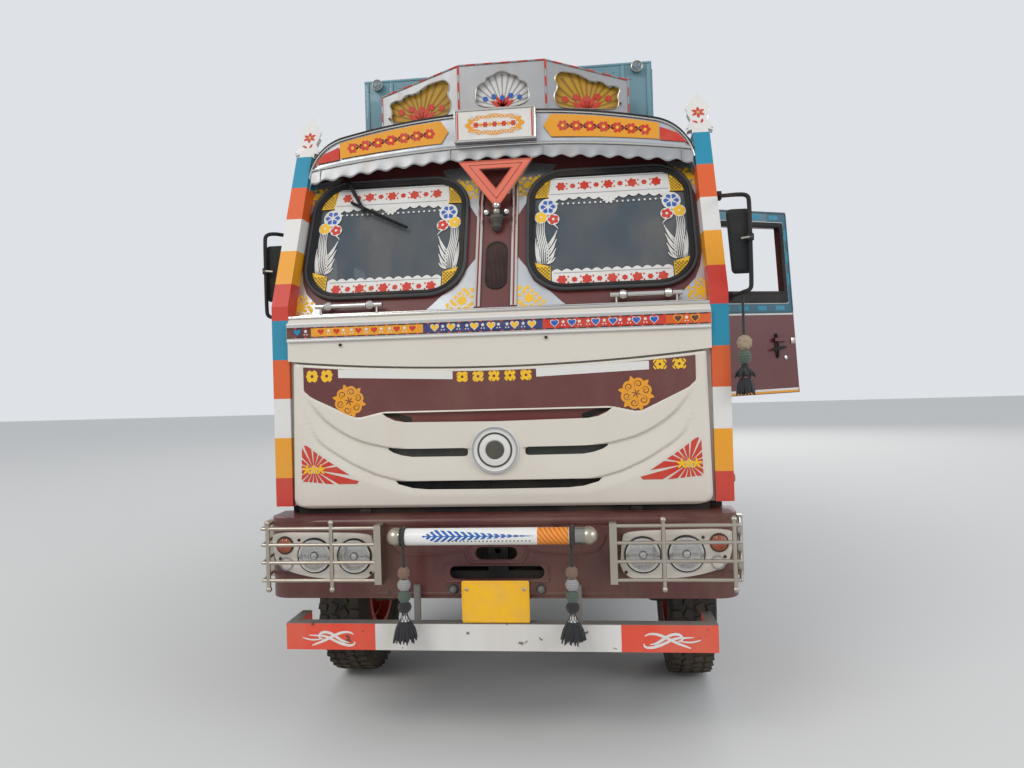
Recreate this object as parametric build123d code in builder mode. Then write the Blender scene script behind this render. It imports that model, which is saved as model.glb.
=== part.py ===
from build123d import *
import math
import os

os.makedirs("parts", exist_ok=True)

# Decorated goods truck, two axles, right-hand drive, in millimetres.
# X is across the truck, +X its left side. -Y is the way it drives. +Z is up.
# The origin is on the ground, on the centre plane, under the front axle.

# Wheels and axles
TYRE_R = 525.0
TYRE_HALF = 137.0
RIM_R = 254.0
FRONT_WHEEL_X = 1030.0
KINGPIN_X = 860.0
REAR_AXLE_Y = 5200.0
TWIN_X = 895.0
TWIN_OFFSET = 165.0
STEER_ARM = 200.0

# Chassis
RAIL_IN = 350.0
RAIL_OUT = 430.0
RAIL_LOW = 800.0
RAIL_TOP = 1050.0
RAIL_FRONT = -1110.0
RAIL_REAR = 7200.0
SHEET = 10.0
TOW_BORE = 16.0

# Cab
FACE_Y = -1000.0
PILLAR_X = (1090.0, 1180.0)
PILLAR_DEPTH = 120.0
PILLAR_LOW = 1195.0
KINK_Z = 2250.0
RAKE = 0.44
WALL = 40.0
CAB_X = 1150.0
CAB_REAR = 780.0
FLOOR_LOW = 1200.0
FLOOR_TOP = 1240.0
SILL_Z = 2190.0
EAVES_Z = 2990.0
SCREEN_Y = -880.0
COWL_FRONT = -970.0
BAND_FRONT = -1015.0
FLAP_FRONT = -1020.0
FLAP_BACK = -980.0
FLAP_AXIS = (0.0, -1024.0, 1962.0)

# Doors
DOOR_FRONT = -550.0
DOOR_WIDTH = 600.0
DOOR_LOW = 1700.0
DOOR_TOP = 2760.0
DOOR_GAP = 6.0
DOOR_OPEN = 62.0
HINGE_LEAN = 2.7

# Load body
BODY_FRONT = 900.0
BODY_REAR = 7350.0
BODY_FLOOR = 1190.0
BODY_TOP = 3050.0
BODY_X = 1150.0
GATE_TOP = 2300.0

# Front fittings
BUMPER_X = 1180.0
BUMPER_FRONT = -1130.0
BUMPER_LOW = 750.0
BUMPER_TOP = 1155.0
TUBE_Y = -1300.0
TUBE_Z = 1090.0
TUBE_R = 40.0
GUARD_Y = -1220.0
PLATE_Y = -1200.0
CHARM = (1240.0, -1042.0)

SLOPE = math.hypot(1.0, RAKE)
UP_RAKE = 1.0 / SLOPE
# The plane of the windscreens, its own X across and its own Y up the slope from the kink.
SCREEN = Plane(origin=(0, SCREEN_Y, KINK_Z), x_dir=(1, 0, 0), z_dir=(0, -1, RAKE))
PILLAR_FACE = Plane(origin=(0, FACE_Y, KINK_Z), x_dir=(1, 0, 0), z_dir=(0, -1, RAKE))
SIDES = (-1, 1)


def raked(y, z):
    """The Y of a raked plane that stands at y where it passes the kink."""
    return y + RAKE * (z - KINK_Z)


def slope(z):
    """The distance up the raked plane of a height z."""
    return (z - KINK_Z) * SLOPE


def block(low, high, mode=Mode.ADD):
    """A box between two corners, in the part that is being built."""
    middle = [(a + b) / 2 for a, b in zip(low, high)]
    size = [b - a for a, b in zip(low, high)]
    with Locations(tuple(middle)):
        Box(*size, mode=mode)


def side_profile(points, x_low, x_high, mode=Mode.ADD):
    """A (y, z) outline carried along X."""
    with BuildSketch(Plane.YZ.offset(x_low)) as face:
        with BuildLine():
            Polyline(*points, close=True)
        make_face()
    extrude(face.sketch, amount=x_high - x_low, dir=(1, 0, 0), mode=mode)


def front_profile(points, y_back, y_front, mode=Mode.ADD):
    """An (x, z) outline carried forward along -Y."""
    with BuildSketch(Plane.XZ.offset(-y_back)) as face:
        with BuildLine():
            Polyline(*points, close=True)
        make_face()
    extrude(face.sketch, amount=y_back - y_front, dir=(0, -1, 0), mode=mode)


def rod(start, end, radius, mode=Mode.ADD):
    """A round bar between two points."""
    along = Vector(*end) - Vector(*start)
    with BuildSketch(Plane(origin=start, z_dir=along)) as face:
        Circle(radius)
    extrude(face.sketch, amount=along.length, dir=along.normalized(), mode=mode)


def arch(inset=0.0, half=CAB_X, low=EAVES_Z, shoulder=(1085.0, 3140.0)):
    """The rounded outline of the roof from the front, in the sketch that is being drawn."""
    haunch = (880 - inset / 3, 3245 - inset)
    corner = (shoulder[0] - 0.8 * inset, shoulder[1] - 0.6 * inset)
    foot = (half - inset, low)
    with BuildLine() as outline:
        ThreePointArc((-haunch[0], haunch[1]), (0, 3340 - inset), haunch)
        ThreePointArc(haunch, corner, foot)
        Line(foot, (-foot[0], low))
        ThreePointArc((-foot[0], low), (-corner[0], corner[1]), (-haunch[0], haunch[1]))
    make_face(outline.edges())


# Chassis frame: two channel rails, cross members, spring hangers and cab mounts
cross_members = (1150.0, 2500.0, 3900.0, 4600.0, 5900.0, 7150.0)
with BuildPart() as chassis:
    for side in SIDES:
        with BuildSketch(Plane.XZ.offset(-RAIL_FRONT)):
            with Locations((side * (RAIL_IN + RAIL_OUT) / 2, (RAIL_LOW + RAIL_TOP) / 2)):
                Rectangle(RAIL_OUT - RAIL_IN, RAIL_TOP - RAIL_LOW)
            with Locations((side * ((RAIL_IN + RAIL_OUT) / 2 - SHEET), (RAIL_LOW + RAIL_TOP) / 2)):
                Rectangle(RAIL_OUT - RAIL_IN, RAIL_TOP - RAIL_LOW - 2 * SHEET, mode=Mode.SUBTRACT)
        extrude(amount=RAIL_FRONT - RAIL_REAR)
    for y in cross_members:
        block((10 - RAIL_OUT, y - 30, 890), (RAIL_OUT - 10, y + 30, 1030))
    block((10 - RAIL_OUT, -1060, 810), (RAIL_OUT - 10, -980, 870))
    for y, low, middle in ((-1030.0, 870.0, 972.0), (7210.0, 890.0, 950.0)):
        block((-50, y - 30, low), (50, y + 30, middle + 40))
        rod((0, y - 40, middle), (0, y + 40, middle), TOW_BORE, mode=Mode.SUBTRACT)
    for side in SIDES:
        near, far = sorted((side * 360.0, side * 420.0))
        for y in (-750.0, 750.0, REAR_AXLE_Y - 750, REAR_AXLE_Y + 750):
            block((near, y - 40, 735), (far, y + 40, RAIL_LOW))
        for y in (-700.0, 650.0):
            block((near, y - 50, RAIL_TOP), (far, y + 50, FLOOR_LOW))
chassis.part.label = "chassis_frame"
export_step(chassis.part, "parts/chassis_frame.step")

# Front axle beam with an eye for each kingpin
with BuildPart() as beam:
    block((-700, -45, 490), (700, 45, 600))
    for side in SIDES:
        near, far = sorted((side * 700.0, side * 830.0))
        block((near, -40, 490), (far, 40, 570))
        with BuildSketch(Plane.XY.offset(480)):
            with Locations((side * KINGPIN_X, 0)):
                Circle(50)
        extrude(amount=100)
    for side in SIDES:
        with BuildSketch(Plane.XY.offset(470)):
            with Locations((side * KINGPIN_X, 0)):
                Circle(22.05)
        extrude(amount=120, mode=Mode.SUBTRACT)
beam.part.label = "front_axle_beam"
export_step(beam.part, "parts/front_axle_beam.step")

# Rear axle: a bowl for the final drive, tubes, spring seats and spindles
axle_half = ((190, 110), (225, 65), (640, 65), (640, 45), (960, 45), (960, 0))
with BuildPart() as rear_axle:
    with BuildSketch(Plane(origin=(0, REAR_AXLE_Y, TYRE_R), x_dir=(1, 0, 0), z_dir=(0, -1, 0))):
        with BuildLine():
            ThreePointArc((-190, 110), (0, 215), (190, 110))
            Polyline(*axle_half, *[(-x, radius) for x, radius in reversed(axle_half)])
        make_face()
    revolve(axis=Axis((0, REAR_AXLE_Y, TYRE_R), (1, 0, 0)))
    rod((0, REAR_AXLE_Y - 150, TYRE_R), (0, REAR_AXLE_Y - 270, TYRE_R), 90)
    for side in SIDES:
        near, far = sorted((side * 345.0, side * 435.0))
        block((near, REAR_AXLE_Y - 60, TYRE_R), (far, REAR_AXLE_Y + 60, 600))
rear_axle.part.label = "rear_axle_housing"
export_step(rear_axle.part, "parts/rear_axle_housing.step")

# Leaf springs, four packs of one form
spring_outline = ((-750, 705), (-400, 640), (-60, 600), (60, 600), (400, 640), (750, 705),
                  (750, 735), (400, 705), (60, 690), (-60, 690), (-400, 705), (-750, 735))
with BuildPart() as springs:
    for axle_y in (0.0, REAR_AXLE_Y):
        for side in SIDES:
            near, far = sorted((side * 345.0, side * 435.0))
            side_profile([(axle_y + y, z) for y, z in spring_outline], near, far)
springs.part.label = "leaf_springs"
export_step(springs.part, "parts/leaf_springs.step")

# Engine, one plain block at its place, with its mounting arms
with BuildPart() as engine:
    block((-300, -760, 700), (300, 380, 1520))
    for y in (-350.0, 200.0):
        block((10 - RAIL_OUT, y - 40, 860), (RAIL_OUT - 10, y + 40, 940))
engine.part.label = "engine_block"
export_step(engine.part, "parts/engine_block.step")

with BuildPart() as radiator:
    block((-330, -875, 870), (330, -805, 1540))
    block((-300, -805, 1000), (300, -760, 1060))
radiator.part.label = "radiator"
export_step(radiator.part, "parts/radiator.step")

# Gearbox and the shaft to the rear axle
with BuildPart() as gearbox:
    block((-190, 380, 700), (190, 1000, 1060))
    rod((0, 1000, 820), (0, REAR_AXLE_Y - 350, TYRE_R), 45)
    rod((0, REAR_AXLE_Y - 360, TYRE_R), (0, REAR_AXLE_Y - 270, TYRE_R), 60)
gearbox.part.label = "gearbox_and_shaft"
export_step(gearbox.part, "parts/gearbox_and_shaft.step")

# Fuel tank, battery box and air tank beside the rails
with BuildPart() as tanks:
    with BuildSketch(Plane.XZ.offset(-1700)):
        with Locations((RAIL_OUT + 290, 800)):
            RectangleRounded(560, 460, 90)
    extrude(amount=-1100)
    block((RAIL_OUT, 1900, 840), (RAIL_OUT + 40, 2000, 1000))
    block((RAIL_OUT, 2500, 840), (RAIL_OUT + 40, 2600, 1000))
    block((-RAIL_OUT - 480, 1700, 640), (-RAIL_OUT, 2250, 1010))
    rod((-RAIL_OUT - 150, 2400, 860), (-RAIL_OUT - 150, 3300, 860), 130)
    block((-RAIL_OUT - 60, 2600, 820), (-RAIL_OUT, 2680, 960))
    block((-RAIL_OUT - 60, 3020, 820), (-RAIL_OUT, 3100, 960))
tanks.part.label = "side_tanks"
export_step(tanks.part, "parts/side_tanks.step")

# Exhaust silencer and tail pipe on the right side, hung from the rail
with BuildPart() as exhaust:
    rod((-620, 3550, 760), (-620, 4300, 760), 110)
    rod((-620, 4300, 760), (-620, 4420, 760), 40)
    block((-640, 3700, 760), (-RAIL_OUT, 3740, 900))
    block((-640, 4100, 760), (-RAIL_OUT, 4140, 900))
exhaust.part.label = "exhaust"
export_step(exhaust.part, "parts/exhaust.step")

# Cab floor with the engine cover and seat boxes
with BuildPart() as floor:
    block((WALL - CAB_X, SCREEN_Y, FLOOR_LOW), (CAB_X - WALL, CAB_REAR - WALL, FLOOR_TOP))
    block((-1080, -930, FLOOR_LOW), (1080, SCREEN_Y, FLOOR_TOP))
    block((-365, -930, FLOOR_TOP), (365, 430, 1580))
    block((-345, -930, FLOOR_LOW), (345, 410, 1560), mode=Mode.SUBTRACT)
    block((-960, -60, FLOOR_TOP), (-420, 420, 1540))
    block((420, -60, FLOOR_TOP), (1060, 420, 1540))
floor.part.label = "cab_floor"
export_step(floor.part, "parts/cab_floor.step")

# Cab sides with door openings, quarter lights and rear side lights
side_outline = (
    (SCREEN_Y, FLOOR_LOW), (SCREEN_Y, SILL_Z), (raked(SCREEN_Y + WALL, SILL_Z), SILL_Z),
    (raked(SCREEN_Y + WALL, EAVES_Z), EAVES_Z), (CAB_REAR - WALL, EAVES_Z), (CAB_REAR - WALL, FLOOR_LOW),
)
quarter_light = ((-790, 2290), (-610, 2290), (-610, 2640), (-640, 2640))
with BuildPart() as sides:
    for side in SIDES:
        near, far = sorted((side * (CAB_X - WALL), side * CAB_X))
        side_profile(side_outline, near, far)
        block(
            (near, DOOR_FRONT - DOOR_GAP, DOOR_LOW - DOOR_GAP),
            (far, DOOR_FRONT + DOOR_WIDTH + DOOR_GAP, DOOR_TOP + DOOR_GAP),
            mode=Mode.SUBTRACT,
        )
        side_profile(quarter_light, near, far, mode=Mode.SUBTRACT)
        block((near, 200, 2300), (far, 620, 2680), mode=Mode.SUBTRACT)
sides.part.label = "cab_sides"
export_step(sides.part, "parts/cab_sides.step")

# Cab back wall with its window
with BuildPart() as back:
    block((-CAB_X, CAB_REAR - WALL, FLOOR_LOW), (CAB_X, CAB_REAR, EAVES_Z))
    with BuildSketch(Plane.XZ.offset(-CAB_REAR)):
        arch(inset=30.0)
    extrude(amount=WALL)
    block((-450, CAB_REAR - WALL, 2350), (450, CAB_REAR, 2750), mode=Mode.SUBTRACT)
back.part.label = "cab_back"
export_step(back.part, "parts/cab_back.step")

# Arched cab roof, a shell
with BuildPart() as roof:
    with BuildSketch(Plane.XZ.offset(-CAB_REAR)):
        arch()
    extrude(amount=CAB_REAR + 560)
    with BuildSketch(Plane.XZ.offset(-CAB_REAR)):
        arch(inset=30.0)
    extrude(amount=CAB_REAR + 560, mode=Mode.SUBTRACT)
    for side in SIDES:
        near, far = sorted((side * 1080.0, side * 1200.0))
        block((near, -570, 2950), (far, -470, 3200), mode=Mode.SUBTRACT)
roof.part.label = "cab_roof"
export_step(roof.part, "parts/cab_roof.step")

# Moulded cowl under the windscreens: a front wall, a band and a deck
cowl_outline = (
    (COWL_FRONT, FLOOR_LOW - 5), (COWL_FRONT, 1965), (BAND_FRONT, 1965), (BAND_FRONT, 2150), (-985, SILL_Z),
    (-866, SILL_Z), (-866, 2150), (-930, 2120), (-930, FLOOR_LOW - 5),
)
with BuildPart() as cowl:
    side_profile(cowl_outline, -PILLAR_X[0], PILLAR_X[0])
    with BuildSketch(Plane.XZ.offset(-COWL_FRONT)):
        with BuildLine():
            ThreePointArc((-PILLAR_X[0], 1958), (0, 1903), (PILLAR_X[0], 1958))
            Polyline((PILLAR_X[0], 1958), (PILLAR_X[0], 1966), (-PILLAR_X[0], 1966), (-PILLAR_X[0], 1958))
        make_face()
    extrude(amount=COWL_FRONT - BAND_FRONT)
    block((-345, COWL_FRONT, FLOOR_LOW - 5), (345, -930, 1560), mode=Mode.SUBTRACT)
cowl.part.label = "cowl_front"
export_step(cowl.part, "parts/cowl_front.step")

# Lift-up grille flap, hinged along its top edge
with BuildPart() as flap:
    with BuildSketch(Plane.XZ.offset(-FLAP_BACK)) as flap_face:
        with BuildLine():
            ThreePointArc((-1062, 1944), (0, 1893), (1062, 1944))
            Polyline((1062, 1944), (1075, 1240), (1030, 1185), (-1030, 1185), (-1075, 1240), (-1062, 1944))
        make_face()
        for side in SIDES:
            with Locations((side * 370, 1473)):
                SlotOverall(420, 46, mode=Mode.SUBTRACT)
        with Locations((0, 1305)):
            SlotOverall(1060, 50, mode=Mode.SUBTRACT)
    extrude(amount=FLAP_BACK - FLAP_FRONT)
    rod((0, FLAP_FRONT, 1474), (0, FLAP_FRONT - 16, 1474), 112)
    for side in SIDES:
        block((side * 700 - 30, FLAP_FRONT - 12, 1890), (side * 700 + 30, FLAP_FRONT, 1966))
flap.part.label = "grille_flap"
export_step(flap.part, "parts/grille_flap.step")

# Raked wall around the two windscreens, with raised gaskets
window = (165.0, 1070.0, 2285.0, 3010.0)
window_middle = ((window[0] + window[1]) / 2, (slope(window[2]) + slope(window[3])) / 2)
window_size = (window[1] - window[0], slope(window[3]) - slope(window[2]))
screen_outline = (
    (raked(SCREEN_Y, SILL_Z), SILL_Z), (raked(SCREEN_Y + WALL, SILL_Z), SILL_Z),
    (raked(SCREEN_Y + WALL, 3330), 3330), (raked(SCREEN_Y, 3330), 3330),
)
with BuildPart() as surround:
    side_profile(screen_outline, -CAB_X, CAB_X)
    with BuildSketch(Plane.XZ.offset(200)):
        with Locations((0, (SILL_Z + EAVES_Z) / 2)):
            Rectangle(2 * CAB_X, EAVES_Z - SILL_Z)
        arch(inset=30.0)
    extrude(amount=900, mode=Mode.INTERSECT)
    for side in SIDES:
        with BuildSketch(SCREEN):
            with Locations((side * window_middle[0], window_middle[1])):
                RectangleRounded(window_size[0], window_size[1], 210)
        extrude(amount=18)
    for side in SIDES:
        with BuildSketch(SCREEN.offset(30)):
            with Locations((side * window_middle[0], window_middle[1])):
                RectangleRounded(window_size[0] - 60, window_size[1] - 60, 180)
        extrude(amount=-100, mode=Mode.SUBTRACT)
surround.part.label = "windscreen_surround"
export_step(surround.part, "parts/windscreen_surround.step")

# Two windscreens
with BuildPart() as glass:
    for side in SIDES:
        with BuildSketch(SCREEN.offset(-2)):
            with Locations((side * window_middle[0], window_middle[1])):
                RectangleRounded(window_size[0] - 60, window_size[1] - 60, 180)
        extrude(amount=-7)
glass.part.label = "windscreen_glass"
export_step(glass.part, "parts/windscreen_glass.step")

# Square corner posts with arrow tips
arrow = ((-45, 0), (-45, 70), (-70, 62), (-40, 120), (-62, 190), (0, 300),
         (62, 190), (40, 120), (70, 62), (45, 70), (45, 0))
post_outline = (
    (FACE_Y, PILLAR_LOW), (SCREEN_Y, PILLAR_LOW), (SCREEN_Y, SILL_Z), (raked(SCREEN_Y, SILL_Z), SILL_Z),
    (raked(SCREEN_Y, 3170), 3170), (raked(FACE_Y, 3170), 3170), (FACE_Y, KINK_Z),
)
with BuildPart() as posts:
    for side in SIDES:
        near, far = sorted((side * PILLAR_X[0], side * PILLAR_X[1]))
        side_profile(post_outline, near, far)
        with BuildSketch(PILLAR_FACE.offset(-30)):
            with BuildLine():
                middle = side * sum(PILLAR_X) / 2
                Polyline(*[(middle + x, slope(3150) + s) for x, s in arrow], close=True)
            make_face()
        extrude(amount=-30)
posts.part.label = "corner_pillars"
export_step(posts.part, "parts/corner_pillars.step")

# Visor: an arched band with a scalloped skirt, a top sheet and a sign box
with BuildPart() as visor:
    with BuildSketch(Plane.XZ.offset(620)):
        arch(half=1088.0, low=3020.0, shoulder=(1022.0, 3162.0))
        with BuildLine():
            ThreePointArc((-1088, 3035), (0, 3115), (1088, 3035))
            Polyline((1088, 3035), (1088, 2900), (-1088, 2900), (-1088, 3035))
        make_face(mode=Mode.SUBTRACT)
        for i in range(-10, 11):
            x = 102.0 * i
            with Locations((x, 3115 - 80 * (x / 1088) ** 2 + 34)):
                Circle(60)
    extrude(amount=20)
    with BuildSketch(Plane.XZ.offset(560)):
        arch(half=1088.0, low=3020.0, shoulder=(1022.0, 3162.0))
    extrude(amount=60)
    with BuildSketch(Plane.XZ.offset(560)):
        arch(inset=15.0, half=1088.0, low=3020.0, shoulder=(1022.0, 3162.0))
    extrude(amount=60, mode=Mode.SUBTRACT)
    block((-230, -690, 3160), (230, -640, 3345))
visor.part.label = "visor"
export_step(visor.part, "parts/visor.step")

# Crown of three panels above the visor, cut out to follow the roof
with BuildPart() as crown:
    front_profile(((-270, 3200), (270, 3200), (270, 3784), (-270, 3784)), -250, -262)
    for side in SIDES:
        fold = Plane(origin=(side * 270, -262, 0), x_dir=(500, side * 60, 0), z_dir=(side * 60, -500, 0))
        with BuildSketch(fold):
            with BuildLine():
                Polyline((0, 3200), (side * 503, 3200), (side * 503, 3645), (0, 3784), close=True)
            make_face()
        extrude(amount=-12)
    with BuildSketch(Plane.XZ):
        arch()
    extrude(amount=500, mode=Mode.SUBTRACT)
crown.part.label = "crown"
export_step(crown.part, "parts/crown.step")

# Steel carrier box on the roof, with two round lamps
with BuildPart() as carrier:
    block((-925, -50, 3150), (925, 700, 3815))
    block((-900, -25, 3150), (900, 675, 3345), mode=Mode.SUBTRACT)
    block((-900, -25, 3370), (900, 675, 3815), mode=Mode.SUBTRACT)
    with BuildSketch(Plane.XZ.offset(-900)):
        arch()
    extrude(amount=1100, mode=Mode.SUBTRACT)
    for side in SIDES:
        rod((side * 832, -50, 3777), (side * 832, -80, 3777), 34)
carrier.part.label = "roof_box"
export_step(carrier.part, "parts/roof_box.step")

# Hanging triangle with its ball, the two ornamental bars and the moulding of the cowl's band
ball = ((-23, 13), (-16, 21), (0, 26), (16, 21), (23, 13))
bar_outline = ((601, 0), (601, 13), *[(667 + x, r) for x, r in ball], *[(895 + x, r) for x, r in ball],
               (968, 13), (968, 0))
with BuildPart() as ornaments:
    front_profile(((-205, 3047), (205, 3047), (0, 2780)), -670, -700)
    front_profile(((-90, 3003), (90, 3003), (0, 2887)), -660, -710, mode=Mode.SUBTRACT)
    with Locations((0, -696, 2795)):
        Sphere(22)
    for side in SIDES:
        with BuildSketch(Plane(origin=(0, -925, 2250), x_dir=(1, 0, 0), z_dir=(0, -1, 0))):
            with BuildLine():
                Polyline(*[(side * x, radius) for x, radius in bar_outline], close=True)
            make_face()
        revolve(axis=Axis((0, -925, 2250), (1, 0, 0)))
        for x in (632.0, 938.0):
            rod((side * x, -925, SILL_Z), (side * x, -925, 2245), 6)
    block((-PILLAR_X[0], BAND_FRONT - 12, 2070), (PILLAR_X[0], BAND_FRONT, 2148))
ornaments.part.label = "front_ornaments"
export_step(ornaments.part, "parts/front_ornaments.step")

# Wiper hung from the top of the right windscreen
with BuildPart() as wiper:
    with BuildSketch(SCREEN.offset(20)):
        with Locations((-880, slope(3000))):
            Circle(22)
    extrude(amount=20)
    with BuildSketch(SCREEN.offset(28)):
        with BuildLine():
            Polyline((-892, slope(3005)), (-872, slope(3005)), (-752, slope(2800)), (-772, slope(2795)), close=True)
        make_face()
    extrude(amount=8)
    with BuildSketch(SCREEN.offset(20)):
        with BuildLine():
            Polyline((-850, slope(2860)), (-845, slope(2875)), (-505, slope(2700)), (-510, slope(2685)), close=True)
        make_face()
    extrude(amount=10)
wiper.part.label = "wiper"
export_step(wiper.part, "parts/wiper.step")

# Bumper shell with rounded ends and its two slots
with BuildPart() as bumper:
    with BuildSketch(Plane.XY.offset(BUMPER_LOW)):
        with Locations((0, (BUMPER_FRONT - 880) / 2)):
            RectangleRounded(2 * BUMPER_X, -880 - BUMPER_FRONT, 110)
        with Locations((0, -915)):
            Rectangle(2 * BUMPER_X, 70)
    extrude(amount=BUMPER_TOP - BUMPER_LOW)
    with BuildSketch(Plane.XY.offset(BUMPER_LOW + 20)):
        with Locations((0, (BUMPER_FRONT - 860) / 2)):
            RectangleRounded(2 * BUMPER_X - 40, -900 - BUMPER_FRONT, 90)
        with Locations((0, -900)):
            Rectangle(2 * BUMPER_X - 40, 100)
    extrude(amount=BUMPER_TOP - BUMPER_LOW - 40, mode=Mode.SUBTRACT)
    with BuildSketch(Plane.XZ.offset(-BUMPER_FRONT - 40)):
        with Locations((0, 972)):
            SlotOverall(208, 63)
        with Locations((0, 878)):
            SlotOverall(472, 66)
    extrude(amount=80, mode=Mode.SUBTRACT)
bumper.part.label = "bumper"
export_step(bumper.part, "parts/bumper.step")

# Lamp clusters: a pale plate with two round lamps and two small ones
lamp_table = (  # x, z, radius, reach
    (714.0, 967.0, 83.0, 55.0),
    (920.0, 970.0, 83.0, 55.0),
    (1073.0, 1024.0, 42.0, 35.0),
    (1047.0, 927.0, 32.0, 30.0),
)
lamp_plate = ((605, 850), (1083, 896), (1130, 1081), (605, 1066))
with BuildPart() as lamps:
    for side in SIDES:
        front_profile([(side * x, z) for x, z in lamp_plate], BUMPER_FRONT, BUMPER_FRONT - 20)
        for x, z, radius, reach in lamp_table:
            rod((side * x, BUMPER_FRONT - 20, z), (side * x, BUMPER_FRONT - 20 - reach, z), radius)
lamps.part.label = "lamp_units"
export_step(lamps.part, "parts/lamp_units.step")

# Guards in front of the lamps
with BuildPart() as guards:
    for side in SIDES:
        near, far = sorted((side * 555.0, side * 590.0))
        block((near, GUARD_Y - 10, 843), (far, BUMPER_FRONT, 1132))
        for z in (862.0, 950.0, 1038.0, 1118.0):
            rod((side * 590, GUARD_Y, z), (side * 1160, GUARD_Y, z), 9)
            with Locations((side * 1160, GUARD_Y, z)):
                Sphere(9)
            rod((side * 1160, GUARD_Y, z), (side * 1194, -1040, z), 9)
        for x in (807.0, 1133.0):
            rod((side * x, GUARD_Y, 822), (side * x, GUARD_Y, 1142), 11)
            for z in (818.0, 1146.0):
                with Locations((side * x, GUARD_Y, z)):
                    Sphere(15)
        near, far = sorted((side * BUMPER_X, side * 1206.0))
        block((near, -1045, 840), (far, -1005, 1135))
guards.part.label = "lamp_guards"
export_step(guards.part, "parts/lamp_guards.step")

# Tube across the bumper, with ball ends and two brackets
with BuildPart() as tube:
    rod((-455, TUBE_Y, TUBE_Z), (455, TUBE_Y, TUBE_Z), TUBE_R)
    for side in SIDES:
        with Locations((side * 455, TUBE_Y, TUBE_Z)):
            Sphere(TUBE_R)
        rod((side * 300, TUBE_Y, TUBE_Z), (side * 300, BUMPER_FRONT, TUBE_Z), 16)
tube.part.label = "nudge_tube"
export_step(tube.part, "parts/nudge_tube.step")

# Number plate with its bracket and two small lamps
with BuildPart() as plate:
    block((-165, PLATE_Y, 652), (165, PLATE_Y + 4, 855))
    block((-110, PLATE_Y + 4, 770), (110, BUMPER_FRONT, 830))
    for side in SIDES:
        rod((side * 218, BUMPER_FRONT, 797), (side * 218, BUMPER_FRONT - 40, 797), 22)
plate.part.label = "number_plate"
export_step(plate.part, "parts/number_plate.step")

# Lower bar with returned ends and two hangers
with BuildPart() as low_bar:
    block((-1050, -1215, 520), (1050, -1155, 650))
    for side in SIDES:
        near, far = sorted((side * 1000.0, side * 1050.0))
        block((near, -1155, 520), (far, -1000, 650))
        near, far = sorted((side * 385.0, side * 415.0))
        block((near, -1155, 560), (far, BUMPER_FRONT, 820))
low_bar.part.label = "lower_bar"
export_step(low_bar.part, "parts/lower_bar.step")

# Mirrors on bent tube arms
mirror_table = (  # side, y of the arm, x of the arm
    (1, -1110.0, 1270.0),
    (-1, -790.0, 1300.0),
)
with BuildPart() as mirrors:
    for side, arm_y, arm_x in mirror_table:
        foot_y = (FACE_Y + 50) if side > 0 else (FACE_Y + 100)
        top_y = raked(foot_y, 2690)
        for y, z in ((top_y, 2690.0), (foot_y, 2215.0)):
            low, high = sorted((side * PILLAR_X[1], side * (PILLAR_X[1] + 30)))
            block((low, y - 22, z - 22), (high, y + 22, z + 22))
            rod((side * (PILLAR_X[1] + 20), y, z), (side * arm_x, arm_y, z), 13)
        rod((side * arm_x, arm_y, 2690), (side * arm_x, arm_y, 2215), 13)
        for z in (2690.0, 2215.0):
            with Locations((side * arm_x, arm_y, z)):
                Sphere(13)
        low, high = sorted((side * (arm_x - 105), side * (arm_x + 12)))
        block((low, arm_y + 8, 2310), (high, arm_y + 70, 2625))
mirrors.part.label = "mirrors"
export_step(mirrors.part, "parts/mirrors.step")

# Dashboard with the steering column
with BuildPart() as dash:
    block((-1105, -862, 1900), (1105, -650, 2150))
    rod((-560, -640, 1413), (-560, -352, 1912), 28)
    rod((-560, -732, 1254), (-560, -640, 1413), 28)
    block((-605, -790, FLOOR_TOP), (-515, -690, 1275))
    block((-600, -700, 1880), (-520, -400, 1900))
dash.part.label = "dashboard"
export_step(dash.part, "parts/dashboard.step")

# Steering wheel
with BuildPart() as wheel:
    with BuildSketch(Plane(origin=(-560, -349, 1917.2), z_dir=(0, 0.5, 0.866))):
        Circle(45)
    extrude(amount=40)
    ring = Plane(origin=(-560, -324, 1960.5), z_dir=(0, 0.5, 0.866))
    with BuildSketch(Plane(origin=ring.origin, x_dir=ring.x_dir, z_dir=ring.y_dir)):
        with Locations((225, 0)):
            Circle(15)
    revolve(axis=Axis(ring.origin, ring.z_dir))
    for angle in (90.0, 210.0, 330.0):
        reach = 225 * (ring.x_dir * math.cos(math.radians(angle)) + ring.y_dir * math.sin(math.radians(angle)))
        start = ring.origin - ring.z_dir * 15
        rod(tuple(start), tuple(ring.origin + reach), 9)
wheel.part.label = "steering_wheel"
export_step(wheel.part, "parts/steering_wheel.step")

# Seats: two cushions and two backs
with BuildPart() as seats:
    block((-940, -80, 1545), (-440, 400, 1665))
    block((-940, 410, 1670), (-440, 530, 2230))
    block((440, -80, 1545), (1040, 400, 1665))
    block((440, 410, 1670), (1040, 530, 2230))
seats.part.label = "seats"
export_step(seats.part, "parts/seats.step")

# Steps and mudguards, hung from the cab floor and the load body
with BuildPart() as guards_steps:
    for side in SIDES:
        low, high = sorted((side * 900.0, side * 1140.0))
        block((low, -870, 1170), (high, -830, FLOOR_LOW))
        block((low, -870, 700), (high, -862, 1200))
        block((low, -870, 900), (high, -690, 925))
        block((low, -870, 700), (high, -690, 725))
        near, far = sorted((side * 620.0, side * 1200.0))
        block((near, REAR_AXLE_Y + 700, 500), (far, REAR_AXLE_Y + 708, 1110))
guards_steps.part.label = "steps_and_flaps"
export_step(guards_steps.part, "parts/steps_and_flaps.step")

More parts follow.
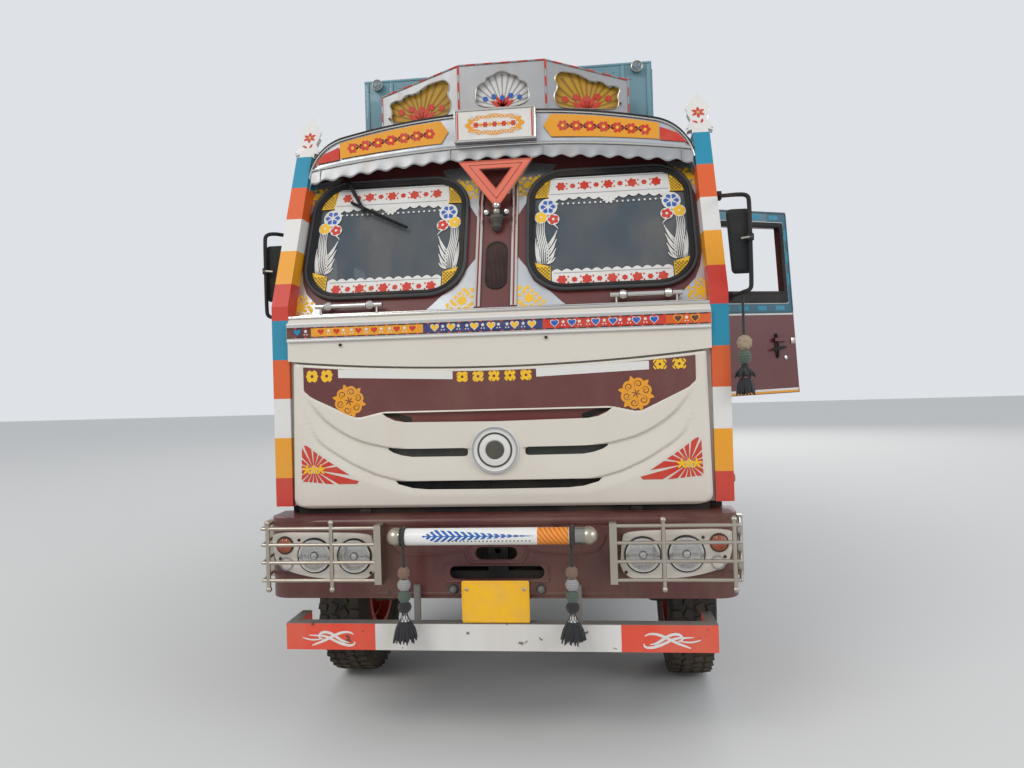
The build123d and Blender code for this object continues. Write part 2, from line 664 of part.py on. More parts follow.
# Load floor on its sills and cross bearers
with BuildPart() as load_floor:
    block((-BODY_X, BODY_FRONT + 60, BODY_FLOOR), (BODY_X, BODY_REAR, BODY_FLOOR + 40))
    for i in range(14):
        y = BODY_FRONT + 60 + i * 480
        block((-BODY_X, y, 1110), (BODY_X, y + 60, BODY_FLOOR))
    for side in SIDES:
        near, far = sorted((side * RAIL_IN, side * RAIL_OUT))
        block((near, BODY_FRONT, RAIL_TOP), (far, RAIL_REAR + 30, 1110))
load_floor.part.label = "load_floor"
export_step(load_floor.part, "parts/load_floor.step")

# Headboard in front of the floor, on the ends of the sills, with its posts against the floor
with BuildPart() as headboard:
    block((-BODY_X, BODY_FRONT, 1110), (BODY_X, BODY_FRONT + 30, BODY_TOP + 60))
    for x in (-760.0, 0.0, 760.0):
        block((x - 30, BODY_FRONT + 30, 1110), (x + 30, BODY_FRONT + 60, BODY_TOP + 60))
headboard.part.label = "headboard"
export_step(headboard.part, "parts/headboard.step")

# Load body sides with posts, joined at the back by a top rail
with BuildPart() as body_sides:
    for side in SIDES:
        near, far = sorted((side * BODY_X, side * (BODY_X + 30)))
        block((near, BODY_FRONT, 1110), (far, BODY_REAR, BODY_TOP))
        near, far = sorted((side * BODY_X, side * (BODY_X + 70)))
        block((near, BODY_FRONT, BODY_TOP), (far, BODY_REAR, BODY_TOP + 60))
        near, far = sorted((side * (BODY_X + 30), side * (BODY_X + 70)))
        for i in range(10):
            y = BODY_FRONT + i * 710
            block((near, y, 1110), (far, y + 60, BODY_TOP))
    block((-BODY_X, BODY_REAR - 60, BODY_TOP), (BODY_X, BODY_REAR, BODY_TOP + 60))
body_sides.part.label = "body_sides"
export_step(body_sides.part, "parts/body_sides.step")

# Tailgate, hinged along its lower edge
with BuildPart() as gate:
    block((-1175, BODY_REAR + 5, BODY_FLOOR + 50), (1175, BODY_REAR + 35, GATE_TOP))
    for x in (-1100.0, -550.0, 0.0, 550.0, 1100.0):
        block((x - 30, BODY_REAR + 35, BODY_FLOOR + 50), (x + 30, BODY_REAR + 60, GATE_TOP))
gate.part.label = "tailgate"
export_step(gate.part, "parts/tailgate.step")

# Rear bumper with the tail lamps
with BuildPart() as rear_bumper:
    block((-1100, RAIL_REAR + 60, 600), (1100, RAIL_REAR + 130, 720))
    for side in SIDES:
        near, far = sorted((side * (RAIL_OUT - 30), side * RAIL_OUT))
        block((near, RAIL_REAR, 600), (far, RAIL_REAR + 60, 1040))
        near, far = sorted((side * 850.0, side * 1080.0))
        block((near, RAIL_REAR + 130, 620), (far, RAIL_REAR + 160, 700))
rear_bumper.part.label = "rear_bumper"
export_step(rear_bumper.part, "parts/rear_bumper.step")

# Tassels: a cord from the tube runs through the beads and the bell into the brush
CORD_R = 7.0
CORD_BORE = 7.4
TASSEL_KNOT = 700.0
CHARM_KNOT = 1850.0
tassel_x = (-425.0, 375.0)
for side_name, x in zip(("right", "left"), tassel_x):
    with BuildPart() as tassel_cord:
        rod((x, TUBE_Y, TUBE_Z - TUBE_R), (x, TUBE_Y, TASSEL_KNOT), CORD_R)
    tassel_cord.part.label = f"tassel_cord_{side_name}"
    export_step(tassel_cord.part, f"parts/tassel_cord_{side_name}.step")
with BuildPart() as charm_cord:
    rod((CHARM[0], CHARM[1], 2202), (CHARM[0], CHARM[1], CHARM_KNOT), CORD_R)
charm_cord.part.label = "charm_cord"
export_step(charm_cord.part, "parts/charm_cord.step")
bead_outline = ((CORD_BORE, 945), (16, 940), (24, 915), (16, 890), (28, 860), (16, 830), (26, 800), (14, 775),
                (30, 740), (38, 700), (46, 660), (52, 600), (0, 595), (0, TASSEL_KNOT), (CORD_BORE, TASSEL_KNOT))
charm_outline = ((CORD_BORE, 2010), (50, 1980), (55, 1900), (40, 1820), (50, 1730), (0, 1715), (0, CHARM_KNOT),
                 (CORD_BORE, CHARM_KNOT))
with BuildPart() as tassels:
    for x in tassel_x:
        place = Plane(origin=(x, TUBE_Y, 0), x_dir=(1, 0, 0), z_dir=(0, -1, 0))
        with BuildSketch(place):
            with BuildLine():
                Polyline(*bead_outline, close=True)
            make_face()
        revolve(axis=Axis((x, TUBE_Y, 0), (0, 0, 1)))
    place = Plane(origin=(*CHARM, 0), x_dir=(1, 0, 0), z_dir=(0, -1, 0))
    with BuildSketch(place):
        with BuildLine():
            Polyline(*charm_outline, close=True)
        make_face()
    revolve(axis=Axis((*CHARM, 0), (0, 0, 1)))
tassels.part.label = "tassels"
export_step(tassels.part, "parts/tassels.step")

# Doors. The left one stands open, the right one is closed.
door_window = (DOOR_FRONT + 70, DOOR_FRONT + DOOR_WIDTH - 60, 2290.0, 2668.0)
lean = math.radians(HINGE_LEAN)
hinge_middle = (DOOR_LOW + DOOR_TOP) / 2
for side_name, side, turn in (("left", 1, DOOR_OPEN), ("right", -1, 0.0)):
    near, far = sorted((side * (CAB_X - WALL), side * CAB_X))
    with BuildPart() as door:
        block((near, DOOR_FRONT, DOOR_LOW), (far, DOOR_FRONT + DOOR_WIDTH, DOOR_TOP))
        block((near, door_window[0], door_window[2]), (far, door_window[1], door_window[3]), mode=Mode.SUBTRACT)
        low, high = sorted((side * CAB_X, side * (CAB_X + 25)))
        block((low, DOOR_FRONT + 430, 2000), (high, DOOR_FRONT + 520, 2020))
    hinge = Axis((side * CAB_X, DOOR_FRONT, hinge_middle), (0, math.sin(lean), math.cos(lean)))
    placed = door.part.rotate(hinge, -side * turn)
    placed.label = f"door_{side_name}"
    export_step(placed, f"parts/door_{side_name}.step")

# Steering knuckles: two lugs around the beam's eye, kingpin, web, spindle and arm
for side_name, side in (("left", 1), ("right", -1)):
    with BuildPart() as knuckle:
        for z_low, z_high in ((430.0, 475.0), (585.0, 630.0)):
            with BuildSketch(Plane.XY.offset(z_low)):
                with Locations((side * KINGPIN_X, 0)):
                    Circle(48)
                with Locations((side * (KINGPIN_X + 42), 0)):
                    Rectangle(84, 90)
            extrude(amount=z_high - z_low)
        rod((side * KINGPIN_X, 0, 440), (side * KINGPIN_X, 0, 620), 22)
        near, far = sorted((side * 914.0, side * 944.0))
        block((near, -60, 430), (far, 60, 630))
        rod((side * 944, 0, TYRE_R), (side * 1060, 0, TYRE_R), 30)
        block((side * KINGPIN_X - 20, 0, 430), (side * KINGPIN_X + 20, STEER_ARM, 455))
        with BuildSketch(Plane.XY.offset(430)):
            with Locations((side * KINGPIN_X, STEER_ARM)):
                Circle(24)
        extrude(amount=25)
        with BuildSketch(Plane.XY.offset(420)):
            with Locations((side * KINGPIN_X, STEER_ARM)):
                Circle(10.05 if side > 0 else 12)
        extrude(amount=45, mode=Mode.SUBTRACT)
    knuckle.part.label = f"knuckle_{side_name}"
    export_step(knuckle.part, f"parts/knuckle_{side_name}.step")

# Tie rod with a stud up into each arm
with BuildPart() as tie_rod:
    rod((-KINGPIN_X, STEER_ARM, 405), (KINGPIN_X, STEER_ARM, 405), 14)
    for side in SIDES:
        rod((side * KINGPIN_X, STEER_ARM, 387), (side * KINGPIN_X, STEER_ARM, 423), 24)
        rod((side * KINGPIN_X, STEER_ARM, 423), (side * KINGPIN_X, STEER_ARM, 458), 10)
tie_rod.part.label = "tie_rod"
export_step(tie_rod.part, "parts/tie_rod.step")

# Wheels. Profiles are (distance from the wheel's middle, radius), turned about the axle.
tyre_profile = ((-104, 256), (-104, 277), (-137, 340), (-137, 420), (-122, 500), (-85, 525),
                (85, 525), (122, 500), (137, 420), (137, 340), (104, 277), (104, 256))
front_rim = ((-118, 274), (-106, 274), (-106, 254), (106, 254), (106, 274), (118, 274), (118, 235),
             (90, 230), (90, 100), (130, 100), (130, 0), (60, 0), (60, 30.05), (-75, 30.05), (-75, 90), (50, 90),
             (50, 190), (-70, 190), (-70, 205), (60, 205), (60, 235), (-118, 235))
rear_rim = ((-283, 274), (-271, 274), (-271, 254), (-59, 254), (-59, 274), (-47, 274), (-47, 235), (-20, 210),
            (20, 210), (47, 235), (47, 274), (59, 274), (59, 254), (271, 254), (271, 274), (283, 274), (283, 235),
            (70, 235), (20, 190), (20, 110), (130, 110), (130, 0), (75, 0), (75, 45.05), (-180, 45.05), (-180, 100),
            (-30, 100), (-30, 180), (-250, 180), (-250, 200), (-30, 200), (-70, 235), (-283, 235))


def turned(profile, middle_x, side, axle_y):
    """A wheel profile turned about the axle, in the part that is being built."""
    with BuildSketch(Plane(origin=(0, axle_y, TYRE_R), x_dir=(1, 0, 0), z_dir=(0, -1, 0))) as face:
        with BuildLine():
            Polyline(*[(side * (middle_x + x), radius) for x, radius in profile], close=True)
        make_face()
    revolve(face.sketch, axis=Axis((0, axle_y, TYRE_R), (1, 0, 0)))


wheel_table = (  # name, side, axle y, middle of the rim, middles of the tyres, rim profile
    ("front_left", 1, 0.0, FRONT_WHEEL_X, (FRONT_WHEEL_X,), front_rim),
    ("front_right", -1, 0.0, FRONT_WHEEL_X, (FRONT_WHEEL_X,), front_rim),
    ("rear_left", 1, REAR_AXLE_Y, TWIN_X, (TWIN_X - TWIN_OFFSET, TWIN_X + TWIN_OFFSET), rear_rim),
    ("rear_right", -1, REAR_AXLE_Y, TWIN_X, (TWIN_X - TWIN_OFFSET, TWIN_X + TWIN_OFFSET), rear_rim),
)
for wheel_name, side, axle_y, rim_x, tyre_xs, rim_profile in wheel_table:
    with BuildPart() as tyre:
        for x in tyre_xs:
            turned(tyre_profile, x, side, axle_y)
    tyre.part.label = f"tyre_{wheel_name}"
    export_step(tyre.part, f"parts/tyre_{wheel_name}.step")
    with BuildPart() as rim:
        turned(rim_profile, rim_x, side, axle_y)
    rim.part.label = f"rim_{wheel_name}"
    export_step(rim.part, f"parts/rim_{wheel_name}.step")
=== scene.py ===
"""Decorated goods truck: finishes, ornaments and soft pieces around the frame. Lengths in metres."""
import math
import random

import bpy
from mathutils import Matrix, Vector


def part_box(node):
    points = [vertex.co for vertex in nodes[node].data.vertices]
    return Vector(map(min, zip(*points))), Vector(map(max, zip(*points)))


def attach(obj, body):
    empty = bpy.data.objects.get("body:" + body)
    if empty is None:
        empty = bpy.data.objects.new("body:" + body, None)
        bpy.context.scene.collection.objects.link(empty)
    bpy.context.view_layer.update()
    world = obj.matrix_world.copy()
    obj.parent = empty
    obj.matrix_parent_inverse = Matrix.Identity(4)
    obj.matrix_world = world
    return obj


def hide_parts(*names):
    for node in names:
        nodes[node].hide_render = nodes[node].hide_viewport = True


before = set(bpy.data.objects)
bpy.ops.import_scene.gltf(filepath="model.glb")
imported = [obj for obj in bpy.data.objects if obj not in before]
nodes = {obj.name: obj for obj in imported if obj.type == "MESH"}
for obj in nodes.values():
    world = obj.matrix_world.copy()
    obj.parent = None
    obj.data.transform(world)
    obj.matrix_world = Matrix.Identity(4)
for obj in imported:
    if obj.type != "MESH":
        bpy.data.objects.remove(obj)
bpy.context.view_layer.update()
bpy.ops.object.select_all(action="DESELECT")
random.seed(4)

SIDES = (-1, 1)
SIDE_NAMES = {-1: "right", 1: "left"}

# Places that the frame gives
SCREEN_Y = -0.880
KINK_Z = 2.250
RAKE = 0.44
LEAN = math.hypot(1.0, RAKE)
SCREEN_OUT = Vector((0, -1.0 / LEAN, RAKE / LEAN))
SCREEN_UP = Vector((0, RAKE / LEAN, 1.0 / LEAN))
AXLE_Z = 0.525
FRONT_WHEEL_X = 1.030
REAR_AXLE_Y = 5.200
TWIN_XS = (0.730, 1.060)
BUMPER_FRONT, TUBE_FRONT, BAR_FRONT = (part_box(name)[0].y for name in ("bumper", "nudge_tube", "lower_bar"))
BOX_LOW, BOX_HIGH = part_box("roof_box")


# Colours, written as they look

def tone(red, green, blue):
    """A colour given as 0 to 255 on screen, as linear values."""
    linear = []
    for part in (red, green, blue):
        share = part / 255
        linear.append(share / 12.92 if share <= 0.04045 else ((share + 0.055) / 1.055) ** 2.4)
    return (*linear, 1.0)


MAROON = tone(92, 40, 40)
CREAM = tone(204, 197, 186)
WHITE = tone(208, 206, 202)
RED = tone(190, 46, 30)
ORANGE = tone(204, 84, 24)
AMBER = tone(218, 146, 22)
YELLOW = tone(228, 178, 24)
CYAN = tone(0, 126, 156)
BLUE = tone(28, 86, 168)
NAVY = tone(38, 48, 104)
BLACK = tone(22, 22, 23)
GREY_BLUE = tone(98, 136, 148)
TEAL = tone(22, 82, 98)
SALMON = tone(216, 108, 86)
DUST = tone(168, 146, 118)
RUST = tone(104, 60, 36)
CHROME = tone(206, 204, 200)


# Shader maths

class Value:
    """A shader socket, or a number, that takes part in Python arithmetic."""

    def __init__(self, finish, socket):
        self.finish = finish
        self.socket = socket

    def maths(self, operation, *values):
        return self.finish.node("Math", {"operation": operation}, dict(enumerate(values)))

    def __add__(self, other):
        return self.maths("ADD", self, other)

    def __sub__(self, other):
        return self.maths("SUBTRACT", self, other)

    def __rsub__(self, other):
        return self.maths("SUBTRACT", other, self)

    def __mul__(self, other):
        return self.maths("MULTIPLY", self, other)

    def __mod__(self, other):
        return self.maths("FLOORED_MODULO", self, other)

    def __gt__(self, other):
        return self.maths("GREATER_THAN", self, other)

    def __lt__(self, other):
        return self.maths("LESS_THAN", self, other)

    def __abs__(self):
        return self.maths("ABSOLUTE", self)

    def sine(self):
        return self.maths("SINE", self)

    def ramp(self, low, high):
        """0 below low, 1 above high, straight between them."""
        return self.finish.node("MapRange", {"clamp": True},
                                {"Value": self, "From Min": low, "From Max": high})


class Finish:
    """A material with its node tree and the one method that adds a node."""

    def __init__(self, name, **constants):
        self.material = bpy.data.materials.new(name)
        self.material.use_nodes = True
        self.tree = self.material.node_tree
        self.shader = self.tree.nodes["Principled BSDF"]
        for socket, value in constants.items():
            self.shader.inputs[socket.replace("_", " ")].default_value = value

    def feed(self, socket, value):
        if isinstance(value, Value):
            self.tree.links.new(value.socket, socket)
        else:
            socket.default_value = value

    def node(self, kind, settings=None, inputs=None, output=0):
        made = self.tree.nodes.new("ShaderNode" + kind)
        for key, value in (settings or {}).items():
            setattr(made, key, value)
        for key, value in (inputs or {}).items():
            self.feed(made.inputs[key], value)
        return Value(self, made.outputs[output])

    def place(self):
        """The point on the piece, in metres."""
        return self.node("TexCoord", output="Object")

    def xyz(self):
        split = self.node("SeparateXYZ", None, {0: self.place()})
        return [Value(self, socket) for socket in split.socket.node.outputs]

    def noise(self, scale, detail=4.0, stretch=None):
        place = self.place()
        if stretch:
            place = self.node("VectorMath", {"operation": "MULTIPLY"}, {0: place, 1: stretch})
        return self.node("TexNoise", None, {"Vector": place, "Scale": scale, "Detail": detail})

    def mix(self, share, first, second):
        """Two colours mixed; 6 and 7 are the colour sockets in, 2 the one out."""
        return self.node("Mix", {"data_type": "RGBA"}, {"Factor": share, 6: first, 7: second}, output=2)

    def bump(self, height, depth, strength=1.0):
        """Sends a height between 0 and 1, depth metres tall, to the shader's normal."""
        made = self.node("Bump", None, {"Height": height, "Distance": depth, "Strength": strength})
        self.set(Normal=made)

    def set(self, **values):
        for socket, value in values.items():
            self.feed(self.shader.inputs[socket.replace("_", " ")], value)


def soiled(finish, colour, dust=0.25, mottle=0.10, chips=0.0, under=RUST):
    """A colour with mottling, dust that gathers low and in patches, rain streaks and chips."""
    z = finish.xyz()[2]
    broad = finish.noise(2.3, 5.0)
    fine = finish.noise(38.0, 3.0)
    streaks = finish.noise(9.0, 4.0, (1.0, 1.0, 0.08))
    shaded = finish.mix((broad - 0.45) * mottle * 4, colour, DUST)
    low = (1.9 - z).ramp(0.0, 1.8)
    cover = (broad * 0.5 + streaks * 0.6 + low * 0.35 - 0.62).ramp(0.0, 0.55) * dust
    shaded = finish.mix(cover + fine.ramp(0.55, 0.8) * 0.03, shaded, DUST)
    if chips:
        spots = (finish.noise(21.0, 6.0) + broad * 0.3).ramp(0.84 - chips, 0.87 - chips)
        shaded = finish.mix(spots * 0.9, shaded, under)
    return shaded, cover, fine


def paint(name, colour, gloss=0.38, dust=0.25, mottle=0.10, chips=0.0, under=RUST, coat=0.25):
    finish = Finish(name, Specular_IOR_Level=0.45)
    shaded, cover, fine = soiled(finish, colour, dust, mottle, chips, under)
    ripple = finish.noise(7.0, 2.0)
    finish.set(Base_Color=shaded, Roughness=cover * 0.5 + fine * 0.12 + gloss,
               Coat_Weight=coat - cover * coat)
    finish.bump(ripple * 0.7 + fine * 0.3, 0.0012, 0.5)
    return finish.material


def plated(name, colour=CHROME, gloss=0.14, dust=0.2, pits=0.4):
    finish = Finish(name, Metallic=1.0)
    broad = finish.noise(5.0, 4.0)
    fine = finish.noise(90.0, 3.0)
    spots = fine.ramp(0.62, 0.75) * broad.ramp(0.45, 0.7) * pits
    shaded = finish.mix(spots, finish.mix(broad.ramp(0.35, 0.8) * dust, colour, DUST), RUST)
    finish.set(Base_Color=shaded, Metallic=1.0 - spots * 0.8, Roughness=broad * 0.16 + spots * 0.5 + gloss)
    finish.bump(fine, 0.0004, 0.3)
    return finish.material


def sheet_steel(name, colour=tone(168, 173, 180), gloss=0.26, dent=0.004):
    """Rolled stainless sheet with soft dents, a fine grain and water marks."""
    finish = Finish(name, Metallic=0.85)
    dents = finish.noise(6.5, 1.5)
    grain = finish.noise(60.0, 3.0, (1.0, 12.0, 12.0))
    marks = finish.noise(13.0, 5.0, (1.0, 1.0, 0.25))
    shaded = finish.mix(marks.ramp(0.5, 0.85) * 0.35, colour, DUST)
    finish.set(Base_Color=shaded, Roughness=grain * 0.14 + marks * 0.18 + gloss)
    finish.bump(dents, dent, 0.6)
    return finish.material


def rubber(name, colour=BLACK, dust=0.35, grain=0.0008):
    finish = Finish(name, Specular_IOR_Level=0.3)
    shaded, cover, fine = soiled(finish, colour, dust, 0.08)
    finish.set(Base_Color=shaded, Roughness=fine * 0.2 + 0.62)
    finish.bump(finish.noise(160.0, 3.0), grain, 0.6)
    return finish.material


def flat_paint(name, colour, gloss=0.45, fade=0.18):
    """Thin sign paint or sticker foil: a little mottled and scratched."""
    finish = Finish(name, Specular_IOR_Level=0.4)
    broad = finish.noise(14.0, 4.0)
    scratches = finish.noise(55.0, 4.0, (0.4, 1.0, 1.6))
    shaded = finish.mix(broad.ramp(0.4, 0.8) * fade, colour, DUST)
    shaded = finish.mix(scratches.ramp(0.66, 0.72) * 0.35, shaded,
                        tuple(0.6 * c for c in colour[:3]) + (1.0,))
    finish.set(Base_Color=shaded, Roughness=broad * 0.2 + gloss)
    finish.bump(scratches, 0.0002, 0.3)
    return finish.material


# Making pieces

def active(name, finish=None):
    """Names the object just made, and gives it its finish."""
    piece = bpy.context.object
    piece.name = name
    piece.data.name = name
    if finish:
        piece.data.materials.clear()
        piece.data.materials.append(finish)
    return piece


def only(piece):
    bpy.ops.object.select_all(action="DESELECT")
    piece.select_set(True)
    bpy.context.view_layer.objects.active = piece


def settle(piece):
    """Puts a piece's place into its mesh."""
    only(piece)
    bpy.ops.object.transform_apply(location=True, rotation=True, scale=True)
    return piece


def modify(piece, kind, **settings):
    """Adds a modifier and applies it."""
    only(piece)
    modifier = piece.modifiers.new(kind.lower(), kind)
    for key, value in settings.items():
        setattr(modifier, key, value)
    bpy.ops.object.modifier_apply(modifier=modifier.name)
    return piece


def softened(piece, width, segments=2, angle=35.0):
    modify(piece, "BEVEL", width=width, segments=segments, limit_method="ANGLE",
           angle_limit=math.radians(angle))
    return smoothed(piece)


def smoothed(piece, angle=38.0):
    only(piece)
    bpy.ops.object.shade_smooth_by_angle(angle=math.radians(angle))
    return piece


def cleaned(piece):
    """Doubles merged and faces turned outwards, for a closed mesh."""
    only(piece)
    bpy.ops.object.mode_set(mode="EDIT")
    bpy.ops.mesh.select_all(action="SELECT")
    bpy.ops.mesh.remove_doubles(threshold=0.00005)
    bpy.ops.mesh.normals_make_consistent(inside=False)
    bpy.ops.object.mode_set(mode="OBJECT")
    return piece


def bar(name, low, high, finish, edge=0.003, segments=2):
    """A rectangular piece between two opposite corners, its edges softened."""
    bpy.ops.mesh.primitive_cube_add(size=1, location=(Vector(low) + Vector(high)) / 2)
    piece = active(name, finish)
    piece.scale = [abs(b - a) for a, b in zip(low, high)]
    settle(piece)
    return softened(piece, edge, segments)


TURNS = {"Z": Matrix(), "X": Matrix.Rotation(math.pi / 2, 4, "Y"),
         "-X": Matrix.Rotation(-math.pi / 2, 4, "Y"), "Y": Matrix.Rotation(math.pi / 2, 4, "X"),
         "-Y": Matrix.Rotation(-math.pi / 2, 4, "X")}


def turned(name, profile, finish, centre, axis="Z", steps=48, angle=30.0):
    """A closed form spun from a (radius, height) profile: up for Z, left for X, forward for Y."""
    bpy.ops.mesh.primitive_circle_add(vertices=max(3, len(profile)), radius=1)
    piece = active(name, finish)
    for vertex, (radius, height) in zip(piece.data.vertices, profile):
        vertex.co = (radius, 0, height)
    only(piece)
    bpy.ops.object.mode_set(mode="EDIT")
    bpy.ops.mesh.select_all(action="SELECT")
    bpy.ops.mesh.spin(steps=steps, angle=2 * math.pi, center=(0, 0, 0), axis=(0, 0, 1))
    bpy.ops.object.mode_set(mode="OBJECT")
    cleaned(piece).data.transform(Matrix.Translation(centre) @ TURNS[axis])
    return smoothed(piece, angle)


def tube(name, points, radius, finish, smooth=True, sides=10, closed=False, taper=None):
    """A round bar along points, as a mesh. taper gives each point its share of the radius."""
    line = bpy.data.curves.new(name, "CURVE")
    line.dimensions = "3D"
    line.bevel_depth = radius
    line.bevel_resolution = max(1, sides // 4)
    line.use_fill_caps = True
    spline = line.splines.new("NURBS" if smooth else "POLY")
    spline.points.add(len(points) - 1)
    for i, point in enumerate(points):
        spline.points[i].co = (*point, 1)
        if taper:
            spline.points[i].radius = taper[i]
    spline.use_cyclic_u = closed
    if smooth:
        spline.order_u = 3
        spline.use_endpoint_u = not closed
        spline.resolution_u = 6
    piece = bpy.data.objects.new(name, line)
    bpy.context.scene.collection.objects.link(piece)
    only(piece)
    bpy.ops.object.convert(target="MESH")
    return smoothed(active(name, finish))


def ball(name, centre, radius, finish, rings=12):
    bpy.ops.mesh.primitive_uv_sphere_add(segments=2 * rings, ring_count=rings, radius=radius, location=centre)
    return smoothed(settle(active(name, finish)), 60)


def joined(name, pieces):
    """One piece from several, each face keeping its finish."""
    bpy.ops.object.select_all(action="DESELECT")
    for piece in pieces:
        piece.select_set(True)
    bpy.context.view_layer.objects.active = pieces[0]
    bpy.ops.object.join()
    pieces[0].name = name
    pieces[0].data.name = name
    return pieces[0]


def ridden(piece, body, slot, *stands_for):
    """A finished piece rides on its body, and stands for CAD nodes if any are named; slot is not used."""
    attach(piece, body)
    if stands_for:
        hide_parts(*stands_for)
    return piece


def moved(piece, matrix):
    """Moves a piece's mesh by a matrix; a mirrored one has its faces turned back."""
    piece.data.transform(matrix)
    if matrix.determinant() < 0:
        piece.data.flip_normals()
    return piece


def copied(piece, name, matrix):
    """A copy with its own mesh, moved by a matrix."""
    twin = piece.copy()
    twin.data = piece.data.copy()
    bpy.context.scene.collection.objects.link(twin)
    twin.name = name
    twin.data.name = name
    return moved(twin, matrix)


MIRROR_X = Matrix.Scale(-1, 4, (1, 0, 0))


class Board:
    """A flat or raked surface that ornament is laid on: u along it, v up it, lift off it."""

    def __init__(self, origin, right, up):
        self.origin = Vector(origin)
        self.right = Vector(right).normalized()
        self.up = Vector(up).normalized()
        self.out = self.right.cross(self.up)

    def matrix(self, lift=0.0):
        placed = Matrix((self.right, self.up, self.out)).transposed().to_4x4()
        placed.translation = self.origin + self.out * lift
        return placed

    def point(self, u, v, lift=0.0):
        return self.origin + self.right * u + self.up * v + self.out * lift


def facing_front(y, z=0.0):
    """A board that faces forward: u to the truck's left, v up."""
    return Board((0, y, z), (1, 0, 0), (0, 0, 1))


def facing_left(x):
    """A board that faces the truck's left: u to the rear, v up."""
    return Board((x, 0, 0), (0, 1, 0), (0, 0, 1))


def facing_rear(y):
    """A board that faces back: u to the truck's right, v up."""
    return Board((0, y, 0), (-1, 0, 0), (0, 0, 1))


def flat_shape(name, outlines, board, lift, thick, finish):
    """Closed outlines, holes inside shapes, as a thin plate on a board."""
    drawn = bpy.data.curves.new(name, "CURVE")
    drawn.dimensions = "2D"
    drawn.fill_mode = "BOTH"
    drawn.extrude = thick / 2
    for outline in outlines:
        spline = drawn.splines.new("POLY")
        spline.points.add(len(outline) - 1)
        for i, (u, v) in enumerate(outline):
            spline.points[i].co = (u, v, 0, 1)
        spline.use_cyclic_u = True
    piece = bpy.data.objects.new(name, drawn)
    bpy.context.scene.collection.objects.link(piece)
    only(piece)
    bpy.ops.object.convert(target="MESH")
    piece = active(name, finish)
    piece.data.transform(board.matrix(lift + thick / 2))
    return piece


def painted(name, shapes, board, lift, thick, finish):
    """Outlines that may overlap, on as few plates as their boxes allow."""
    layers = []
    for shape in shapes:
        across, up = [u for u, v in shape], [v for u, v in shape]
        box = (min(across), min(up), max(across), max(up))
        for layer in layers:
            if all(box[2] < b[0] or b[2] < box[0] or box[3] < b[1] or b[3] < box[1] for _, b in layer):
                layer.append((shape, box))
                break
        else:
            layers.append([(shape, box)])
    return [flat_shape(name, [shape for shape, _ in layer], board, lift + 0.00008 * i, thick, finish)
            for i, layer in enumerate(layers)]


def edging(name, board, outline, lift, radius, finish, sides=8):
    """A round bead along a closed outline on a board."""
    return tube(name, [board.point(u, v, lift) for u, v in outline], radius, finish, False, sides, True)


def grid(name, columns, rows, shape, finish):
    """A sheet of columns by rows faces, each corner placed by shape(u, v) with u and v from 0 to 1."""
    bpy.ops.mesh.primitive_grid_add(x_subdivisions=columns, y_subdivisions=rows, size=1)
    piece = active(name, finish)
    for vertex in piece.data.vertices:
        vertex.co = shape(vertex.co.x + 0.5, vertex.co.y + 0.5)
    return smoothed(piece, 50)


# Outlines for ornament, as lists of (u, v)

def circle(u, v, radius, steps=24):
    return [(u + radius * math.cos(t), v + radius * math.sin(t))
            for t in (2 * math.pi * i / steps for i in range(steps))]


def blossom(u, v, radius, petals=5, depth=0.25, turn=0.0, steps=10):
    outline = []
    for i in range(petals * steps):
        t = 2 * math.pi * i / (petals * steps)
        r = radius * (1 - depth + depth * abs(math.cos(petals * t / 2)))
        outline.append((u + r * math.cos(t + turn), v + r * math.sin(t + turn)))
    return outline


def heart(u, v, width, steps=20):
    outline = []
    for i in range(steps):
        t = 2 * math.pi * i / steps
        outline.append((u + width / 32 * 16 * math.sin(t) ** 3,
                        v + width / 32 * (13 * math.cos(t) - 5 * math.cos(2 * t)
                                          - 2 * math.cos(3 * t) - math.cos(4 * t))))
    return outline


def leaf(u, v, length, width, turn, bend=0.0, steps=7):
    """A pointed leaf from its foot at (u, v), turned by an angle and bent to one side."""
    left, right = [], []
    for i in range(steps + 1):
        t = i / steps
        half = width / 2 * math.sin(math.pi * t) ** 0.8 * (1.15 - 0.3 * t)
        side = bend * length * t * t
        left.append((t * length, side + half))
        right.append((t * length, side - half))
    points = left + right[::-1][1:-1]
    return [(u + a * math.cos(turn) - b * math.sin(turn), v + a * math.sin(turn) + b * math.cos(turn))
            for a, b in points]


def ribbon(points, width, ends=0.2):
    """The outline of a brush stroke along points, thin at its ends."""
    left, right = [], []
    count = len(points)
    for i, (u, v) in enumerate(points):
        before = points[max(0, i - 1)]
        after = points[min(count - 1, i + 1)]
        length = math.hypot(after[0] - before[0], after[1] - before[1]) or 1.0
        across = ((before[1] - after[1]) / length, (after[0] - before[0]) / length)
        share = ends + (1 - ends) * math.sin(math.pi * (i + 0.5) / count)
        half = width / 2 * share
        left.append((u + across[0] * half, v + across[1] * half))
        right.append((u - across[0] * half, v - across[1] * half))
    return left + right[::-1]


def curl(u, v, radius, start, turns, width, steps=16, grow=0.25):
    """A spiral brush stroke."""
    points = []
    for i in range(steps):
        t = i / (steps - 1)
        angle = start + 2 * math.pi * turns * t
        r = radius * (grow + (1 - grow) * t)
        points.append((u + r * math.cos(angle), v + r * math.sin(angle)))
    return ribbon(points, width)


def rounded(u_low, v_low, u_high, v_high, radius, steps=6):
    outline = []
    corners = ((u_high - radius, v_high - radius, 0), (u_low + radius, v_high - radius, 1),
               (u_low + radius, v_low + radius, 2), (u_high - radius, v_low + radius, 3))
    for u, v, quarter in corners:
        for i in range(steps + 1):
            t = math.pi / 2 * (quarter + i / steps)
            outline.append((u + radius * math.cos(t), v + radius * math.sin(t)))
    return outline


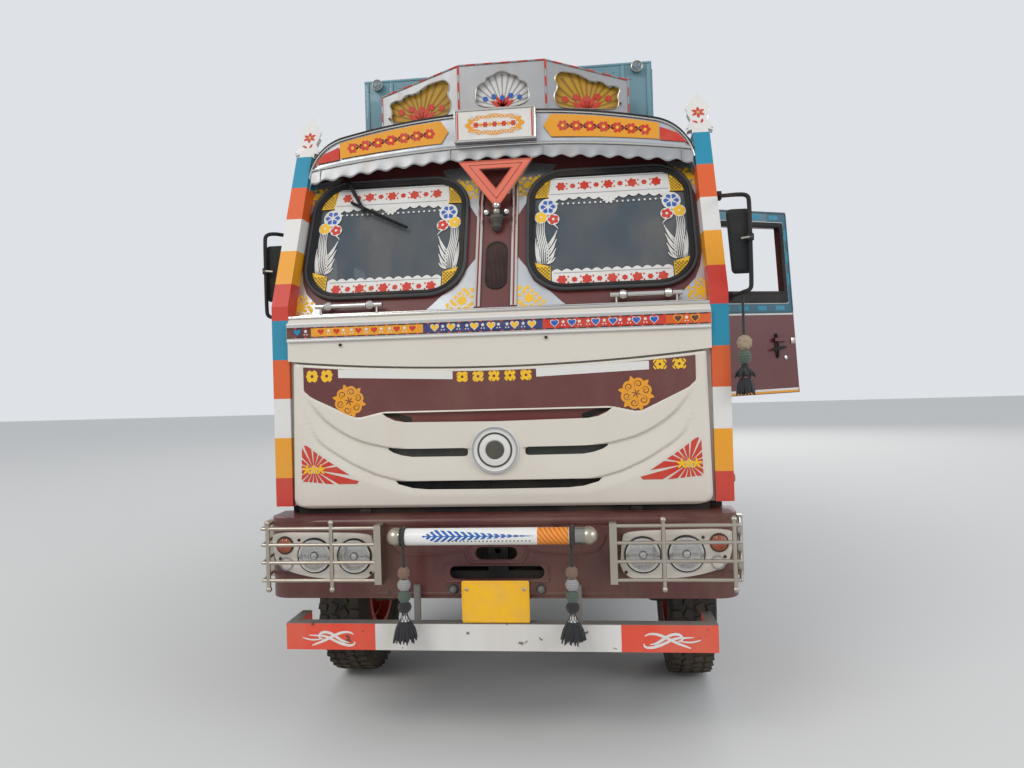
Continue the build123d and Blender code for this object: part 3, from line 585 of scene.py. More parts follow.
def oblong(u_low, v_low, u_high, v_high):
    return [(u_low, v_low), (u_high, v_low), (u_high, v_high), (u_low, v_high)]


def to_side(side, outline):
    """An outline as drawn for the left, or mirrored for the right."""
    return [(side * u, v) for u, v in outline]


# Finishes

def banded(name):
    """Post paint in bands: the boundaries are heights, the same colours above and below the kink."""
    finish = Finish(name)
    z = finish.xyz()[2]
    heights = ((0.0, RED), (1.345, AMBER), (1.556, WHITE), (1.763, ORANGE), (1.968, CYAN), (2.176, RED),
               (2.378, AMBER), (2.571, WHITE), (2.765, ORANGE), (2.965, CYAN), (3.168, WHITE))
    colour = heights[0][1]
    for height, band in heights[1:]:
        colour = finish.mix(z > height, colour, band)
    shaded, cover, fine = soiled(finish, colour, 0.14, 0.05)
    finish.set(Base_Color=shaded, Roughness=cover * 0.4 + fine * 0.15 + 0.4, Coat_Weight=0.15)
    finish.bump(finish.noise(12.0, 2.0), 0.0015, 0.5)
    return finish.material


def tinted_glass(name, tint, clear):
    """Window glass with smears and dust; clear is the share of light let through."""
    finish = Finish(name, IOR=1.5)
    smears = finish.noise(4.0, 3.0, (1.0, 1.0, 0.3))
    dust = finish.noise(120.0, 2.0)
    finish.set(Base_Color=finish.mix(smears.ramp(0.4, 0.8) * 0.25, tint, DUST),
               Alpha=smears.ramp(0.3, 0.8) * 0.12 + (1 - clear), Roughness=dust * 0.05 + smears * 0.08 + 0.03)
    return finish.material


def lens_glass(name, tint, clear):
    """Lamp glass pressed with fine flutes."""
    finish = Finish(name, IOR=1.5)
    x, y, z = finish.xyz()
    ribs = (x * 420).sine() * 0.5 + (z * 160).sine() * 0.3 + 0.5
    dust = finish.noise(30.0, 3.0)
    finish.set(Base_Color=finish.mix(dust * 0.3, tint, DUST), Alpha=dust * 0.2 + (1 - clear),
               Roughness=dust * 0.1 + 0.06)
    finish.bump(ribs, 0.0012, 0.8)
    return finish.material


def timber(name):
    """Weathered planks that run along the body."""
    finish = Finish(name)
    x, y, z = finish.xyz()
    grain = finish.noise(26.0, 5.0, (6.0, 0.25, 6.0))
    gap = (x * 6.25 + 50) % 1.0 < 0.03
    tint = finish.mix(grain, tone(126, 92, 60), tone(76, 56, 40))
    tint = finish.mix(gap, tint, tone(26, 20, 16))
    shaded, cover, fine = soiled(finish, tint, 0.5, 0.12)
    finish.set(Base_Color=shaded, Roughness=fine * 0.1 + 0.75)
    finish.bump(grain * 0.6 - gap * 0.5 + 0.4, 0.003, 0.7)
    return finish.material


def leathercloth(name, colour, crease_colour):
    """Grained cloth with darker creases."""
    finish = Finish(name, Sheen_Weight=0.15, Sheen_Roughness=0.5)
    cells = finish.node("TexVoronoi", {"feature": "F1"}, {"Vector": finish.place(), "Scale": 260.0})
    creases = finish.noise(12.0, 5.0)
    tint = finish.mix(creases.ramp(0.45, 0.75) * 0.4, colour, crease_colour)
    shaded, cover, fine = soiled(finish, tint, 0.25, 0.08)
    finish.set(Base_Color=shaded, Roughness=creases * 0.2 + 0.42)
    finish.bump(cells * 0.5 + creases * 0.5, 0.001, 0.6)
    return finish.material


def cast(name, colour, rust=0.35):
    finish = Finish(name)
    broad = finish.noise(6.0, 5.0)
    fine = finish.noise(110.0, 3.0)
    shaded = finish.mix(broad.ramp(0.52, 0.68) * rust, colour, RUST)
    shaded = finish.mix(fine.ramp(0.5, 0.8) * 0.3 + broad.ramp(0.3, 0.6) * 0.25, shaded, DUST)
    finish.set(Base_Color=shaded, Roughness=fine * 0.2 + 0.6, Metallic=0.15 - broad * 0.1)
    finish.bump(fine, 0.0012, 0.7)
    return finish.material


def braided(name, colour, other):
    """Cord or brush fibre: fine diagonal strands."""
    finish = Finish(name, Sheen_Weight=0.2)
    x, y, z = finish.xyz()
    strands = ((x * 900 + z * 1400).sine() * (x * 900 - z * 1400).sine()) * 0.5 + 0.5
    tufts = finish.noise(300.0, 2.0, (1.0, 1.0, 0.12))
    finish.set(Base_Color=finish.mix(strands * 0.5 + tufts * 0.4, colour, other), Roughness=tufts * 0.1 + 0.8)
    finish.bump(strands * 0.5 + tufts * 0.5, 0.0014, 0.8)
    return finish.material


maroon_paint = paint("maroon_paint", MAROON, 0.34, 0.16, 0.05)
worn_maroon = paint("worn_maroon", tone(82, 34, 33), 0.4, 0.22, 0.06, 0.015, tone(60, 46, 42))
cream_paint = paint("cream_paint", CREAM, 0.36, 0.22, 0.04)
band_paint = banded("band_paint")
box_paint = paint("box_paint", GREY_BLUE, 0.5, 0.28, 0.08, 0.015)
body_paint = paint("body_paint", tone(30, 84, 106), 0.45, 0.30, 0.08, 0.01)
white_paint = paint("white_paint", WHITE, 0.42, 0.22, 0.04)
red_paint = paint("red_paint", RED, 0.42, 0.22, 0.05, 0.01)
chassis_paint = paint("chassis_paint", tone(30, 30, 31), 0.6, 0.22, 0.10, coat=0.0)
# steel_sheet is a darker copy of the stainless in steel_bright; on the visor skirt, which faces a little
# downwards, that darkness is painted shade.
steel = sheet_steel("steel_sheet", tone(158, 159, 161), 0.33)
steel_bright = sheet_steel("steel_bright", tone(186, 189, 193), 0.22, 0.006)
chrome = plated("chrome")
old_chrome = plated("old_chrome", tone(176, 170, 160), 0.28, 0.45, 0.7)
gasket_rubber = rubber("gasket_rubber", tone(28, 29, 31), 0.15)
black_plastic = rubber("black_plastic", tone(30, 31, 33), 0.22, 0.0004)
# Near-black for openings, slot backs, hand holes and gaps: painted shade where their insides would lie dark.
painted_shade_black = rubber("painted_shade_black", tone(12, 12, 12), 0.1)
tyre_rubber = rubber("tyre_rubber", tone(24, 24, 25), 0.16)
screen_tint = tinted_glass("screen_tint", tone(74, 84, 92), 0.28)
lamp_lens = lens_glass("lamp_lens", tone(205, 208, 210), 0.88)
amber_lens = lens_glass("amber_lens", tone(158, 66, 36), 0.1)
red_lens = lens_glass("red_lens", tone(150, 20, 16), 0.1)
sticker_white = flat_paint("sticker_white", WHITE)
sticker_amber = flat_paint("sticker_amber", AMBER)
sticker_yellow = flat_paint("sticker_yellow", YELLOW)
sticker_red = flat_paint("sticker_red", RED)
sticker_orange = flat_paint("sticker_orange", ORANGE)
sticker_blue = flat_paint("sticker_blue", BLUE)
sticker_navy = flat_paint("sticker_navy", NAVY)
sticker_cyan = flat_paint("sticker_cyan", CYAN)
sticker_maroon = flat_paint("sticker_maroon", MAROON)
sticker_black = flat_paint("sticker_black", BLACK)
sticker_grey = flat_paint("sticker_grey", tone(150, 152, 154))
planks = timber("planks")
seat_cover = leathercloth("seat_cover", tone(120, 34, 30), tone(60, 20, 18))
cast_iron = cast("cast_iron", tone(52, 53, 55))
spring_steel = cast("spring_steel", tone(44, 42, 42), 0.5)
cord_black = braided("cord_black", tone(20, 20, 22), tone(58, 58, 60))

NODE_FINISHES = (
    (body_paint, "body_sides tailgate"), (worn_maroon, "bumper"),
    (cream_paint, "cowl_front grille_flap lamp_units"),
    (maroon_paint, "cab_back cab_roof cab_sides door_left door_right windscreen_surround"),
    (chassis_paint, "cab_floor chassis_frame rear_bumper side_tanks steps_and_flaps"),
    (band_paint, "corner_pillars"), (cord_black, "charm_cord tassel_cord_left tassel_cord_right tassels"),
    (chrome, "front_ornaments"), (steel, "crown visor"),
    (black_plastic, "dashboard mirrors steering_wheel wiper"), (white_paint, "lower_bar"),
    (cast_iron, "engine_block exhaust front_axle_beam gearbox_and_shaft knuckle_left knuckle_right radiator"),
    (cast_iron, "rear_axle_housing tie_rod"), (planks, "headboard load_floor"),
    (old_chrome, "lamp_guards nudge_tube"), (spring_steel, "leaf_springs"), (sticker_yellow, "number_plate"),
    (box_paint, "roof_box"), (seat_cover, "seats"),
    (red_paint, "rim_front_left rim_front_right rim_rear_left rim_rear_right"),
    (screen_tint, "windscreen_glass"),
    (tyre_rubber, "tyre_front_left tyre_front_right tyre_rear_left tyre_rear_right"),
)


def coat(name, finish):
    """Gives a frame node its finish."""
    for material_slot in nodes[name].material_slots:
        material_slot.material = finish


for finish, names in NODE_FINISHES:
    for name in names.split():
        coat(name, finish)

# Camera, at the photograph's place: eye height, a little to the truck's left of the middle
LENS, SENSOR, FAR = 26.1, 36, 200
EYE = Vector((0.487, -4.772, 1.780))
YAW, PITCH, ROLL = math.radians(-6.03), math.radians(0.40), math.radians(-1.63)


def add_camera():
    forward = Vector((math.sin(YAW) * math.cos(PITCH), math.cos(YAW) * math.cos(PITCH), math.sin(PITCH)))
    level = Vector((math.cos(YAW), -math.sin(YAW), 0))
    upright = level.cross(forward)
    right = level * math.cos(ROLL) + upright * math.sin(ROLL)
    up = upright * math.cos(ROLL) - level * math.sin(ROLL)
    bpy.ops.object.camera_add()
    camera = bpy.context.object
    camera.data.lens = LENS
    camera.data.sensor_width = SENSOR
    camera.data.clip_end = FAR
    placed = Matrix((right, up, -forward)).transposed().to_4x4()
    placed.translation = EYE
    camera.matrix_world = placed
    bpy.context.scene.camera = camera


add_camera()

# Cords first: two that hold the tassels under the tube, and the charm's strap on the mirror arm
TUBE_Y = TUBE_FRONT + 0.040
TUBE_Z = 1.090
CORD_TOP = 1.050
CORD_END = 0.700
TASSEL_XS = {"right": -0.425, "left": 0.375}
CHARM_X, CHARM_Y, CHARM_TOP, CHARM_END = 1.240, -1.042, 2.202, 1.850
STRAP_WIDTH = 0.014


def hanging_cord(name, x, y, top, end, node):
    """A strap that hangs straight under its own weight."""
    middle = (top + end) / 2
    line = bpy.data.curves.new(name, "CURVE")
    line.dimensions = "3D"
    line.bevel_depth = STRAP_WIDTH / 2
    line.bevel_resolution = 3
    line.use_fill_caps = True
    spline = line.splines.new("NURBS")
    spline.points.add(2)
    for point, z in zip(spline.points, (top, middle, end)):
        point.co = (x, y, z, 1)
    spline.order_u = 3
    spline.use_endpoint_u = True
    spline.resolution_u = 8
    piece = bpy.data.objects.new(name, line)
    bpy.context.scene.collection.objects.link(piece)
    line.materials.append(cord_black)
    ridden(piece, "root", "cord_black", node)
    return piece


# Tassels: beads, a bell and a brush on each cord

BEADS = (  # height of the middle, radius, half height
    (0.918, 0.030, 0.026), (0.862, 0.033, 0.026), (0.806, 0.032, 0.026), (0.756, 0.034, 0.024),
)
bead_brown = braided("bead_brown", tone(96, 74, 60), tone(140, 112, 94))
bead_pale = braided("bead_pale", tone(118, 116, 116), tone(170, 168, 168))
bead_green = braided("bead_green", tone(56, 70, 62), tone(92, 104, 94))
bead_black = braided("bead_black", tone(16, 16, 18), tone(44, 44, 48))
bell_white = flat_paint("bell_white", tone(206, 206, 204), 0.6)
bead_finishes = (bead_brown, bead_pale, bead_green, bead_black)


def wound_bead(name, x, y, z, radius, half, finish):
    """A bead wound with cord: a turned drum with a ridge for each turn of the winding."""
    turns = 5
    profile = [(0.004, -half)]
    for i in range(turns * 4 + 1):
        t = i / (turns * 4)
        swell = math.sin(math.pi * (0.12 + 0.76 * t)) ** 0.5
        profile.append((radius * swell * (0.95 + 0.05 * math.cos(2 * math.pi * turns * t)),
                        half * (2 * t - 1)))
    profile.append((0.004, half))
    return turned(name, profile, finish, (x, y, z), "Z", 20, 50)


def brush(name, x, y, top, bottom, head, foot, finish, locks=26):
    """A skirt of loose locks that hang from a head and spread to the foot."""
    parts = []
    for layer, (share, count) in enumerate(((1.0, locks), (0.62, locks * 2 // 3), (0.25, 7))):
        for i in range(count):
            angle = 2 * math.pi * (i + 0.37 * layer) / count + random.uniform(-0.08, 0.08)
            reach = foot * share * random.uniform(0.9, 1.05)
            end = bottom + random.uniform(0.0, 0.02)
            points = [(x + math.cos(angle) * (head * share + (reach - head * share) * t ** 0.8),
                       y + math.sin(angle) * (head * share + (reach - head * share) * t ** 0.8),
                       top + (end - top) * t) for t in (0.0, 0.3, 0.65, 1.0)]
            parts.append(tube(f"{name}_lock", points, 0.0075, finish, True, 6, taper=(0.8, 1.2, 1.1, 0.35)))
    return joined(name, parts)


def bell(name, x, y, top, bottom, head, foot):
    """A plaited bell over the brush, white with a dark lattice."""
    profile = [(head * 0.4, top)]
    for i in range(9):
        t = i / 8
        profile.append((head + (foot - head) * t ** 1.6, top + (bottom - top) * t))
    profile += [(foot - 0.006, bottom), (head * 0.35, top - 0.006)]
    shell = turned(name, profile, bell_white, (x, y, 0), "Z", 24, 40)
    strands = []
    for turn in (-1, 1):
        for i in range(8):
            start = 2 * math.pi * i / 8
            points = []
            for j in range(7):
                t = j / 6
                radius = head + (foot - head) * t ** 1.6 + 0.0015
                angle = start + turn * 1.1 * t
                points.append((x + radius * math.cos(angle), y + radius * math.sin(angle),
                               top + (bottom - top) * t))
            strands.append(tube("strand", points, 0.0014, sticker_black, True, 4))
    return joined(name, [shell] + strands)


def tassel(side, x):
    cord = hanging_cord(f"tassel_strap_{side}", x, TUBE_Y, CORD_TOP, CORD_END, f"tassel_cord_{side}")
    parts = [wound_bead(f"bead_{side}_{i}", x, TUBE_Y, z, radius, half, finish)
             for i, ((z, radius, half), finish) in enumerate(zip(BEADS, bead_finishes))]
    parts.append(bell(f"bell_{side}", x, TUBE_Y, 0.732, 0.672, 0.010, 0.034))
    parts.append(brush(f"brush_{side}", x, TUBE_Y, 0.690, 0.590, 0.022, 0.058, bead_black))
    loop = tube("loop", [(x + 0.0085, TUBE_Y + 0.0455 * math.sin(t), CORD_TOP + 0.040 + 0.0455 * math.cos(t))
                         for t in (2 * math.pi * i / 14 for i in range(14))], 0.006, cord_black, True, 6,
                True)
    whole = joined(f"tassel_{side}", parts + [loop])
    ridden(whole, "root", "tassel_beads")
    return whole


def charm():
    """A charm against bad luck on the mirror arm: a cloth flower, a knot, a pompom and a brush."""
    cord = hanging_cord("charm_strap", CHARM_X, CHARM_Y, CHARM_TOP, CHARM_END, "charm_cord")
    tan = braided("charm_tan", tone(126, 106, 84), tone(176, 158, 134))
    petals = []
    for ring_share, count, lift in ((1.0, 9, 0.0), (0.62, 7, 0.012)):
        for i in range(count):
            angle = 2 * math.pi * i / count + ring_share
            reach = 0.036 * ring_share
            at = Vector((CHARM_X + reach * 0.62 * math.cos(angle), CHARM_Y - 0.012 - lift,
                         1.975 + reach * 0.62 * math.sin(angle)))
            petal = ball("petal", at, 0.016, tan, 6)
            squeeze = (Matrix.Translation(at) @ Matrix.Diagonal((1.0, 0.45, 1.0, 1.0))
                       @ Matrix.Translation(-at))
            petal.data.transform(squeeze)
            petals.append(petal)
    parts = petals + [
        wound_bead("charm_knot", CHARM_X, CHARM_Y, 1.905, 0.034, 0.032, bead_green),
        wound_bead("charm_neck", CHARM_X, CHARM_Y, 1.852, 0.020, 0.022, bead_black),
        brush("charm_pompom", CHARM_X, CHARM_Y, 1.850, 1.800, 0.014, 0.050, bead_black, 18),
        brush("charm_brush", CHARM_X, CHARM_Y, 1.800, 1.717, 0.022, 0.044, bead_black),
    ]
    whole = ridden(joined("charm", parts), "root", "tassel_beads", "tassels")


for side, x in TASSEL_XS.items():
    tassel(side, x)
charm()


# The raked screen wall: stainless corners with stencilled flowers, gaskets, strips and painted glass

SCREEN_BOARD = Board((0, SCREEN_Y, KINK_Z), (1, 0, 0), SCREEN_UP)
WINDOW_X = (0.165, 1.070)
WINDOW_Z = (2.285, 3.010)
WINDOW_RADIUS = 0.210
WINDOW_MIDDLE = sum(WINDOW_X) / 2


def up_screen(z):
    """How far up the raked wall a height is."""
    return (z - KINK_Z) * LEAN


def on_glass(outlines, side, mirror):
    """Outlines drawn about a window's middle, u across from the middle and v as a height."""
    return [[(side * WINDOW_MIDDLE + mirror * u, up_screen(v)) for u, v in outline] for outline in outlines]


bead_grey = rubber("bead_grey", tone(58, 60, 62), 0.12)


def gasket(side):
    low, high = up_screen(WINDOW_Z[0]), up_screen(WINDOW_Z[1])

    def ring_at(inset):
        ring = rounded(WINDOW_X[0] + inset, low + inset, WINDOW_X[1] - inset, high - inset,
                       WINDOW_RADIUS - inset, 9)
        return to_side(side, ring)

    bed = [ring_at(inset) for inset in (-0.003, 0.035)]
    rings = [flat_shape("gasket_bed", bed, SCREEN_BOARD, 0.0182, 0.0012, gasket_rubber)]
    for inset, lift, radius, finish in ((0.006, 0.0165, 0.0105, bead_grey),
                                        (0.023, 0.0175, 0.0080, gasket_rubber),
                                        (0.034, 0.0110, 0.0075, gasket_rubber)):
        rings.append(edging("gasket", SCREEN_BOARD, ring_at(inset), lift, radius, finish, 12))
    return joined(f"screen_gasket_{SIDE_NAMES[side]}", rings)


def lattice(u_low, v_low, u_high, v_high, step, width):
    """Slanting lines both ways, cut to a box."""
    lines = []
    reach = (u_high - u_low) + (v_high - v_low)
    count = int(reach / step)
    for i in range(1, count + 1):
        t = i * step
        a = (u_low + min(t, u_high - u_low), v_low + max(0.0, t - (u_high - u_low)))
        b = (u_low + max(0.0, t - (v_high - v_low)), v_low + min(t, v_high - v_low))
        lines.append(ribbon([a, b], width, 1.0))
        lines.append(ribbon([(u_low + u_high - a[0], a[1]), (u_low + u_high - b[0], b[1])], width, 1.0))
    return lines


def plume(foot, tip, bulge, width):
    """A curved feather from its foot to its tip; bulge moves its middle to one side."""
    run, rise = tip[0] - foot[0], tip[1] - foot[1]
    length = math.hypot(run, rise)
    line = []
    for k in range(9):
        t = k / 8
        side = bulge * 4 * t * (1 - t)
        line.append((foot[0] + run * t + rise / length * side, foot[1] + rise * t - run / length * side))
    return ribbon(line, width, 0.2)


def glass_bands():
    """The scalloped pale bands at a windscreen's top and foot, with their beads and a sprig of leaves."""
    top = [(-0.330, 2.966), (0.330, 2.966), (0.338, 2.858)]
    for i in range(49):
        u = 0.330 - 0.660 * i / 48
        top.append((u, 2.842 - 0.016 * abs(math.sin(math.pi * i / 4))
                    - 0.012 * math.cos(math.pi * i / 24) ** 2))
    top.append((-0.338, 2.858))
    bottom = [(-0.318, 2.300), (0.318, 2.300)]
    for i in range(61):
        bottom.append((0.318 - 0.636 * i / 60, 2.398 + 0.014 * abs(math.sin(math.pi * i / 5))))
    beads = [circle(u, 2.812 - 0.012 * math.cos(2.4 * u), 0.006, 8)
             for u in (-0.315 + 0.030 * i for i in range(22))]
    sprig = [leaf(0, 2.826, 0.040, 0.016, math.radians(a)) for a in (-150, -110, -70, -30)]
    return [top, bottom] + beads + sprig


def glass_column():
    """One side column of a windscreen's painted frame, by colour; white2 lies on the others."""
    arc_u, arc_r = WINDOW_X[1] - WINDOW_RADIUS - WINDOW_MIDDLE, WINDOW_RADIUS - 0.034
    turns = [math.radians(a) for a in range(0, 65, 8)]
    upper = [(arc_u + arc_r * math.cos(t), WINDOW_Z[1] - (WINDOW_RADIUS - arc_r * math.sin(t)) / LEAN)
             for t in turns]
    lower = [(u, sum(WINDOW_Z) - v) for u, v in upper]
    upper += [(0.336, upper[-1][1]), (0.336, 2.846), (upper[0][0] + 0.002, 2.846)]
    lower += [(0.324, lower[-1][1]), (0.324, 2.426), (0.405, 2.452), (lower[0][0] + 0.002, 2.462)]
    (blue_u, blue_v), (gold_u, gold_v), (red_u, red_v) = (0.337, 2.786), (0.375, 2.722), (0.308, 2.708)
    white = [circle(blue_u, blue_v, 0.052), circle(gold_u, gold_v, 0.036), circle(red_u, red_v, 0.034)]
    for i in range(5):
        hair = [(0.356 + 0.0095 * i - (0.018 - 0.001 * i) * t + 0.007 * math.sin(2 * math.pi * t),
                 2.696 - 0.250 * t)
                for t in (k / 12 for k in range(13))]
        white.append(ribbon(hair, 0.0068, 0.35))
    for i in range(3):
        white.append(plume((0.377 + 0.0075 * i, 2.447), (0.386 + 0.0085 * i, 2.556 + 0.022 * i), 0.006,
                           0.0085))
    for i in range(7):
        tip = (0.287 + 0.002 * i + 0.007 * (i % 2), 2.642 - 0.027 * i)
        white.append(plume((0.354 - 0.002 * i, max(2.444, 2.535 - 0.018 * i)), tip, -0.006, 0.0090))
    white.append(plume((0.324, 2.684), (0.281, 2.648), 0.006, 0.0060))
    return {
        "white": white, "yellow": [upper, lower, blossom(gold_u, gold_v, 0.034, 5, 0.3, 0.3)],
        "red": [blossom(red_u, red_v, 0.031, 5, 0.3)], "blue": [blossom(blue_u, blue_v, 0.042, 6, 0.35)],
        "white2": [circle(blue_u, blue_v, 0.012, 10)]
        + [leaf(blue_u, blue_v, 0.036, 0.008, math.pi / 3 * k + 0.5) for k in range(6)]
        + [circle(red_u, red_v, 0.008, 8), circle(gold_u, gold_v, 0.007, 8)],
        "black": [line for box in ((0.338, 2.850, 0.398, 2.928), (0.327, 2.352, 0.396, 2.426))
                  for line in lattice(*box, 0.019, 0.0022)],
    }


COLUMN_LAYERS = (  # colour, lift, finish
    ("white", 0.0030, sticker_white), ("yellow", 0.0042, sticker_yellow), ("red", 0.0042, sticker_red),
    ("blue", 0.0042, sticker_blue), ("white2", 0.0054, sticker_white), ("black", 0.0054, sticker_black),
)


def sticker_set(side):
    """The painted frame inside a windscreen: pale bands, lattice corners, flowers and white plumes."""
    border = [ribbon([(-half + 2 * half * i / 8, v) for i in range(9)], 0.004, 1.0)
              for half, v in ((0.325, 2.957), (0.325, 2.862), (0.306, 2.311), (0.306, 2.389))]
    pieces = painted("bands", on_glass(glass_bands(), side, 1), SCREEN_BOARD, 0.0026, 0.0010, sticker_white)
    pieces.append(flat_shape("border", on_glass(border, side, 1), SCREEN_BOARD, 0.0042, 0.0006, sticker_grey))
    blooms = 9
    for middle in (2.910, 2.349):
        sprigs = []
        for i in range(blooms):
            u = -0.264 + 0.528 * i / (blooms - 1)
            sprigs.append(blossom(u, middle, 0.016 if i % 2 else 0.028, 6, 0.30, 0.3 * i, 8))
            if i < blooms - 1:
                sprigs += [circle(u + 0.033, middle + way * 0.016, 0.0052, 10) for way in SIDES]
        pieces += painted("sprigs", on_glass(sprigs, side, 1), SCREEN_BOARD, 0.0042, 0.0008, sticker_red)
    column = glass_column()
    for way in SIDES:
        for key, lift, finish in COLUMN_LAYERS:
            pieces += painted(key, on_glass(column[key], side, way), SCREEN_BOARD, lift, 0.0008, finish)
    return ridden(joined(f"screen_paint_{SIDE_NAMES[side]}", pieces), "root", "paint_cream")


def filigree(corner, wide, tall, lean):
    """A bloom among leaves and small blossoms that fill a corner, as painted with a stencil."""
    u0, v0 = corner
    shapes = [blossom(u0 + wide * 0.40, v0 + tall * 0.42, abs(tall) * 0.22, 8, 0.3)]
    for i in range(7):
        for j in range(6):
            across, up = (i + 0.5) / 7, (j + 0.5) / 6
            if across * lean + up > 1.25 or math.hypot(across - 0.40, up - 0.42) < 0.24:
                continue
            u, v = u0 + wide * across, v0 + tall * up
            turn = 1.3 * i + 2.1 * j
            if (i + j) % 2:
                shapes.append(blossom(u, v, 0.0115, 5, 0.3, turn, 5))
            else:
                shapes.append(leaf(u, v, 0.026, 0.0105, turn, 0.3))
    return shapes


CORNER_PLATES = (  # outline of a stainless corner, and its filigree: corner, width, height, lean
    (((0.112, 2.196), (0.392, 2.196), (0.345, 2.235), (0.290, 2.290), (0.205, 2.350), (0.165, 2.430),
      (0.112, 2.500)),
     ((0.118, 2.204), 0.150, 0.125, 0.9)),
    (((1.118, 2.196), (0.925, 2.196), (0.985, 2.270), (1.045, 2.330), (1.075, 2.400), (1.095, 2.500),
      (1.118, 2.560)),
     ((1.112, 2.204), -0.115, 0.125, 0.7)),
    (((0.112, 2.740), (0.165, 2.830), (0.205, 2.930), (0.290, 2.990), (0.330, 3.060), (0.112, 3.090)),
     ((0.118, 2.985), 0.125, -0.120, 0.8)),
    (((1.118, 2.740), (1.085, 2.830), (1.045, 2.930), (0.970, 2.985), (0.925, 3.050), (1.118, 3.010)),
     ((1.112, 2.985), -0.125, -0.125, 0.8)),
)


def screen_corners():
    parts = []
    for side in SIDES:
        for outline, sprig_place in CORNER_PLATES:
            shape = [(side * u, up_screen(v)) for u, v in outline]
            parts.append(flat_shape("corner", [shape], SCREEN_BOARD, 0.0004, 0.0016, steel_bright))
            drawn = [[(side * u, up_screen(v)) for u, v in sprig] for sprig in filigree(*sprig_place)]
            parts += painted("flowers", drawn, SCREEN_BOARD, 0.0022, 0.0006, sticker_yellow)
    return ridden(joined("screen_corners", parts), "root", "steel_sheet")


SCREEN_STRIP_Z = (2.215, 2.935)


def screen_strips():
    """Bright strips with a red line beside the middle panel, round the wall and along the sill."""
    parts = []
    for side in SIDES:
        for x in (0.087, 0.108):
            ends = [SCREEN_BOARD.point(side * x, up_screen(z), 0.006) for z in SCREEN_STRIP_Z]
            parts.append(tube("strip", ends, 0.0085, chrome, False, 8))
        low, high = (up_screen(z) for z in SCREEN_STRIP_Z)
        red_line = oblong(side * 0.0955, low, side * 0.0995, high)
        parts.append(flat_shape("red_line", [red_line], SCREEN_BOARD, 0.0008, 0.004, sticker_red))
        for x, finish in ((1.128, chrome), (1.142, sticker_white)):
            ends = [SCREEN_BOARD.point(side * x, up_screen(z), 0.008) for z in (2.20, 2.99)]
            parts.append(tube("edge", ends, 0.007, finish, False, 8))
    for z, y, radius in ((2.204, -0.915, 0.009), (2.188, -0.990, 0.010)):
        parts.append(tube("sill", [(-1.088, y, z), (1.088, y, z)], radius, chrome, False, 10))
    return ridden(joined("screen_strips", parts), "root", "steel_chrome")


def middle_vent():
    """The tall oval opening between the screens, with a rolled rim and dark gauze set back in it: maroon
    wires on a near-black sheet, which is painted shade.
    """
    low, high = up_screen(2.318), up_screen(2.588)
    outline = rounded(-0.055, low, 0.055, high, 0.052, 8)
    rim = edging("rim", SCREEN_BOARD, outline, 0.003, 0.005, gasket_rubber)
    back = flat_shape("gauze", [outline], SCREEN_BOARD, 0.0008, 0.0012, painted_shade_black)
    wires = [ribbon([(i * 0.007, low + 0.004 + abs(i) * 0.0016), (i * 0.007, high - 0.004 - abs(i) * 0.0016)],
                    0.0012, 1.0)
             for i in range(-7, 8)]
    gauze = painted("wire", wires, SCREEN_BOARD, 0.0022, 0.0006, sticker_maroon)
    return ridden(joined("middle_vent", [rim, back] + gauze), "root", "trim_black")


for side in SIDES:
    ridden(gasket(side), "root", "trim_black")
    sticker_set(side)
screen_corners()
screen_strips()
middle_vent()


# Visor: an arched steel fascia with a rolled edge, a scalloped skirt, plaques and the sign box

def arc_through(first, middle, last):
    """Centre and radius of the circle through three (x, z) points."""
    (ax, ay), (bx, by), (cx, cy) = first, middle, last
    d = 2 * (ax * (by - cy) + bx * (cy - ay) + cx * (ay - by))
    u = ((ax * ax + ay * ay) * (by - cy) + (bx * bx + by * by) * (cy - ay)
         + (cx * cx + cy * cy) * (ay - by)) / d
    v = ((ax * ax + ay * ay) * (cx - bx) + (bx * bx + by * by) * (ax - cx)
         + (cx * cx + cy * cy) * (bx - ax)) / d
    return u, v, math.hypot(ax - u, ay - v)


VISOR_Y = -0.640
VISOR_BACK = -0.562
VISOR_HALF, VISOR_END = 1.086, 1.088
SHOULDER_X, SHOULDER_Z = 0.880, 3.245
VISOR_CROWN = arc_through((-SHOULDER_X, SHOULDER_Z), (0, 3.340), (SHOULDER_X, SHOULDER_Z))
VISOR_SHOULDER = arc_through((SHOULDER_X, SHOULDER_Z), (1.022, 3.162), (VISOR_END, 3.020))
FOLD_Z = 3.150
SCALLOP = 0.1045


def visor_top(x):
    x = abs(x)
    u, v, radius = VISOR_CROWN if x < SHOULDER_X else VISOR_SHOULDER
    return v + math.sqrt(max(0.0, radius * radius - (x - u) ** 2))


def visor_band(x):
    """The height of the fold between the fascia and the skirt."""
    return min(FOLD_Z - 0.085 * (abs(x) / VISOR_END) ** 2, visor_top(x) - 0.012)


def visor_skirt(x):
    low = visor_band(x) - 0.066 - 0.005 * abs(x)
    return low - 0.0085 * (1 + math.cos(2 * math.pi * x / SCALLOP))


def visor_x(u):
    """Columns closer together near the ends, where the arch falls steeply."""
    return VISOR_HALF * math.sin((2 * u - 1) * math.pi / 2)


def fascia_point(u, v):
    x = visor_x(u)
    top, band = visor_top(x), visor_band(x)
    fold = 0.004 * math.exp(-((v - 0.06) / 0.04) ** 2)
    crease = 0.0035 * math.sin(9.0 * x + 2.0 * math.sin(3.1 * x)) * math.sin(math.pi * v) ** 2
    return (x, VISOR_Y - 0.004 - fold - crease, band + (top - band) * v)


def skirt_point(u, v):
    x = visor_x(u)
    band, low = visor_band(x), visor_skirt(x)
    flare = 0.014 * (1 - v) + 0.0022 * math.sin(2 * math.pi * x / SCALLOP) * (1 - v) ** 2
    flare += 0.0025 * math.sin(7.0 * x + 1.5 * math.sin(4.0 * x)) * math.sin(math.pi * v)
    return (x, VISOR_Y - 0.006 - flare, low + (band - low) * v)


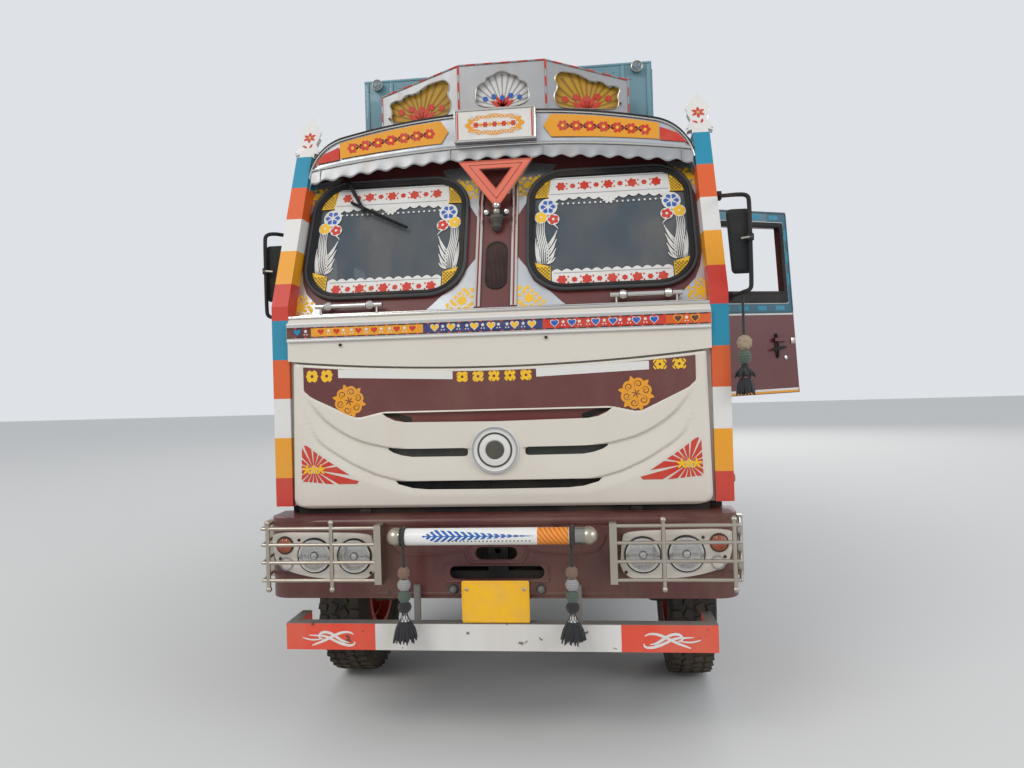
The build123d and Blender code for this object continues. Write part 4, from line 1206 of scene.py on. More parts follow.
def visor():
    # The skirt takes the darker steel_sheet as painted shade, since it faces a little downwards; the fascia
    # takes steel_bright.
    parts = [grid("fascia", 160, 10, fascia_point, steel_bright), grid("skirt", 320, 6, skirt_point, steel)]
    parts.append(grid("top_sheet", 120, 4, lambda u, v: (
        visor_x(u), VISOR_Y + (VISOR_BACK - VISOR_Y) * v, visor_top(visor_x(u)) - 0.002), steel))
    for piece in parts:
        modify(piece, "SOLIDIFY", thickness=0.002, offset=0)
    xs = [visor_x(i / 80) for i in range(81)]
    for name, out, height, drop, radius, finish in (("roll", 0.004, visor_top, 0.0, 0.009, black_plastic),
                                                    ("bright_roll", 0.012, visor_top, 0.011, 0.005, chrome),
                                                    ("fold", 0.010, visor_band, 0.0, 0.006, chrome)):
        parts.append(tube(name, [(x, VISOR_Y - out, height(x) - drop) for x in xs], radius, finish, False, 8))
    front = facing_front(VISOR_Y - 0.009)
    for side in SIDES:
        for x in (0.262, 1.02):
            seam = [(side * x, VISOR_Y - 0.016, visor_band(x)),
                    (side * x, VISOR_Y - 0.024, visor_skirt(x) + 0.004)]
            parts.append(tube("seam", seam, 0.003, steel, False, 6))
        plaque_x = [0.310 + 0.590 * i / 24 for i in range(25)]
        upper = [(x, visor_top(x) - 0.026) for x in plaque_x]
        lower = [(x, visor_band(x) + 0.034) for x in plaque_x[::-1]]
        point = [(0.268, (upper[0][1] + lower[-1][1]) / 2)]
        parts.append(flat_shape("plaque", [to_side(side, upper + lower + point)], front, 0.003, 0.002,
                                sticker_amber))
        tip_x = [0.905 + 0.150 * i / 10 for i in range(11)]
        tip = [(x, min(visor_top(x) - 0.030, 3.193 - 0.40 * (x - 0.905))) for x in tip_x]
        tip += [(x, visor_band(x) + 0.030) for x in tip_x[::-1]]
        parts.append(flat_shape("tip", [to_side(side, tip)], front, 0.003, 0.002, sticker_red))
        for i in range(7):
            x = 0.375 + i * 0.075
            middle = (visor_top(x) + visor_band(x)) / 2 + 0.003
            for shape, finish, lift in ((blossom(side * x, middle, 0.031, 6, 0.3), sticker_red, 0.0052),
                                        (circle(side * x, middle, 0.009, 12), sticker_yellow, 0.0062)):
                parts.append(flat_shape("rosette", [shape], front, lift, 0.0008, finish))
            if i < 6:
                for turn in (0.7, -0.7, math.pi - 0.7, math.pi + 0.7):
                    shape = leaf(side * (x + 0.0375), middle - 0.004, 0.024, 0.009, turn)
                    parts.append(flat_shape("leaf", [shape], front, 0.0052, 0.0008, sticker_maroon))
    return ridden(joined("visor_sheet", parts), "root", "steel_sheet", "visor")


def sign_box():
    """The blank sign box in the middle of the visor: a framed pale face with an amber lattice cartouche."""
    low, high, wide, face = 3.160, 3.345, 0.230, -0.690
    parts = [bar("case", (-wide, face, low), (wide, VISOR_Y - 0.004, high), steel, 0.004)]
    board = facing_front(face, (low + high) / 2)
    tall = (high - low) / 2
    parts.append(flat_shape("face",
                            [rounded(-wide + 0.014, -tall + 0.014, wide - 0.014, tall - 0.014, 0.006)], board,
                            0.0004, 0.002, sticker_white))
    frame_line = rounded(-wide + 0.006, -tall + 0.006, wide - 0.006, tall - 0.006, 0.008, 4)
    parts.append(edging("frame", board, frame_line, 0.003, 0.006, chrome))
    for x in (-wide + 0.022, wide - 0.022):
        parts.append(flat_shape("red_edge",
                                [rounded(x - 0.004, -tall + 0.018, x + 0.004, tall - 0.018, 0.002, 2)], board,
                                0.0026, 0.0008, sticker_red))
    outer = []
    for i in range(72):
        t = 2 * math.pi * i / 72
        swell = 1 + 0.06 * math.cos(12 * t)
        outer.append([half * swell * math.copysign(abs(way) ** 0.75, way)
                      for half, way in ((0.158, math.cos(t)), (0.056, math.sin(t)))])
    parts.append(flat_shape("cartouche", [outer], board, 0.0026, 0.0010, sticker_amber))
    inner = [(u * 0.80, v * 0.60) for u, v in outer]
    parts.append(flat_shape("panel", [inner], board, 0.0038, 0.0008, sticker_white))
    for i in range(-5, 6):
        for row in (0.042, -0.042):
            parts.append(flat_shape("loop", [circle(i * 0.025, row, radius, 12) for radius in (0.011, 0.008)],
                                    board, 0.0040, 0.0008, sticker_white))
    for i in range(-4, 5):
        shape = blossom(i * 0.026, 0.0, 0.012 if i % 2 else 0.017, 6, 0.35)
        parts.append(flat_shape("bloom", [shape], board, 0.0048, 0.0008,
                                sticker_red if i % 2 == 0 else sticker_amber))
    return ridden(joined("sign_box", parts), "root", "steel_sheet")


visor()
sign_box()


# Crown: three framed panels with cut-out windows and painted backing

CROWN_Y = -0.262
CROWN_FOLD = math.atan2(0.060, 0.500)
CROWN_EDGE_X = 0.270
CROWN_SIDE_WINDOW = ((0.330, 3.500), (0.372, 3.478), (0.560, 3.470), (0.690, 3.462), (0.712, 3.500),
                     (0.700, 3.545), (0.722, 3.590), (0.680, 3.612), (0.640, 3.606), (0.612, 3.640),
                     (0.545, 3.638), (0.500, 3.668), (0.455, 3.690), (0.400, 3.700), (0.350, 3.706),
                     (0.318, 3.660), (0.345, 3.612), (0.312, 3.560))
CROWN_MIDDLE_WINDOW = ((-0.165, 3.505), (0.165, 3.505), (0.165, 3.628), (0.135, 3.660), (0.108, 3.664),
                       (0.098, 3.695), (0.060, 3.702), (0.030, 3.722), (0.0, 3.730), (-0.030, 3.722),
                       (-0.060, 3.702), (-0.098, 3.695), (-0.108, 3.664), (-0.135, 3.660), (-0.165, 3.628))


def eased(outline):
    """A closed outline with its corners cut twice, so that it turns softly."""
    points = list(outline)
    for _ in range(2):
        cut = []
        for i, (u, v) in enumerate(points):
            a, b = points[(i + 1) % len(points)]
            cut += [(0.75 * u + 0.25 * a, 0.75 * v + 0.25 * b), (0.25 * u + 0.75 * a, 0.25 * v + 0.75 * b)]
        points = cut
    return points


def beading(name, board, corners):
    """A square bead painted red and white along the edges of a panel."""
    parts = []
    for start, end in zip(corners, corners[1:] + corners[:1]):
        run = math.hypot(end[0] - start[0], end[1] - start[1])
        count = max(1, int(run / 0.05))
        parts.append(tube("bead", [board.point(*start, 0.005), board.point(*end, 0.005)], 0.0055, steel,
                          False, 6))
        for i in range(0, count, 2):
            a, b = i / count, min(1.0, (i + 1.1) / count)
            ends = [(start[0] + (end[0] - start[0]) * t, start[1] + (end[1] - start[1]) * t) for t in (a, b)]
            parts.append(tube("dash", [board.point(*p, 0.0065) for p in ends], 0.0048, sticker_red, False, 6))
    return joined(name, parts)


def rays(centre, reach, count, low, high, width):
    shapes = []
    for i in range(count):
        angle = low + (high - low) * i / (count - 1)
        shapes.append([centre] + [(centre[0] + reach * math.cos(t), centre[1] + reach * math.sin(t))
                                  for t in (angle - width, angle + width)])
    return shapes


# The ochre behind the crown's side windows is darkened: painted shade of the recess.
ochre = flat_paint("ochre", tone(176, 136, 30), 0.5)
ochre_dark = flat_paint("ochre_dark", tone(140, 100, 22), 0.5)


def crown_panel(name, board, outline, window, ground, ray_finish, row_finish, centre):
    sheet = flat_shape(name, [outline, eased(window)], board, 0.0, 0.004, steel)
    rim = edging("rim", board, eased(window), 0.005, 0.004, old_chrome, 6)
    spread, tall = zip(*window)
    low_u, high_u = min(spread), max(spread)
    middle_u, middle_v = sum(spread) / len(spread), sum(tall) / len(tall)
    wider = [(middle_u + (u - middle_u) * 1.06, middle_v + (v - middle_v) * 1.08) for u, v in eased(window)]
    back = flat_shape("back", [wider], board, -0.024, 0.003, ground)
    parts = [sheet, rim, back, beading("beading", board, list(outline))]
    reach = max(high_u - low_u, max(tall) - min(tall)) * 0.62
    for shape in rays(centre, reach, 15, math.radians(4), math.radians(176), 0.035):
        shape = [(min(high_u + 0.01, max(low_u - 0.01, u)), min(max(tall), v)) for u, v in shape]
        parts.append(flat_shape("ray", [shape], board, -0.0205, 0.0010, ray_finish))
    for i in range(5):
        angle = math.radians(30 + 30 * i)
        shape = leaf(centre[0], centre[1], reach * 0.42, reach * 0.13, angle)
        parts.append(flat_shape("petal", [shape], board, -0.0190, 0.0010, sticker_red))
    row = []
    for i in range(5):
        u = low_u + (high_u - low_u) * (0.18 + 0.16 * i)
        row.append(blossom(u, centre[1] + reach * 0.28 + 0.012 * (i % 2), reach * 0.085, 6, 0.3, 0.4 * i))
    parts += painted("row", row, board, -0.0170, 0.0010, row_finish)
    return joined(name, parts)


def crown():
    middle = facing_front(CROWN_Y)
    outline = oblong(-0.268, visor_top(0.2) - 0.035, 0.268, 3.780)
    parts = [crown_panel("crown_middle", middle, outline, CROWN_MIDDLE_WINDOW, sticker_white, sticker_grey,
                         sticker_blue, (0, 3.515))]
    for side in SIDES:
        turn = Board((side * CROWN_EDGE_X, CROWN_Y, 0),
                     (math.cos(CROWN_FOLD), side * math.sin(CROWN_FOLD), 0), (0, 0, 1))
        stretch = 1 / math.cos(CROWN_FOLD)
        window = [(side * (u - CROWN_EDGE_X) * stretch, v) for u, v in CROWN_SIDE_WINDOW]
        edge = [(0.0, visor_top(0.27) - 0.03), (0.25, visor_top(0.52) - 0.03), (0.50, visor_top(0.77) - 0.03),
                (0.50, 3.642), (0.0, 3.778)]
        edge = to_side(side, edge)
        if side < 0:
            edge, window = edge[::-1], window[::-1]
        # The side panels' ochre ground carries painted shade of the recess.
        parts.append(crown_panel("crown_side", turn, edge, window, ochre, ochre_dark, sticker_red,
                                 (side * 0.25, 3.470)))
    for side in SIDES:
        for x, z in ((0.25, 3.60), (0.72, 3.50)):
            parts.append(tube("stay", [(side * x, CROWN_Y + 0.01, z), (side * x, BOX_LOW.y + 0.03, z)], 0.007,
                              old_chrome, False, 6))
    return ridden(joined("crown_panels", parts), "root", "steel_sheet", "crown")


crown()


# The hanging triangle and the post tips

def triangle_ornament():
    board = facing_front(-0.700)
    salmon = flat_paint("salmon_relief", SALMON, 0.3)
    corners = [(-0.203, 3.046), (0.203, 3.046), (0.0, 2.782)]
    inner = [(-0.092, 3.004), (0.092, 3.004), (0.0, 2.886)]
    plate = softened(flat_shape("triangle", [corners, inner[::-1]], board, 0.0, 0.010, salmon), 0.0025, 2, 30)
    parts = [plate]
    for line, radius in ((corners, 0.006), (inner, 0.0045)):
        parts.append(edging("edge", board, line, 0.010, radius, salmon))
    middle = [((a + c) / 2, (b + d) / 2) for (a, b), (c, d) in zip(corners, inner)]
    # A maroon line along the plate's middle stands for a groove: painted shade.
    parts.append(edging("painted_groove_shade", board, middle, 0.0105, 0.0022, sticker_maroon, 6))
    parts.append(ball("boss", (0, -0.716, 2.795), 0.022, chrome))
    parts.append(turned("collar", [(0.006, -0.012), (0.020, -0.012), (0.024, 0.0), (0.020, 0.012),
                                   (0.006, 0.012)],
                        old_chrome, (0, -0.712, 2.760), "Z", 20))
    parts.append(bar("bracket", (-0.060, -0.712, 2.742), (0.060, -0.690, 2.770), black_plastic, 0.004))
    for side in SIDES:
        parts.append(turned("bolt", [(0.001, -0.012), (0.012, -0.012), (0.014, -0.004), (0.014, 0.006),
                                     (0.001, 0.010)],
                            chrome, (side * 0.056, -0.716, 2.758), "Y", 6, 20))
    drip = [(0.001, 0.0), (0.034, 0.0), (0.040, -0.020), (0.026, -0.050), (0.030, -0.066), (0.012, -0.090),
            (0.001, -0.094)]
    parts.append(turned("pendant", drip, cast_iron, (0, -0.716, 2.742), "Z", 20))
    parts.append(bar("stay", (-0.014, -0.700, 2.748), (0.014, -0.660, 2.762), black_plastic, 0.002))
    return ridden(joined("triangle_ornament", parts), "root", "ornament_gold")


TIP_X, TIP_FOOT_Z = 1.135, 3.150


def post_tips():
    parts = []
    for side in SIDES:
        middle = side * TIP_X
        foot = Vector((0, -1.000 + RAKE * (TIP_FOOT_Z - KINK_Z), TIP_FOOT_Z))
        board = Board(foot + SCREEN_OUT * -0.030, (1, 0, 0), SCREEN_UP)
        edge = [(-0.045, 0.004), (-0.045, 0.090), (-0.076, 0.078), (-0.042, 0.150), (-0.070, 0.225),
                (0, 0.350), (0.070, 0.225), (0.042, 0.150), (0.076, 0.078), (0.045, 0.090), (0.045, 0.004)]
        shape = [(middle + u, v - 0.002) for u, v in edge]
        parts.append(softened(cleaned(flat_shape("head", [shape], board, -0.008, 0.0085, white_paint)),
                              0.0015, 2, 30))
        for turn in range(6):
            angle = turn * math.pi / 3 + math.pi / 6
            shape = leaf(middle + 0.006 * math.cos(angle), 0.190 + 0.006 * math.sin(angle), 0.034, 0.018,
                         angle)
            parts.append(flat_shape("petal", [shape], board, 0.0008, 0.0010, sticker_red))
        parts.append(flat_shape("eye", [circle(middle, 0.190, 0.007, 10)], board, 0.0020, 0.0008,
                                sticker_yellow))
        for way in SIDES:
            shape = leaf(middle + way * 0.008, 0.112, 0.034, 0.014, math.pi / 2 - way * 0.7, 0.3)
            parts.append(flat_shape("leaf", [shape], board, 0.0008, 0.0010, sticker_red))
    return ridden(joined("post_tip_paint", parts), "root", "paint_bands")


triangle_ornament()
post_tips()


# Cowl: the strip of hearts on its moulding and the washer nozzles

STRIP_BOARD = facing_front(-1.0272)
STRIP_Z = (2.077, 2.133)
STRIP_END = 1.088
HEART_RUNS = (  # ends of the ground, its colour, the hearts' and their edge's colours, and the hearts' places
    ((-STRIP_END, -0.956), sticker_maroon, sticker_cyan, sticker_navy, (-1.030,)),
    ((-0.956, -0.360), sticker_amber, sticker_red, sticker_yellow,
     (-0.903, -0.818, -0.701, -0.618, -0.498, -0.415)),
    ((-0.360, 0.256), sticker_navy, sticker_yellow, sticker_white,
     (-0.299, -0.214, -0.093, -0.007, 0.113, 0.201)),
    ((0.256, 0.868), sticker_red, sticker_blue, sticker_white, (0.316, 0.403, 0.522, 0.608, 0.724, 0.811)),
    ((0.868, STRIP_END), sticker_orange, sticker_maroon, sticker_yellow, (0.928, 1.011)),
)


def heart_strip():
    low, high = STRIP_Z
    middle = (low + high) / 2 + 0.003
    parts = []
    for (start, end), ground, colour, edge, places in HEART_RUNS:
        parts.append(flat_shape("ground", [oblong(start, low, end, high)], STRIP_BOARD, 0.0, 0.0016, ground))
        parts += painted("heart_edge", [heart(x, middle, 0.046) for x in places], STRIP_BOARD, 0.0018, 0.0005,
                         edge)
        parts += painted("heart", [heart(x, middle, 0.037) for x in places], STRIP_BOARD, 0.0026, 0.0005,
                         colour)
        tendrils = []
        gaps = [(a + b) / 2 for a, b in zip(places, places[1:])] or [places[0] + 0.045]
        for x, (a, b) in zip(gaps, list(zip(places, places[1:])) or [(0, 0)]):
            for shift in ((0.0,) if b - a < 0.1 else (-0.022, 0.022)):
                tendrils.append(blossom(x + shift, middle + 0.004, 0.0088, 5, 0.35, 0.3, 4))
                tendrils += [circle(x + shift + way * 0.007, middle - 0.013, 0.0036, 8) for way in (-1, 1)]
        parts += painted("tendril", tendrils, STRIP_BOARD, 0.0018, 0.0005, sticker_white)
    for edge in (low, high - 0.006):
        dashes = [oblong(x, edge, x + 0.040, edge + 0.006)
                  for x in (-STRIP_END + 0.0544 * i for i in range(40))]
        line = oblong(-STRIP_END, edge, STRIP_END, edge + 0.006)
        parts.append(flat_shape("line", [line], STRIP_BOARD, 0.0017, 0.0004, sticker_red))
        parts.append(flat_shape("dashes", dashes, STRIP_BOARD, 0.0022, 0.0004, sticker_black))
    for z in (2.150, 2.064):
        parts.append(tube("bead", [(x, -1.024, z) for x in (-STRIP_END, STRIP_END)], 0.007, white_paint,
                          False, 8))
    return ridden(joined("heart_strip", parts), "root", "paint_cream")


def nozzles():
    parts = []
    for x, z in ((-0.803, 2.036), (0.270, 2.038)):
        collar = [(0.006, -0.004), (0.017, -0.004), (0.017, 0.001), (0.013, 0.004), (0.007, 0.003)]
        tip = [(0.001, 0.0), (0.008, 0.0), (0.0075, 0.008), (0.004, 0.012), (0.001, 0.012)]
        parts.append(turned("collar", collar, cream_paint, (x, -1.015, z), "Y", 24))
        parts.append(turned("tip", tip, black_plastic, (x, -1.016, z), "Y", 16))
    return ridden(joined("washer_nozzles", parts), "root", "trim_black")


heart_strip()
nozzles()


# Grille flap: one moulded sheet with flowing creases, a field, slots and a boss

CREASE_A = ((0, 1.486), (0.45, 1.487), (0.562, 1.499), (0.695, 1.530), (0.770, 1.562), (0.839, 1.603),
            (0.880, 1.635), (0.915, 1.667), (0.983, 1.751), (1.075, 1.900))
CREASE_B = ((0, 1.321), (0.47, 1.322), (0.538, 1.335), (0.633, 1.362), (0.748, 1.414), (0.882, 1.497),
            (0.935, 1.540), (0.969, 1.590), (0.990, 1.660), (1.075, 1.900))
CREASE_C = ((0, 1.242), (0.46, 1.246), (0.594, 1.283), (0.747, 1.342), (0.881, 1.440), (0.960, 1.500),
            (1.014, 1.560), (1.075, 1.700))
FIELD_LOW = ((0, 1.6755), (0.590, 1.6755), (0.605, 1.671), (0.727, 1.644), (0.983, 1.765), (1.000, 1.782),
             (1.015, 1.812))
FLAP_Y = -1.0200
FLAP_FOOT, FLAP_HALF = 1.185, 1.062
BOSS_X, BOSS_Z = -0.006, 1.474


def along(points, x):
    """The height of a line of (x, z) points, the same on both sides, a little eased at its corners."""
    def straight(at):
        at = abs(at)
        for (a, p), (b, q) in zip(points, points[1:]):
            if at <= b:
                return p + (q - p) * (at - a) / (b - a)
        return points[-1][1]
    return (straight(x - 0.022) + straight(x + 0.022) + 2 * straight(x)) / 4


def eased_step(value):
    value = min(1.0, max(0.0, value))
    return value * value * (3 - 2 * value)


def flap_top(x):
    return 1.893 + 0.051 * (x / FLAP_HALF) ** 2


def flap_half(z):
    """Half the flap's width at a height, with its lower corners rounded."""
    half = FLAP_HALF + 0.0185 * (1.944 - max(z, 1.240))
    rise, corner = z - FLAP_FOOT, 0.055
    if rise < corner:
        half -= corner - math.sqrt(max(0.0, corner ** 2 - (corner - rise) ** 2))
    return half


def flap_recess(x, z):
    """How far the moulded face stands back at a point."""
    a, b, c = along(CREASE_A, x), along(CREASE_B, x), along(CREASE_C, x)
    fade = eased_step((1.040 - abs(x)) / 0.15)
    back = 0.0
    for low, high, depth in ((b, a, 0.017), (c, b, 0.014)):
        t = (z - low) / max(0.001, high - low)
        if 0 < t < 1:
            back += depth * t ** 1.3 * eased_step((high - z) / 0.010) * fade
    boss = math.hypot(x, z - BOSS_Z)
    back *= eased_step((boss - 0.125) / 0.03)
    field = eased_step((z - along(FIELD_LOW, x)) / 0.010) * eased_step((1.016 - abs(x)) / 0.008)
    return back + 0.006 * field


def flap_point(u, v):
    across = 2 * u - 1
    turn_u = eased_step((abs(across) - 0.978) / 0.022) * math.pi / 2
    turn_v = eased_step(max(0.025 - v, v - 0.985) / 0.025) * math.pi / 2
    x = across * flap_half(FLAP_FOOT + (flap_top(across) - FLAP_FOOT) * v)
    z = FLAP_FOOT + (flap_top(x) - FLAP_FOOT) * v
    edge = 0.012 * (1 - math.cos(turn_u)) + 0.012 * (1 - math.cos(turn_v))
    return (x, FLAP_Y + flap_recess(x, z) * (1 - turn_u / 1.6) + edge, z)


UPPER_SLOT = ((0.165, 1.4865), (0.450, 1.4875), (0.530, 1.4910), (0.563, 1.4935), (0.566, 1.4850),
              (0.540, 1.4680), (0.494, 1.4530), (0.440, 1.4445), (0.165, 1.4430), (0.150, 1.4490),
              (0.147, 1.4640), (0.150, 1.4800))
LOWER_SLOT = ((0.0, 1.3190), (0.490, 1.3195), (0.532, 1.3235), (0.515, 1.3050), (0.440, 1.2840),
              (0.360, 1.2765), (0.0, 1.2745), (-0.360, 1.2765), (-0.440, 1.2840), (-0.515, 1.3050),
              (-0.532, 1.3235), (-0.490, 1.3195))
SHELF = ((-0.592, 1.6740), (0.592, 1.6740), (0.566, 1.6540), (0.522, 1.6340), (0.470, 1.6250), (0.0, 1.6190),
         (-0.470, 1.6250), (-0.522, 1.6340), (-0.566, 1.6540))
FLAP_BOARD = facing_front(FLAP_Y)
FIELD_LIFT = -0.0052


def moulded_flap():
    sheet = grid("flap_sheet", 200, 130, flap_point, cream_paint)
    only(sheet)
    bpy.ops.object.mode_set(mode="EDIT")
    bpy.ops.mesh.select_all(action="DESELECT")
    bpy.ops.mesh.select_non_manifold()
    bpy.ops.mesh.extrude_region_move(TRANSFORM_OT_translate={"value": (0, 0.026, 0)})
    bpy.ops.object.mode_set(mode="OBJECT")
    modify(sheet, "SOLIDIFY", thickness=0.0025, offset=-1)
    slots = [UPPER_SLOT, to_side(-1, UPPER_SLOT[::-1]), LOWER_SLOT, SHELF]
    cutter = flat_shape("cutter", slots, FLAP_BOARD, -0.045, 0.090, cream_paint)
    cleaned(cutter)
    modify(sheet, "BOOLEAN", operation="DIFFERENCE", object=cutter, solver="EXACT")
    bpy.data.objects.remove(cutter)
    return smoothed(sheet, 42)


def reach_to(outline, centre, angle):
    """Where a ray from centre meets a closed outline."""
    best = None
    du, dv = math.cos(angle), math.sin(angle)
    for (a, b), (c, d) in zip(outline, list(outline[1:]) + [outline[0]]):
        eu, ev = c - a, d - b
        cross = du * ev - dv * eu
        if abs(cross) < 1e-9:
            continue
        t = ((a - centre[0]) * ev - (b - centre[1]) * eu) / cross
        s = ((a - centre[0]) * dv - (b - centre[1]) * du) / cross
        if t > 0 and -1e-6 <= s <= 1 + 1e-6 and (best is None or t < best):
            best = t
    return (centre[0] + du * best, centre[1] + dv * best)


def sunburst(side):
    """Red rays from a point near the corner, cut to a triangle, with a small gold bloom on it."""
    outline = [(0.700, 1.311), (0.860, 1.311), (1.030, 1.328), (1.024, 1.506), (1.010, 1.518), (0.994, 1.511),
               (0.930, 1.462), (0.800, 1.376)]
    centre = (0.962, 1.388)
    rays_red = []
    count = 17
    for i in range(count):
        start = 2 * math.pi * i / count + 0.07
        end = start + 2 * math.pi / count * 0.74
        steps = [start + (end - start) * k / 4 for k in range(5)]
        near = [(centre[0] + 0.020 * math.cos(t), centre[1] + 0.020 * math.sin(t)) for t in (end, start)]
        rays_red.append([reach_to(outline, centre, t) for t in steps] + near)
    shapes = [to_side(side, shape) for shape in rays_red]
    parts = [flat_shape("rays", shapes, FLAP_BOARD, 0.0003, 0.0010, sticker_red)]
    bloom = [leaf(centre[0] + dx, centre[1], 0.030, 0.012, math.radians(turn)) for dx in (-0.036, 0.0, 0.036)
             for turn in (20, 90, 160, 230, 310)]
    parts += painted("bloom", [to_side(side, shape) for shape in bloom], FLAP_BOARD, 0.0014, 0.0008,
                     sticker_yellow)
    return parts


def medallion(x, z, radius):
    """A round gold flower of discs and leaves with dark curls in it."""
    gold, dark = [], []
    for i in range(6):
        angle = math.pi / 3 * i + 0.3
        u, v = x + radius * 0.56 * math.cos(angle), z + radius * 0.56 * math.sin(angle)
        gold.append(circle(u, v, radius * 0.36, 20))
        dark.append(curl(u, v, radius * 0.24, angle + 0.6, 1.3, radius * 0.050, 16))
        tip = angle + math.pi / 6
        gold.append(leaf(x + radius * 0.45 * math.cos(tip), z + radius * 0.45 * math.sin(tip), radius * 0.62,
                         radius * 0.30, tip))
    gold.append(circle(x, z, radius * 0.5, 24))
    dark += [leaf(x, z, radius * 0.30, radius * 0.06, math.pi / 3 * i + 0.8) for i in range(6)]
    parts = painted("gold", gold, FLAP_BOARD, FIELD_LIFT + 0.0018, 0.0010, sticker_amber)
    return parts + painted("line", dark, FLAP_BOARD, FIELD_LIFT + 0.0030, 0.0006, sticker_maroon)


def garland(u_low, u_high, middle, tall, count):
    """A row of blooms with leaves between them, in the place of a plaque."""
    gold, dark = [], []
    pitch = (u_high - u_low) / count
    for i in range(count):
        u = u_low + pitch * (i + 0.5)
        v = middle(u)
        gold.append(blossom(u, v, tall * 0.40, 6, 0.28, 0.2 * i))
        dark.append(circle(u, v, tall * 0.10, 10))
        for way in SIDES:
            gold += [leaf(u + way * pitch * 0.34, v + up * tall * 0.10, tall * 0.36, tall * 0.13,
                          up * (math.pi / 2 + way * 0.4), up * 0.2 * way) for up in (1, -1)]
    parts = painted("bloom", gold, FLAP_BOARD, FIELD_LIFT + 0.0018, 0.0010, sticker_yellow)
    return parts + painted("eye", dark, FLAP_BOARD, FIELD_LIFT + 0.0030, 0.0006, sticker_maroon)


lip_red = paint("lip_red", tone(98, 30, 27), 0.4, 0.2)
slot_grey = rubber("slot_grey", tone(66, 68, 64), 0.3)
BOSS_FORMS = (  # name, how far back it starts, profile, finish, steps
    ("boss", 0.002, ((0.001, 0.0), (0.124, 0.0), (0.124, 0.009), (0.120, 0.014), (0.113, 0.016),
                     (0.107, 0.0135), (0.102, 0.010), (0.070, 0.0095), (0.062, 0.012), (0.052, 0.012),
                     (0.046, 0.008), (0.001, 0.008)),
     white_paint, 64),
    ("cap", -0.001, ((0.001, 0.0), (0.046, 0.0), (0.046, 0.010), (0.042, 0.0125), (0.001, 0.0135)), slot_grey,
     48),
    # The groove is a grey ring on the white boss: painted shade.
    ("painted_groove_shade", 0.0018, oblong(0.080, 0.0, 0.090, 0.0106), slot_grey, 64),
    ("ring", 0.001, ((0.108, 0.0), (0.118, 0.0), (0.118, 0.0165), (0.108, 0.0150)), sticker_grey, 64),
)


def flap():
    sheet = moulded_flap()
    xs = [1.008 - 2.016 * i / 60 for i in range(61)]
    top = [(x, flap_top(x) - 0.014) for x in xs]
    bottom = [(x, along(FIELD_LOW, x) + 0.006) for x in xs[::-1]]
    parts = [sheet, flat_shape("field", [top + bottom], FLAP_BOARD, FIELD_LIFT, 0.0014, maroon_paint)]
    for low, high, lows, highs in ((-0.820, -0.215, (1.864, 1.840), (1.914, 1.888)),
                                   (0.215, 0.780, (1.840, 1.860), (1.888, 1.909))):
        strip = [(low, lows[0]), (high, lows[1]), (high, highs[1] - 0.006), (low, highs[0] - 0.006)]
        parts.append(flat_shape("strip", [strip], FLAP_BOARD, FIELD_LIFT + 0.0016, 0.0008, white_paint))
    shelf = [(x * 1.02, z + (0.004 if z > 1.65 else -0.004)) for x, z in SHELF]
    parts.append(flat_shape("shelf", [shelf], FLAP_BOARD, -0.026, 0.002, lip_red))
    for side in SIDES:
        # A near-black wedge at each end of the shelf: painted shade in the recess.
        wedge = [(0.470, 1.6230), (0.600, 1.6740), (0.520, 1.6700), (0.440, 1.6480), (0.440, 1.6220)]
        parts.append(flat_shape("wedge", [to_side(side, wedge)], FLAP_BOARD, -0.0235, 0.002, painted_shade_black))
        parts += sunburst(side)
    # The lower slot's near-black backing is painted shade; the upper slots' backing is olive grey.
    for low, high, finish in ((1.256, 1.340, painted_shade_black), (1.425, 1.510, slot_grey)):
        parts.append(flat_shape("gauze", [rounded(-0.600, low, 0.600, high, 0.03)], FLAP_BOARD, -0.0385,
                                0.0015, finish))
    for x in (-0.764, 0.713):
        parts += medallion(x, 1.742, 0.086)
    parts += garland(-1.000, -0.842, lambda x: 1.876, 0.082, 2)
    parts += garland(-0.206, 0.204, lambda x: 1.851, 0.070, 5)
    parts += garland(0.786, 0.976, lambda x: 1.884, 0.068, 2)
    for name, back, profile, finish, steps in BOSS_FORMS:
        parts.append(turned(name, profile, finish, (BOSS_X, FLAP_Y + back, BOSS_Z), "Y", steps))
    return ridden(joined("flap_dressed", parts), "grille_flap", "paint_cream", "grille_flap")


flap()


# Bumper mouldings, lamps, tube, plate and lower bar

BUMPER_FACE = facing_front(BUMPER_FRONT)
BUMPER_CREASE = ((0.155, 0.990), (0.250, 0.962), (0.430, 0.965), (0.520, 0.985), (0.540, 1.060))
BUMPER_LINE = ((-1.120, -1.010), (-1.085, -1.082), (-0.980, -1.112), (0.0, -1.114), (0.980, -1.112),
               (1.085, -1.082), (1.120, -1.010))


def bumper_mouldings():
    parts = []
    frame_line = rounded(-0.150, 0.926, 0.150, 1.022, 0.046, 6)
    parts.append(edging("frame", BUMPER_FACE, frame_line, -0.004, 0.011, worn_maroon))
    lower = rounded(-0.262, 0.832, 0.262, 0.924, 0.018, 4)
    parts.append(edging("frame", BUMPER_FACE, lower, -0.005, 0.009, worn_maroon))
    for side in SIDES:
        crease = [BUMPER_FACE.point(side * u, v, -0.004) for u, v in BUMPER_CREASE]
        parts.append(tube("crease", crease, 0.008, worn_maroon, True, 8))
    for z, radius, sides in ((1.128, 0.027, 16), (0.770, 0.020, 12)):
        parts.append(tube("bulge", [(x, y, z) for x, y in BUMPER_LINE], radius, worn_maroon, True, sides))
    return ridden(joined("bumper_mouldings", parts), "root", "paint_maroon")


LAMPS = (  # x, height, radius
    (0.714, 0.966, 0.083), (0.920, 0.970, 0.083),
)
LAMP_PLATE = ((0.600, 0.845), (0.850, 0.850), (0.985, 0.868), (1.100, 0.905), (1.130, 0.960), (1.140, 1.050),
              (1.136, 1.086), (0.900, 1.084), (0.632, 1.078), (0.615, 1.040))


